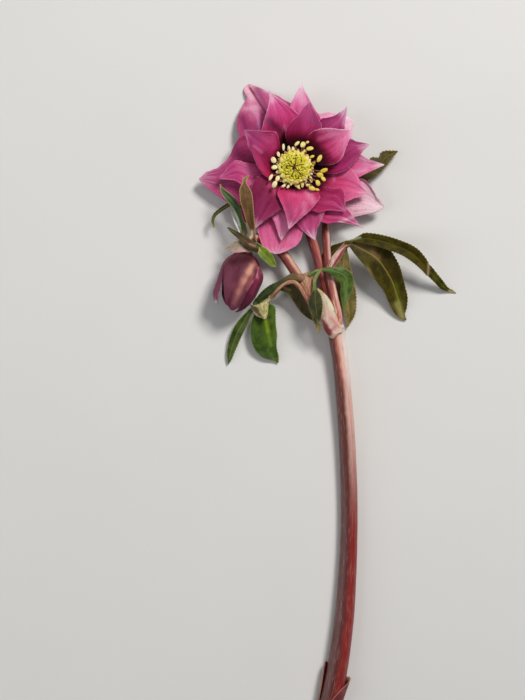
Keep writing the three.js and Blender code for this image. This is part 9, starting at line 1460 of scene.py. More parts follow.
def tube(body, slot, stations, sides=40, step=0.8, seed=0, ribs=0, rib_depth=0.0, cap=(None, None), marks=(), squash=1.0, tone=None, shade=None):
    """A round stalk through stations of x, y, z, radius, with lengthwise ribs and rounded or cut ends."""
    st = np.asarray(stations, float)
    _, L = curve(st, [0, 1])
    n = max(6, int(L / step))
    p, L = curve(st, np.linspace(0, 1, n))
    c, r = p[:, :3], p[:, 3].copy()
    s = np.linspace(0, L, n)
    if cap[0] == "round":
        c = np.vstack([c[:1] - (c[1] - c[0]) / np.linalg.norm(c[1] - c[0]) * r[0] * k for k in (0.95, 0.7, 0.35)] + [c])
        r, s = np.r_[r[0] * 0.2, r[0] * 0.7, r[0] * 0.93, r], np.r_[-r[0] * 0.95, -r[0] * 0.7, -r[0] * 0.35, s]
    if cap[1] == "round":
        d = (c[-1] - c[-2]) / np.linalg.norm(c[-1] - c[-2])
        c = np.vstack([c] + [c[-1:] + d * r[-1] * k for k in (0.35, 0.7, 0.95)])
        s, r = np.r_[s, s[-1] + r[-1] * 0.35, s[-1] + r[-1] * 0.7, s[-1] + r[-1] * 0.95], np.r_[r, r[-1] * 0.93, r[-1] * 0.7, r[-1] * 0.2]
    n = len(c)
    t = np.gradient(c, axis=0)
    t /= np.linalg.norm(t, axis=1)[:, None]
    up = np.array([0.0, 1.0, 0.0]) if abs(t[0][2]) > 0.9 else np.array([0.0, 0.0, 1.0])
    a = np.linspace(0, 2 * np.pi, sides, endpoint=False)
    lines = wobble(seed + 7, 4, 0.03, 0.12)
    rings, ups = [], []
    for i in range(n):
        up = up - up @ t[i] * t[i]
        up /= np.linalg.norm(up)
        across = np.cross(t[i], up)
        k = 1 + rib_depth * np.cos(ribs * a + 0.3 * lines(s[i])) + 0.006 * lines(s[i] + a)
        rad = r[i] * k
        rings.append(c[i] + rad[:, None] * (np.cos(a)[:, None] * up * squash + np.sin(a)[:, None] * across))
        ups.append(up.copy())
    g = np.array(rings)
    ids = np.arange(n * sides).reshape(n, sides)
    nxt = np.roll(ids, -1, axis=1)
    q = np.stack([ids[:-1], nxt[:-1], nxt[1:], ids[1:]], -1).reshape(-1, 4)
    A, S = np.meshgrid(a, s)
    R = r[:, None] * np.ones_like(A)
    pts = g.reshape(-1, 3)
    where, tinge = tints(pts, marks) if len(marks) else (0.0, (0.0, 0.0, 0.0))
    if shade is not None:
        where, tinge, *more = shade(pts, c, s, A, S, R)
        tone = more[0] if more else tone
    coord = np.stack([(R * np.cos(A)).ravel(), (R * np.sin(A)).ravel(), S.ravel()], 1) + 30 * seed
    body.add(
        pts, {4: q}, slot, along=(S / L).ravel(), across=(A / (2 * np.pi)).ravel(), edge=5.0, side=1.0, coord=coord,
        fan=coord * np.array([1, 1, 0.1]), tint=tinge, tinted=where, tone=0.5 if tone is None else tone,
    )
    for end, kind in ((0, cap[0]), (n - 1, cap[1])):
        if kind is None:
            continue
        ring = g[end]
        centre = ring.mean(0)
        if isinstance(kind, int):  # a cut face in its own material: a pale pith inside a darker ring
            share = np.array([1.0, 0.97, 0.9, 0.75, 0.5, 0.25, 0.0])
            d = t[end] * (1 if end else -1)
            dip = np.array([0.0, 0.05, 0.02, -0.08, -0.16, -0.22, -0.25])
            rr = np.array([centre + (ring - centre) * k + d * e for k, e in zip(share[:-1], dip[:-1])])
            cp = np.vstack([rr.reshape(-1, 3), centre + d * dip[-1]])
            m = len(share) - 1
            ii = np.arange(m * sides).reshape(m, sides)
            jj = np.roll(ii, -1, axis=1)
            q = np.stack([ii[:-1], jj[:-1], jj[1:], ii[1:]], -1).reshape(-1, 4)
            tip = np.stack([ii[-1], jj[-1], np.full(sides, m * sides)], -1)
            if not end:
                q, tip = q[:, ::-1], tip[:, ::-1]
            rad = np.r_[np.repeat(share[:-1], sides), 0.0]
            body.add(cp, {4: q, 3: tip}, kind, edge=rad, along=rad, side=1.0, coord=cp, fan=cp)
        else:
            body.add(
                np.vstack([ring, centre]),
                {3: np.stack([np.arange(sides), np.roll(np.arange(sides), -1), np.full(sides, sides)], -1)[:, :: (1 if end else -1)]},
                slot, along=s[end] / L, edge=5.0, side=1.0, coord=np.vstack([ring, centre]), fan=np.vstack([ring, centre]), tone=0.5,
            )
    return g


# ---- materials ------------------------------------------------------------------------


class Tree:
    """Builds one material's nodes. Values are sockets, numbers or colours."""

    def __init__(self, name):
        self.m = bpy.data.materials.new(name)
        self.m.use_nodes = True
        self.t = self.m.node_tree
        self.t.nodes.clear()
        self.out = self.t.nodes.new("ShaderNodeOutputMaterial")

    def put(self, socket, value):
        if isinstance(value, bpy.types.NodeSocket):
            self.t.links.new(value, socket)
        elif isinstance(value, (tuple, list)) and len(value) == 3 and socket.type == "RGBA":
            socket.default_value = (*value, 1)
        else:
            socket.default_value = value

    def node(self, kind, **inputs):
        n = self.t.nodes.new(kind)
        for k, v in inputs.items():
            self.put(n.inputs[k.replace("_", " ")], v)
        return n

    def attr(self, name, vector=False):
        n = self.t.nodes.new("ShaderNodeAttribute")
        n.attribute_name = name
        return n.outputs["Vector" if vector else "Fac"]

    def math(self, op, a, b=None, c=None, clamp=False):
        n = self.t.nodes.new("ShaderNodeMath")
        n.operation, n.use_clamp = op, clamp
        for k, v in enumerate((a, b, c)):
            if v is not None:
                self.put(n.inputs[k], v)
        return n.outputs[0]

    def scale(self, v, xyz):
        n = self.t.nodes.new("ShaderNodeVectorMath")
        n.operation = "MULTIPLY"
        self.put(n.inputs[0], v)
        n.inputs[1].default_value = xyz
        return n.outputs[0]

    def step(self, x, a, b, lo=0.0, hi=1.0):
        """Smooth step of x from a to b."""
        n = self.t.nodes.new("ShaderNodeMapRange")
        n.interpolation_type = "SMOOTHSTEP"
        for k, v in (("Value", x), ("From Min", a), ("From Max", b), ("To Min", lo), ("To Max", hi)):
            self.put(n.inputs[k], v)
        return n.outputs["Result"]

    def noise(self, vec, scale, detail=2.0, rough=0.5, warp=0.0):
        n = self.t.nodes.new("ShaderNodeTexNoise")
        self.put(n.inputs["Vector"], vec)
        n.inputs["Scale"].default_value = scale
        n.inputs["Detail"].default_value = detail
        n.inputs["Roughness"].default_value = rough
        n.inputs["Distortion"].default_value = warp
        return n.outputs["Fac"]

    def cells(self, vec, scale, feature="DISTANCE_TO_EDGE", random=1.0):
        n = self.t.nodes.new("ShaderNodeTexVoronoi")
        n.feature = feature
        self.put(n.inputs["Vector"], vec)
        n.inputs["Scale"].default_value = scale
        n.inputs["Randomness"].default_value = random
        return n.outputs["Distance"]

    def ramp(self, fac, stops):
        n = self.t.nodes.new("ShaderNodeValToRGB")
        self.put(n.inputs["Fac"], fac)
        e = n.color_ramp.elements
        while len(e) < len(stops):
            e.new(0.5)
        for k, (at, rgb) in zip(e, stops):
            k.position, k.color = at, (*rgb, 1)
        return n.outputs["Color"]

    def mix(self, fac, a, b, mode="MIX"):
        n = self.t.nodes.new("ShaderNodeMix")
        n.data_type, n.blend_type = "RGBA", mode
        self.put(n.inputs[0], fac)
        self.put(n.inputs[6], a)
        self.put(n.inputs[7], b)
        return n.outputs[2]

    def line(self, x, at, half):
        """1 where x is near `at`, 0 further than `half` from it."""
        return self.step(self.math("ABSOLUTE", self.math("SUBTRACT", x, at)), 0.0, half, 1.0, 0.0)

    def bump(self, height, strength, distance, normal=None):
        n = self.t.nodes.new("ShaderNodeBump")
        n.inputs["Strength"].default_value = strength
        n.inputs["Distance"].default_value = distance
        self.put(n.inputs["Height"], height)
        if normal is not None:
            self.put(n.inputs["Normal"], normal)
        return n.outputs["Normal"]

    def finish(self, base, rough, normal, **fixed):
        p = self.t.nodes.new("ShaderNodeBsdfPrincipled")
        self.put(p.inputs["Base Color"], base)
        self.put(p.inputs["Roughness"], rough)
        self.put(p.inputs["Normal"], normal)
        for k, v in fixed.items():
            self.put(p.inputs[k.replace("_", " ")], v)
        self.t.links.new(p.outputs["BSDF"], self.out.inputs["Surface"])
        return self.m


def petal_material(name, q):
    """Petal tissue: colour that runs from a dark base to a pale tip, forked lengthwise veins, mottling,
    soft pleat-like streaks, a pale rim and a duller back. The dark base and the throat are partly painted
    shade, the pale rim is partly painted highlight, and the tinted marks hold painted shadows and highlights."""
    t = Tree(name)
    fan, co = t.attr("fan", True), t.attr("coord", True)
    u, edge, side = t.attr("along"), t.attr("edge"), t.attr("side")
    broad = t.noise(fan, 0.5, 2.0, 0.55)
    shifted = t.math("ADD", u, t.math("MULTIPLY", t.math("SUBTRACT", broad, 0.5), 0.30))
    stops = [(at, colour(*rgb)) for at, rgb in q["ramp"]]
    col = t.ramp(shifted, stops)
    # broad streaks, light and dark
    col = t.mix(t.math("MULTIPLY", t.step(broad, 0.50, 0.72, 0.0, q.get("streak", 0.3)), t.step(u, 1.0, 0.8)), col, t.mix(1.0, col, (1.30, 1.7, 1.4), "MULTIPLY"))
    col = t.mix(t.step(broad, 0.50, 0.28, 0.0, q.get("streak", 0.3) * 1.5), col, t.mix(1.0, col, (0.66, 0.38, 0.56), "MULTIPLY"))
    # tints from the marks, many of them painted shadows and highlights
    col = t.mix(t.attr("tinted"), col, t.attr("tint", True))
    # fine streaks between the veins
    fine = t.noise(fan, 2.1, 3.0, 0.62, 0.1)
    near = t.step(u, 0.92, 0.5, 0.12, 1.0)
    col = t.mix(t.math("MULTIPLY", t.step(fine, 0.48, 0.8, 0.0, 0.5), near), col, t.mix(1.0, col, (1.22, 1.5, 1.3), "MULTIPLY"))
    col = t.mix(t.math("MULTIPLY", t.step(fine, 0.5, 0.25, 0.0, 0.6), near), col, t.mix(1.0, col, (0.76, 0.5, 0.62), "MULTIPLY"))
    # veins that fork and meet again
    main = t.noise(fan, 1.05, 1.0, 0.5, 0.2)
    veins = t.math("MAXIMUM", t.line(main, 0.5, 0.03), t.math("MULTIPLY", t.line(fine, 0.5, 0.06), 0.35))
    veins = t.math("MULTIPLY", veins, t.step(t.noise(co, 0.8, 2.0), 0.35, 0.6, 0.35, 1.0))
    veins = t.math("MULTIPLY", veins, t.step(u, 0.92, 0.5, 0.1, 1.0))
    col = t.mix(t.math("MULTIPLY", veins, q.get("vein", 0.34) * 0.75), col, t.mix(1.0, col, (0.58, 0.24, 0.40), "MULTIPLY"))
    # mottling and grain
    grain = t.noise(co, 2.4, 3.0, 0.65)
    col = t.mix(t.step(grain, 0.5, 0.72, 0.0, 0.35), col, t.mix(1.0, col, (1.25, 1.6, 1.3), "MULTIPLY"))
    patch = t.noise(co, 1.1, 3.0, 0.6)
    col = t.mix(t.step(patch, 0.5, 0.3, 0.0, 0.45), col, t.mix(1.0, col, (0.78, 0.55, 0.66), "MULTIPLY"))
    speck = t.noise(co, 6.5, 2.0, 0.6)
    col = t.mix(t.step(speck, 0.5, 0.75, 0.0, 0.5), col, t.mix(1.0, col, (0.76, 0.58, 0.7), "MULTIPLY"))
    # the dark throat: the base's own deep wine and painted shade deep in the bowl, darkest at the centre
    deep = t.math("ADD", t.attr("tone"), t.math("MULTIPLY", t.math("SUBTRACT", fine, 0.5), 0.5))
    col = t.mix(t.step(deep, 0.15, 0.75, 0.0, q.get("throat_show", 0.95)), col, t.mix(t.step(deep, 0.45, 1.0), colour(*q.get("throat_high", (112, 4, 38))), colour(36, 1, 10)))
    # rim: partly a pale margin and partly painted highlight on the thin edge
    rough_rim = t.math("ADD", edge, t.math("MULTIPLY", t.math("SUBTRACT", t.noise(co, 1.6, 2.0), 0.5), 0.5))
    rim = t.math("MULTIPLY", t.step(rough_rim, q.get("rim_width", 0.3), 0.0), t.math("MULTIPLY", t.step(u, 0.2, 0.5), t.step(t.noise(co, 0.55, 2.0), 0.34, 0.6, 0.25, 1.0)))
    col = t.mix(t.math("MULTIPLY", rim, q.get("rim", 0.7)), col, colour(*q.get("rim_colour", (226, 176, 202))))
    # back
    back = t.mix(t.math("MULTIPLY", veins, 0.4), t.mix(0.45, col, colour(*q.get("back", (170, 96, 130)))), colour(104, 44, 70))
    col = t.mix(t.step(side, 0.2, -0.2), col, back)
    height = t.math("ADD", t.math("MULTIPLY", veins, -0.6), t.math("ADD", t.math("MULTIPLY", broad, 1.2), t.math("MULTIPLY", fine, 0.8)))
    height = t.math("ADD", height, t.math("MULTIPLY", grain, 0.3))
    normal = t.bump(height, 0.6, 0.00025)
    rough = t.step(grain, 0.3, 0.75, 0.48, 0.66)
    return t.finish(
        col, rough, normal, Subsurface_Weight=0.08, Subsurface_Radius=(1.0, 0.3, 0.4), Subsurface_Scale=0.0005,
        Sheen_Weight=0.03, Sheen_Roughness=0.4, Sheen_Tint=(1.0, 0.6, 0.8, 1.0), Specular_IOR_Level=0.2, Specular_Tint=(1.0, 0.75, 0.85, 1.0),
    )


def leaf_material(name, q):
    """Leaf tissue: two greens in drifting patches, a paler midrib, side veins that curve to the edge, a net
    of small veins, tinted patches, pale tooth tips and a duller back."""
    t = Tree(name)
    co = t.attr("coord", True)
    u, edge, side, tooth, across = t.attr("along"), t.attr("edge"), t.attr("side"), t.attr("tooth"), t.attr("across")
    xyz = t.t.nodes.new("ShaderNodeSeparateXYZ")
    t.put(xyz.inputs[0], co)
    s, w = xyz.outputs[0], t.math("ABSOLUTE", xyz.outputs[1])
    drift = t.noise(co, 0.35, 3.0, 0.55)
    col = t.mix(t.step(drift, 0.36, 0.64), colour(*q["dark"]), colour(*q["light"]))
    col = t.mix(t.attr("tinted"), col, t.attr("tint", True))
    # net of small veins
    net = t.cells(t.scale(co, (0.8, 1.0, 1.0)), 1.5)
    mesh = t.step(net, 0.0, 0.16, 1.0, 0.0)
    col = t.mix(t.math("MULTIPLY", mesh, q.get("net", 0.22) * 0.5), col, t.mix(1.0, col, q.get("net_tone", (1.5, 1.45, 1.25)), "MULTIPLY"))
    # side veins
    gap = q.get("gap", 3.0)
    bent = t.math("SUBTRACT", s, t.math("MULTIPLY", w, 1.25))
    bent = t.math("ADD", bent, t.math("MULTIPLY", t.noise(co, 0.5, 1.0), 0.8))
    wave = t.math("FRACT", t.math("DIVIDE", bent, gap))
    sides = t.math("MULTIPLY", t.line(wave, 0.5, 0.09), t.step(edge, 0.0, 0.7))
    col = t.mix(t.math("MULTIPLY", sides, q.get("veins", 0.22)), col, t.mix(0.5, col, colour(*q.get("vein_colour", q["light"]))))
    # midrib
    rib = t.math("MULTIPLY", t.step(w, q.get("rib_width", 0.38), 0.08), t.step(u, 1.0, 0.75, 0.25, 1.0))
    col = t.mix(t.math("MULTIPLY", rib, q.get("rib_show", 0.6)), col, colour(*q.get("rib_colour", (150, 140, 90))))
    # fine grain
    grain = t.noise(co, 5.0, 3.0, 0.65)
    col = t.mix(t.step(grain, 0.4, 0.7, 0.0, 0.35), col, t.mix(1.0, col, (0.66, 0.68, 0.6), "MULTIPLY"))
    if "mottle" in q:
        spots = t.noise(co, 1.3, 3.0, 0.7)
        col = t.mix(t.step(spots, 0.42, 0.7, 0.0, q.get("mottled", 0.7)), col, colour(*q["mottle"]))
    # rim and tooth tips
    rim = t.step(t.math("ADD", edge, t.math("MULTIPLY", t.math("SUBTRACT", grain, 0.5), 0.3)), q.get("rim_width", 0.3), 0.02)
    col = t.mix(t.math("MULTIPLY", rim, q.get("rim", 0.45)), col, colour(*q.get("rim_colour", (150, 140, 84))))
    col = t.mix(t.step(tooth, 0.55, 0.9, 0.0, q.get("tips", 0.8)), col, colour(*q.get("tip_colour", (196, 186, 140))))
    back = t.mix(t.math("MULTIPLY", sides, 0.4), t.mix(q.get("back_share", 0.55), col, colour(*q.get("back", (120, 128, 84)))), colour(150, 146, 104))
    col = t.mix(t.step(side, 0.2, -0.2), col, back)
    height = t.math("ADD", t.math("MULTIPLY", t.math("ADD", t.math("MULTIPLY", sides, -1.0), t.math("MULTIPLY", mesh, -0.2)), 1.0), t.math("MULTIPLY", grain, 0.3))
    normal = t.bump(height, q.get("bump", 0.2), 0.0002)
    rough = t.step(grain, 0.3, 0.75, q.get("rough", 0.46), q.get("rough", 0.46) + 0.14)
    return t.finish(
        col, rough, normal, Subsurface_Weight=0.06, Subsurface_Radius=(0.4, 0.8, 0.15), Subsurface_Scale=0.0004,
        Specular_IOR_Level=q.get("spec", 0.3), Sheen_Weight=q.get("sheen", 0.05), Sheen_Roughness=0.4,
    )


def dry_material(name, q):
    """Striped, papery or stalk-like tissue: lengthwise ribs in two colours, stains and a pale rim."""
    t = Tree(name)
    fan, co = t.attr("fan", True), t.attr("coord", True)
    edge, side, u = t.attr("edge"), t.attr("side"), t.attr("along")
    lines = t.noise(fan, q.get("lines", 1.6), 2.0, 0.6, 0.1)
    stripe = t.step(lines, 0.44, 0.58)
    col = t.mix(stripe, colour(*q["dark"]), colour(*q["light"]))
    col = t.mix(t.attr("tinted"), col, t.attr("tint", True))
    stain = t.noise(co, 0.7, 3.0, 0.6)
    col = t.mix(t.step(stain, 0.55, 0.75, 0.0, q.get("stain", 0.4)), col, colour(*q.get("stain_colour", q["dark"])))
    thread = t.line(t.noise(fan, 3.4, 1.0), 0.5, 0.05)
    col = t.mix(t.math("MULTIPLY", thread, q.get("thread", 0.4)), col, colour(*q.get("thread_colour", q["dark"])))
    grain = t.noise(co, 6.0, 3.0, 0.65)
    col = t.mix(t.step(grain, 0.4, 0.7, 0.0, 0.35), col, t.mix(1.0, col, (0.74, 0.68, 0.66), "MULTIPLY"))
    rim = t.step(t.math("ADD", edge, t.math("MULTIPLY", t.math("SUBTRACT", grain, 0.5), 0.4)), q.get("rim_width", 0.4), 0.03)
    col = t.mix(t.math("MULTIPLY", rim, q.get("rim", 0.7)), col, colour(*q.get("rim_colour", q["light"])))
    back = t.mix(0.4, col, colour(*q.get("back", q["dark"])))
    col = t.mix(t.step(side, 0.2, -0.2), col, back)
    height = t.math("ADD", t.math("MULTIPLY", lines, 1.2), t.math("ADD", t.math("MULTIPLY", thread, -0.4), t.math("MULTIPLY", grain, 0.3)))
    normal = t.bump(height, q.get("bump", 0.7), 0.00025)
    rough = t.step(grain, 0.3, 0.75, q.get("rough", 0.45), q.get("rough", 0.45) + 0.18)
    return t.finish(col, rough, normal, Specular_IOR_Level=0.45, Subsurface_Weight=0.08, Subsurface_Radius=(1.0, 0.5, 0.35), Subsurface_Scale=0.0005)


def stem_material(name, q):
    """Stem skin: two base colours, mostly covered by the tint, lengthwise ribs, and pale dots over a darker red. The
    tint carries painted light and shade along with the stem's own colours, and the cream streaks are partly painted
    highlight.
    """
    t = Tree(name)
    co, fan = t.attr("coord", True), t.attr("fan", True)
    u = t.attr("along")
    lines = t.noise(fan, 1.3, 2.0, 0.55)
    col = t.mix(t.step(lines, 0.4, 0.62), colour(*q["dark"]), colour(*q["light"]))
    # the tint: the stem's own colours together with painted light and shade
    col = t.mix(t.attr("tinted"), col, t.attr("tint", True))
    stripes = t.noise(fan, 2.2, 1.0, 0.5)
    col = t.mix(t.step(stripes, 0.55, 0.7, 0.0, q.get("stripes", 0.2)), col, t.mix(0.4, col, (1.0, 0.62, 0.5)))
    col = t.mix(t.step(stripes, 0.45, 0.3, 0.0, q.get("stripes", 0.2)), col, t.mix(1.0, col, (0.6, 0.4, 0.42), "MULTIPLY"))
    dots = t.cells(t.scale(co, (1.0, 1.0, 0.7)), q.get("dot_scale", 3.4), "F1")
    pale = t.math("MULTIPLY", t.step(dots, 0.34, 0.12), t.step(t.noise(co, 0.9, 2.0), 0.35, 0.6))
    col = t.mix(t.math("MULTIPLY", pale, q.get("dots", 0.42)), col, t.mix(0.55, col, colour(*q.get("dot_colour", (226, 128, 96)))))
    # cream streaks where the tone is high: partly pale ribs and partly painted highlight
    cream = t.math("MULTIPLY", t.step(t.noise(fan, 1.7, 2.0, 0.6), 0.50, 0.66), t.attr("tone"))
    col = t.mix(t.math("MULTIPLY", cream, 0.9), col, colour(250, 224, 200))
    grain = t.noise(t.scale(co, (1.0, 1.0, 0.5)), 4.5, 3.0, 0.65)
    col = t.mix(t.step(grain, 0.45, 0.72, 0.0, 0.5), col, t.mix(1.0, col, (0.62, 0.42, 0.44), "MULTIPLY"))
    height = t.math("ADD", t.math("MULTIPLY", lines, 0.9), t.math("ADD", t.math("MULTIPLY", pale, 0.2), t.math("MULTIPLY", grain, 0.35)))
    normal = t.bump(height, 0.5, 0.0002)
    rough = t.step(grain, 0.3, 0.75, 0.32, 0.5)
    return t.finish(col, rough, normal, Specular_IOR_Level=0.34, Subsurface_Weight=0.1, Subsurface_Radius=(1.0, 0.3, 0.25), Subsurface_Scale=0.0006)


def cut_material(name):
    """The cut end: wet pale-green pith with a ring of darker bundles under the skin."""
    t = Tree(name)
    co, r = t.attr("coord", True), t.attr("edge")
    n = t.noise(co, 2.2, 3.0, 0.6)
    x = t.math("ADD", r, t.math("MULTIPLY", t.math("SUBTRACT", n, 0.5), 0.12))
    col = t.ramp(x, [(0.0, colour(206, 208, 156)), (0.55, colour(188, 196, 132)), (0.78, colour(140, 150, 84)), (0.9, colour(176, 120, 92)), (1.0, colour(120, 44, 48))])
    dots = t.cells(co, 1.6, "F1")
    ring = t.math("MULTIPLY", t.line(x, 0.8, 0.14), t.step(dots, 0.4, 0.1))
    col = t.mix(t.math("MULTIPLY", ring, 0.6), col, colour(96, 104, 52))
    fine = t.cells(co, 5.0, "F1")
    col = t.mix(t.step(fine, 0.3, 0.6, 0.0, 0.3), col, t.mix(1.0, col, (0.7, 0.72, 0.62), "MULTIPLY"))
    normal = t.bump(t.math("ADD", t.math("MULTIPLY", fine, -0.6), n), 0.6, 0.0002)
    return t.finish(col, t.step(n, 0.3, 0.7, 0.28, 0.45), normal, Specular_IOR_Level=0.5)


def anther_material(name, ripe):
    """Anther skin, powdery with pollen; tone gives each its own share of green, yellow and cream."""
    t = Tree(name)
    co, tone, u = t.attr("coord", True), t.attr("tone"), t.attr("along")
    n = t.noise(co, 3.0, 3.0, 0.6)
    x = t.math("ADD", tone, t.math("MULTIPLY", t.math("SUBTRACT", n, 0.5), 0.5))
    if ripe:
        col = t.ramp(x, [(0.0, colour(232, 196, 62)), (0.3, colour(242, 216, 98)), (0.6, colour(248, 232, 146)), (1.0, colour(252, 243, 188))])
    else:
        col = t.ramp(x, [(0.0, colour(166, 150, 10)), (0.25, colour(204, 190, 26)), (0.55, colour(228, 216, 62)), (0.8, colour(240, 232, 104)), (1.0, colour(250, 246, 176))])
    seam = t.attr("edge")
    col = t.mix(t.step(seam, 0.5, 0.0, 0.0, 0.3), col, colour(206, 160, 40) if ripe else colour(150, 136, 14))
    dust = t.noise(co, 9.0, 2.0, 0.7)
    col = t.mix(t.step(dust, 0.5, 0.7, 0.0, 0.4), col, t.mix(1.0, col, (0.8, 0.76, 0.55), "MULTIPLY"))
    normal = t.bump(t.math("ADD", t.math("MULTIPLY", dust, 0.7), n), 0.5, 0.00012)
    return t.finish(col, t.step(dust, 0.3, 0.7, 0.5, 0.7), normal, Specular_IOR_Level=0.35, Subsurface_Weight=0.12, Subsurface_Radius=(1.0, 0.8, 0.3), Subsurface_Scale=0.0004)


def thread_material(name, low, high, rough=0.4):
    """Filaments and styles: a colour at the foot that changes along the thread, with fine streaks."""
    t = Tree(name)
    co, u = t.attr("coord", True), t.attr("along")
    n = t.noise(t.scale(co, (1.0, 1.0, 0.4)), 3.0, 3.0, 0.6)
    x = t.math("ADD", u, t.math("MULTIPLY", t.math("SUBTRACT", n, 0.5), 0.3))
    col = t.ramp(x, [(0.0, colour(*low)), (0.45, colour(*low)), (0.95, colour(*high))])
    col = t.mix(t.step(n, 0.5, 0.7, 0.0, 0.5), col, t.mix(1.0, col, (0.6, 0.45, 0.5), "MULTIPLY"))
    normal = t.bump(n, 0.4, 0.00012)
    return t.finish(col, t.step(n, 0.3, 0.7, rough, rough + 0.15), normal, Specular_IOR_Level=0.45)


def floor_material():
    t = Tree("studio_floor")
    g = t.t.nodes.new("ShaderNodeTexCoord").outputs["Object"]
    n = t.noise(g, 14.0, 3.0, 0.5)
    col = t.mix(n, colour(*FLOOR_A), colour(*FLOOR_B))
    return t.finish(col, 0.75, t.bump(n, 0.02, 0.0002), Specular_IOR_Level=0.2)


# ---- the flower -----------------------------------------------------------------------

for k, name in enumerate(sorted(PETALS)):
    q = PETALS[name]
    body = Body()
    petal(body, 0, BLADES[name], q, 11 + 7 * k)
    body.build("look_" + name, [petal_material("skin_" + name, q)], [name], "petals" if name.startswith("petal_") else "outer_tepals")

# ---- the bud ----------------------------------------------------------------------------

for k, name in enumerate(sorted(BUDS)):
    q = BUDS[name]
    body = Body()
    wrap(body, 0, WRAPS[name], q, 311 + 9 * k, nu=96)
    body.build("look_" + name, [petal_material("skin_" + name, q)], [name], "bud_tepals")

# ---- leaves -----------------------------------------------------------------------------

for k, (node, q0) in enumerate(BRACTS.items()):
    body, mats = Body(), []
    for i, name in enumerate(q0["blades"]):
        q = LEAVES[name]
        make = dry_material if q.get("dry") else leaf_material
        mats.append(make("skin_" + name, q))
        leaf(body, i, BLADES[name], q, 501 + 31 * k + 5 * i, vein_at=q.get("vein_at", 0.5))
    for i, (path, of) in enumerate(q0["stalks"]):
        tube(
            body, q0["blades"].index(of), path, sides=18, step=0.25, seed=70 + i, cap=("round", "round"),
            shade=lambda p, c, s, A, S, R, m=LEAVES[of].get("marks", ()): tints(p, m) if len(m) else (np.zeros(len(p)), np.zeros((len(p), 3))),
        )
    body.build("look_" + node, mats, [node], q0["slot"])

# ---- papery sheath -------------------------------------------------------------------------

body = Body()
wrap(body, 0, WRAPS["basal_sheath"], SHEATH, 901, nu=150, nv=26)
body.build("look_basal_sheath", [dry_material("skin_basal_sheath", SHEATH)], ["basal_sheath"], "papery_sheath")

# ---- stem -----------------------------------------------------------------------------------


def stem_colour_and_painted_light(pts, c, s, A, S, R):
    """Colour of the scape, much of it painted light: a greyish painted reflection along its -X side, then dark
    red-brown, and pale pink painted light on the +X side with a painted white highlight close to the node; deep red low
    down."""
    n = pts - np.repeat(c, A.shape[1], axis=0)
    n /= np.linalg.norm(n, axis=1)[:, None]
    y = pts[:, 1]
    x = n[:, 0] + 0.05 * wobble(5, 4, 0.02, 0.09)(y) + 0.03 * wobble(6, 4, 0.1, 0.4)(y)
    high, mid = smooth(y, -3.0, 20.0), smooth(y, -58.0, -4.0)

    def blend(a, b, f):
        return a * (1 - f[:, None]) + np.array(colour(*STEM[b]))[None] * f[:, None]

    col = np.repeat(np.array(colour(*STEM["wine"]))[None], len(y), 0)
    col = blend(col, "brown", 0.75 * mid)
    col = blend(col, "red", smooth(x, -0.3, 0.4) * (1 - 0.9 * mid))
    # painted light on the +X side: a share that fades out low down, blended in as pale pink
    lit = smooth(x, -0.15 - 0.12 * high, 0.42 - 0.14 * high) * (0.84 * mid + 0.16 * high)
    col = blend(col, "coral", 0.8 * high * smooth(x, -0.45, -0.2))
    col = blend(col, "painted_light_pink", lit)
    col = blend(col, "coral", 0.3 * (1 - high) * mid * np.exp(-(((x - 0.62) / 0.1) ** 2)))
    # painted white highlight on the +X side close to the node
    col = blend(col, "painted_highlight_white", high**0.6 * smooth(x, 0.42, 0.64))
    # painted greyish reflection along the -X side
    col = blend(col, "painted_reflection_grey", 0.9 * smooth(-x, 0.55 - 0.35 * (1 - mid), 0.75 - 0.3 * (1 - mid)))
    col = blend(col, "mauve", 0.4 * (1 - mid) * smooth(x, 0.6, 0.85))
    # whitish ring at the node, higher on the +X side, with a darker line over it
    at = y - STEM["ring_y"] - 1.0 * n[:, 0] - 0.25 * np.sin(3 * A.ravel())
    col = blend(col, "ring", 0.85 * np.exp(-((at / 0.5) ** 2)) * smooth(n[:, 0], -0.9, -0.2))
    col = blend(col, "wine", 0.6 * np.exp(-(((at - 1.1) / 0.5) ** 2)))
    col = blend(col, "brown", 0.7 * smooth(at, 1.2, 2.2) * smooth(-n[:, 0], -0.1, 0.4))
    # the tone sets the cream streaks of the stem material, partly painted highlight, stronger on the +X side close to
    # the node
    return np.full(len(y), 0.9), col, (0.2 * high) * (0.35 + 0.65 * smooth(n[:, 0], -0.6, 0.1))


# Colour of a branch: a base colour going to a top colour along it, painted shade on the -X side, a painted highlight
# stripe on the side facing up and to +X, and cream streaks near the base that are partly pale ribs and partly painted
# highlight.
def branch_colour_and_painted_light(base, top, lit, dim, cream=0.9, rest=0.1):
    def shade(pts, c, s, A, S, R):
        n = pts - np.repeat(c, A.shape[1], axis=0)
        n /= np.linalg.norm(n, axis=1)[:, None]
        f = (S / S.max()).ravel()
        far = smooth(f, 0.12, 0.42)
        col = np.array(colour(*base))[None] * (1 - far[:, None]) + np.array(colour(*top))[None] * far[:, None]
        # painted shade on the -X side
        d = smooth(-n[:, 0], 0.1, 0.75)
        col = col * (1 - 0.6 * d[:, None]) + 0.6 * d[:, None] * np.array(colour(*dim))[None]
        # painted highlight stripe on the side facing up and to +X
        l = smooth(n @ np.array([0.6, 0.35, 0.72]), 0.86, 0.985)
        col = col * (1 - 0.85 * l[:, None]) + 0.85 * l[:, None] * np.array(colour(*lit))[None]
        extra, tinge = tints(pts, STEM["marks"])
        col = col * (1 - extra[:, None]) + tinge * extra[:, None]
        # tone: the cream streaks, strongest near the base, partly painted highlight
        return np.full(len(pts), 0.85), col, cream + (rest - cream) * far

    return shade


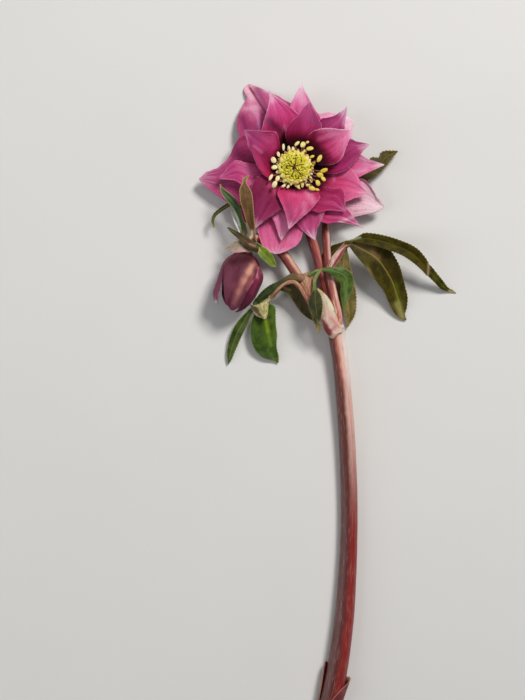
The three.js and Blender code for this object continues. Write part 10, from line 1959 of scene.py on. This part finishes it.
body = Body()
tube(body, 0, TUBES["scape"], sides=56, step=0.7, seed=1, ribs=11, rib_depth=0.010, cap=(2, "round"), shade=stem_colour_and_painted_light)
tube(body, 1, TUBES["left_branch"], sides=40, step=0.5, seed=2, ribs=7, rib_depth=0.014, cap=("round", "round"), shade=branch_colour_and_painted_light((166, 76, 62), (150, 68, 56), (246, 196, 160), (96, 38, 34), 0.2, 0.04))
tube(body, 1, TUBES["flower_stalk"], sides=40, step=0.5, seed=3, ribs=7, rib_depth=0.014, cap=("round", "round"), shade=branch_colour_and_painted_light((150, 42, 40), (138, 40, 42), (226, 140, 118), (84, 18, 22), 0.35, 0.06))
tube(body, 1, TUBES["rear_branch"], sides=40, step=0.5, seed=4, ribs=7, rib_depth=0.014, cap=("round", "round"), shade=branch_colour_and_painted_light((212, 116, 104), (138, 42, 38), (250, 206, 190), (92, 26, 28), 1.0, 0.08))
body.build("look_stem", [stem_material("skin_scape", STEM), stem_material("skin_branches", {**STEM, "dots": 0.3}), cut_material("cut_end")], ["stem"], "stem")

# ---- stamens and styles ----------------------------------------------------------------------


def lobes(body, slot, at, along, out, length, width, depth, seed, tone, n=12, m=10):
    """One anther: two swollen lobes with a seam between them, on the axis `along`, facing `out`."""
    along = np.asarray(along, float) / np.linalg.norm(along)
    out = np.asarray(out, float) - np.dot(out, along) * along
    out /= np.linalg.norm(out)
    across = np.cross(along, out)
    t = np.linspace(0, np.pi, m + 1)[1:-1]
    f = np.linspace(0, 2 * np.pi, n, endpoint=False)
    T, F = np.meshgrid(t, f, indexing="ij")
    r = np.sin(T) ** 0.8
    groove = np.exp(-(((np.abs(F - np.pi / 2)) / 0.42) ** 2))
    x = -np.cos(T) * length / 2
    y = r * np.cos(F) * width / 2 * (1 + 0.12 * np.sin(T))
    z = r * np.sin(F) * depth / 2 * (1 - 0.16 * groove)
    bend = 0.06 * length * (x / length * 2) ** 2
    p = at + x[..., None] * along + y[..., None] * across + (z - bend)[..., None] * out
    ends = np.array([at - along * length / 2 * 1.0, at + along * length / 2 * 1.0])
    pts = np.vstack([p.reshape(-1, 3), ends])
    ids = np.arange(len(t) * n).reshape(len(t), n)
    nxt = np.roll(ids, -1, axis=1)
    q = np.stack([ids[:-1], ids[1:], nxt[1:], nxt[:-1]], -1).reshape(-1, 4)
    a, b = len(t) * n, len(t) * n + 1
    tri = np.vstack([np.stack([np.full(n, a), ids[0], nxt[0]], -1), np.stack([ids[-1], np.full(n, b), nxt[-1]], -1)])
    seam = np.r_[(1 - groove).ravel(), 0.5, 0.5]
    body.add(pts, {4: q, 3: tri}, slot, along=np.r_[(T / np.pi).ravel(), 0, 1], edge=seam, side=1.0, tone=tone, coord=pts + 3.1 * seed, fan=pts)


DX, DY = DOME
r = np.random.default_rng(7)
body = Body()
# the mass under the anthers
profile = [(0.05, 13.2), (3.2, 13.2), (4.0, 14.1), (5.0, 15.3), (5.6, 16.4), (5.5, 17.3), (4.8, 18.3), (3.6, 19.1), (2.2, 19.6), (1.3, 19.7), (0.9, 19.0), (0.6, 17.9), (0.05, 17.6)]
pr, _ = curve(np.array(profile), np.linspace(0, 1, 40))
f = np.linspace(0, 2 * np.pi, 48, endpoint=False)
P = np.stack([DX + pr[:, :1] * np.cos(f), DY + pr[:, :1] * np.sin(f), np.repeat(pr[:, 1:2], 48, 1)], -1)
ids = np.arange(40 * 48).reshape(40, 48)
nxt = np.roll(ids, -1, axis=1)
body.add(
    P.reshape(-1, 3), {4: np.stack([ids[:-1], nxt[:-1], nxt[1:], ids[1:]], -1).reshape(-1, 4)}, 2,
    along=np.repeat(np.linspace(0, 1, 40), 48), side=1.0, coord=P.reshape(-1, 3), fan=P.reshape(-1, 3), tone=0.2,
)


def dome_z(rho):
    return 15.9 + 4.35 * np.sqrt(np.clip(1 - (rho / 7.3) ** 2, 0, 1))


def on_style(x, y):
    best = 9.0
    for sx, sy, _ in STYLES:
        d = np.array([sx - DX, sy - DY])
        t = np.clip(((x - DX) * d[0] + (y - DY) * d[1]) / (d @ d), 0, 1.02)
        best = min(best, math.hypot(x - DX - t * d[0], y - DY - t * d[1]))
    return best


count = 330
for i in range(count):
    rho = 0.6 + 5.7 * math.sqrt((i + 0.5) / count)
    a = i * 2.399963 + 0.12 * r.standard_normal()
    rho += 0.10 * r.standard_normal()
    x, y = DX + rho * math.cos(a), DY + rho * math.sin(a)
    if rho < 0.75:
        continue
    z = dome_z(rho) + 0.12 * r.standard_normal()
    slope = rho / 7.3
    up = np.array([math.cos(a) * slope * 1.1, math.sin(a) * slope * 1.1, 1.0])
    turn = a + r.normal(0, 0.55)
    lie = np.array([math.cos(turn), math.sin(turn), 0.25 - 0.9 * slope + r.normal(0, 0.2)])
    big = smooth(rho, 4.2, 6.4)
    size = (0.80 + 0.50 * big) * r.uniform(0.88, 1.12)
    tone = float(np.clip(0.48 + 0.25 * big - (0.34 if big >= 0.6 else 0.0) + r.normal(0, 0.22), 0, 1))
    lobes(body, 0 if big < 0.6 else 1, np.array([x, y, z]), lie, up, size * 1.25, size * 0.86, size * 0.8, i, tone, 10, 7)
# the open anthers round the dome, each on its own filament
for i, (x, y, z, length, width) in enumerate(ANTHERS):
    dx, dy = x - DX, y - DY
    rho = math.hypot(dx, dy)
    ux, uy = dx / rho, dy / rho
    turn = math.atan2(dy, dx) + ANTHER_TURN[i]
    lie = np.array([math.cos(turn), math.sin(turn), 0.15 * r.standard_normal()])
    up = np.array([0.35 * ux + 0.2 * r.standard_normal(), 0.35 * uy + 0.2 * r.standard_normal(), 1.0])
    lobes(body, 1, np.array([x, y, z]), lie, up, length * 1.12, max(width, 0.85) * 0.95, max(width, 0.85) * 0.72, 300 + i, float(np.clip(0.78 - 0.06 * dx + r.normal(0, 0.12), 0.05, 1)), 18, 13)
    base = [DX + ux * 3.6, DY + uy * 3.6, 14.6, 0.26]
    knee = [DX + ux * (0.45 * rho + 2.4) + 0.4 * r.standard_normal(), DY + uy * (0.45 * rho + 2.4) + 0.4 * r.standard_normal(), 0.55 * z + 0.45 * 15.6, 0.21]
    back = lie * (-0.5 * length * (1 if (lie[0] * ux + lie[1] * uy) > 0 else -1))
    tip = [x + 0.75 * back[0], y + 0.75 * back[1], z - 0.1, 0.15]
    if rho > 5.4:
        tube(body, 3, [base, knee, tip], sides=9, step=0.35, seed=20 + i, cap=("round", "round"))
# short filaments under the rim of the dome
for i in range(44):
    a = 2 * math.pi * (i + 0.3 * r.standard_normal()) / 44
    far = r.uniform(5.9, 7.4)
    path = [
        [DX + 3.4 * math.cos(a), DY + 3.4 * math.sin(a), 13.9, 0.2],
        [DX + 0.8 * far * math.cos(a), DY + 0.8 * far * math.sin(a), 14.7, 0.18],
        [DX + far * math.cos(a + 0.05), DY + far * math.sin(a + 0.05), 16.0 + 0.6 * r.uniform(), 0.14],
    ]
    tube(body, 3, path, sides=7, step=0.5, seed=80 + i, cap=("round", "round"))
    lie = np.array([math.cos(a), math.sin(a), 0.7])
    lobes(body, 1, np.array([path[2][0], path[2][1], path[2][2] + 0.25]), lie, np.array([math.cos(a) * 0.6, math.sin(a) * 0.6, 1.0]), 1.5, 0.95, 0.8, 400 + i, float(np.clip(0.45 + r.normal(0, 0.2), 0, 1)), 12, 9)
body.build(
    "look_stamens",
    [anther_material("anther_young", False), anther_material("anther_ripe", True), thread_material("stamen_bed", (96, 40, 16), (168, 150, 20), 0.5), thread_material("filament", (88, 8, 30), (196, 128, 110))],
    ["stamens"], "stamens",
)

body = Body()
tube(body, 0, [[DX, DY, 17.0, 0.95], [DX, DY, 18.6, 0.85], [DX, DY, 19.9, 0.62]], sides=22, step=0.3, seed=5, cap=("round", "round"))
for i, (sx, sy, sz) in enumerate(STYLES):
    dx, dy = sx - DX, sy - DY
    side = np.array([-dy, dx]) / math.hypot(dx, dy) * (0.22 if i % 2 else -0.2)
    path = []
    for f_, h, rad in ((0.0, 19.6, 0.24), (0.22, 20.45, 0.19), (0.5, 20.7, 0.155), (0.78, 20.5, 0.14), (1.0, 20.1, 0.16)):
        path.append([DX + f_ * dx + side[0] * math.sin(3.1 * f_), DY + f_ * dy + side[1] * math.sin(3.1 * f_), h, rad])
    tube(body, 0, path, sides=12, step=0.2, seed=30 + i, cap=("round", "round"))
body.build("look_styles", [thread_material("style", (78, 10, 24), (118, 22, 34), 0.35)], ["styles"], "styles")

# ---- studio -------------------------------------------------------------------------------------

bpy.ops.mesh.primitive_plane_add(size=6.0, location=(0, 0, -0.00002))
floor = bpy.context.active_object
floor.name = "floor"
floor.data.materials.append(floor_material())


def lamp(name, at, goal, size, watts, tint=(1, 1, 1)):
    d = bpy.data.lights.new(name, "AREA")
    d.shape, d.size, d.size_y, d.energy, d.color = "RECTANGLE", size[0], size[1], watts, tint
    o = bpy.data.objects.new(name, d)
    o.location = at
    o.rotation_euler = (Vector(goal) - Vector(at)).to_track_quat("-Z", "Y").to_euler()
    bpy.context.scene.collection.objects.link(o)


for row in LAMPS:
    lamp(*row)
world = bpy.data.worlds.new("studio")
bpy.context.scene.world = world
world.use_nodes = True
world.node_tree.nodes["Background"].inputs["Color"].default_value = (*WORLD[:3], 1)
world.node_tree.nodes["Background"].inputs["Strength"].default_value = WORLD[3]

lens = bpy.data.cameras.new("camera")
lens.lens, lens.sensor_width, lens.sensor_fit = 128.5714, 36.0, "AUTO"
lens.clip_start, lens.clip_end = 0.01, 20.0
camera = bpy.data.objects.new("camera", lens)
camera.location = (-0.02605, 0.01773, 1.0)
camera.rotation_euler = (0.0, 0.0, 0.0)
bpy.context.scene.collection.objects.link(camera)
bpy.context.scene.camera = camera
bpy.context.scene.view_settings.view_transform = "Standard"
bpy.context.scene.view_settings.look = "None"
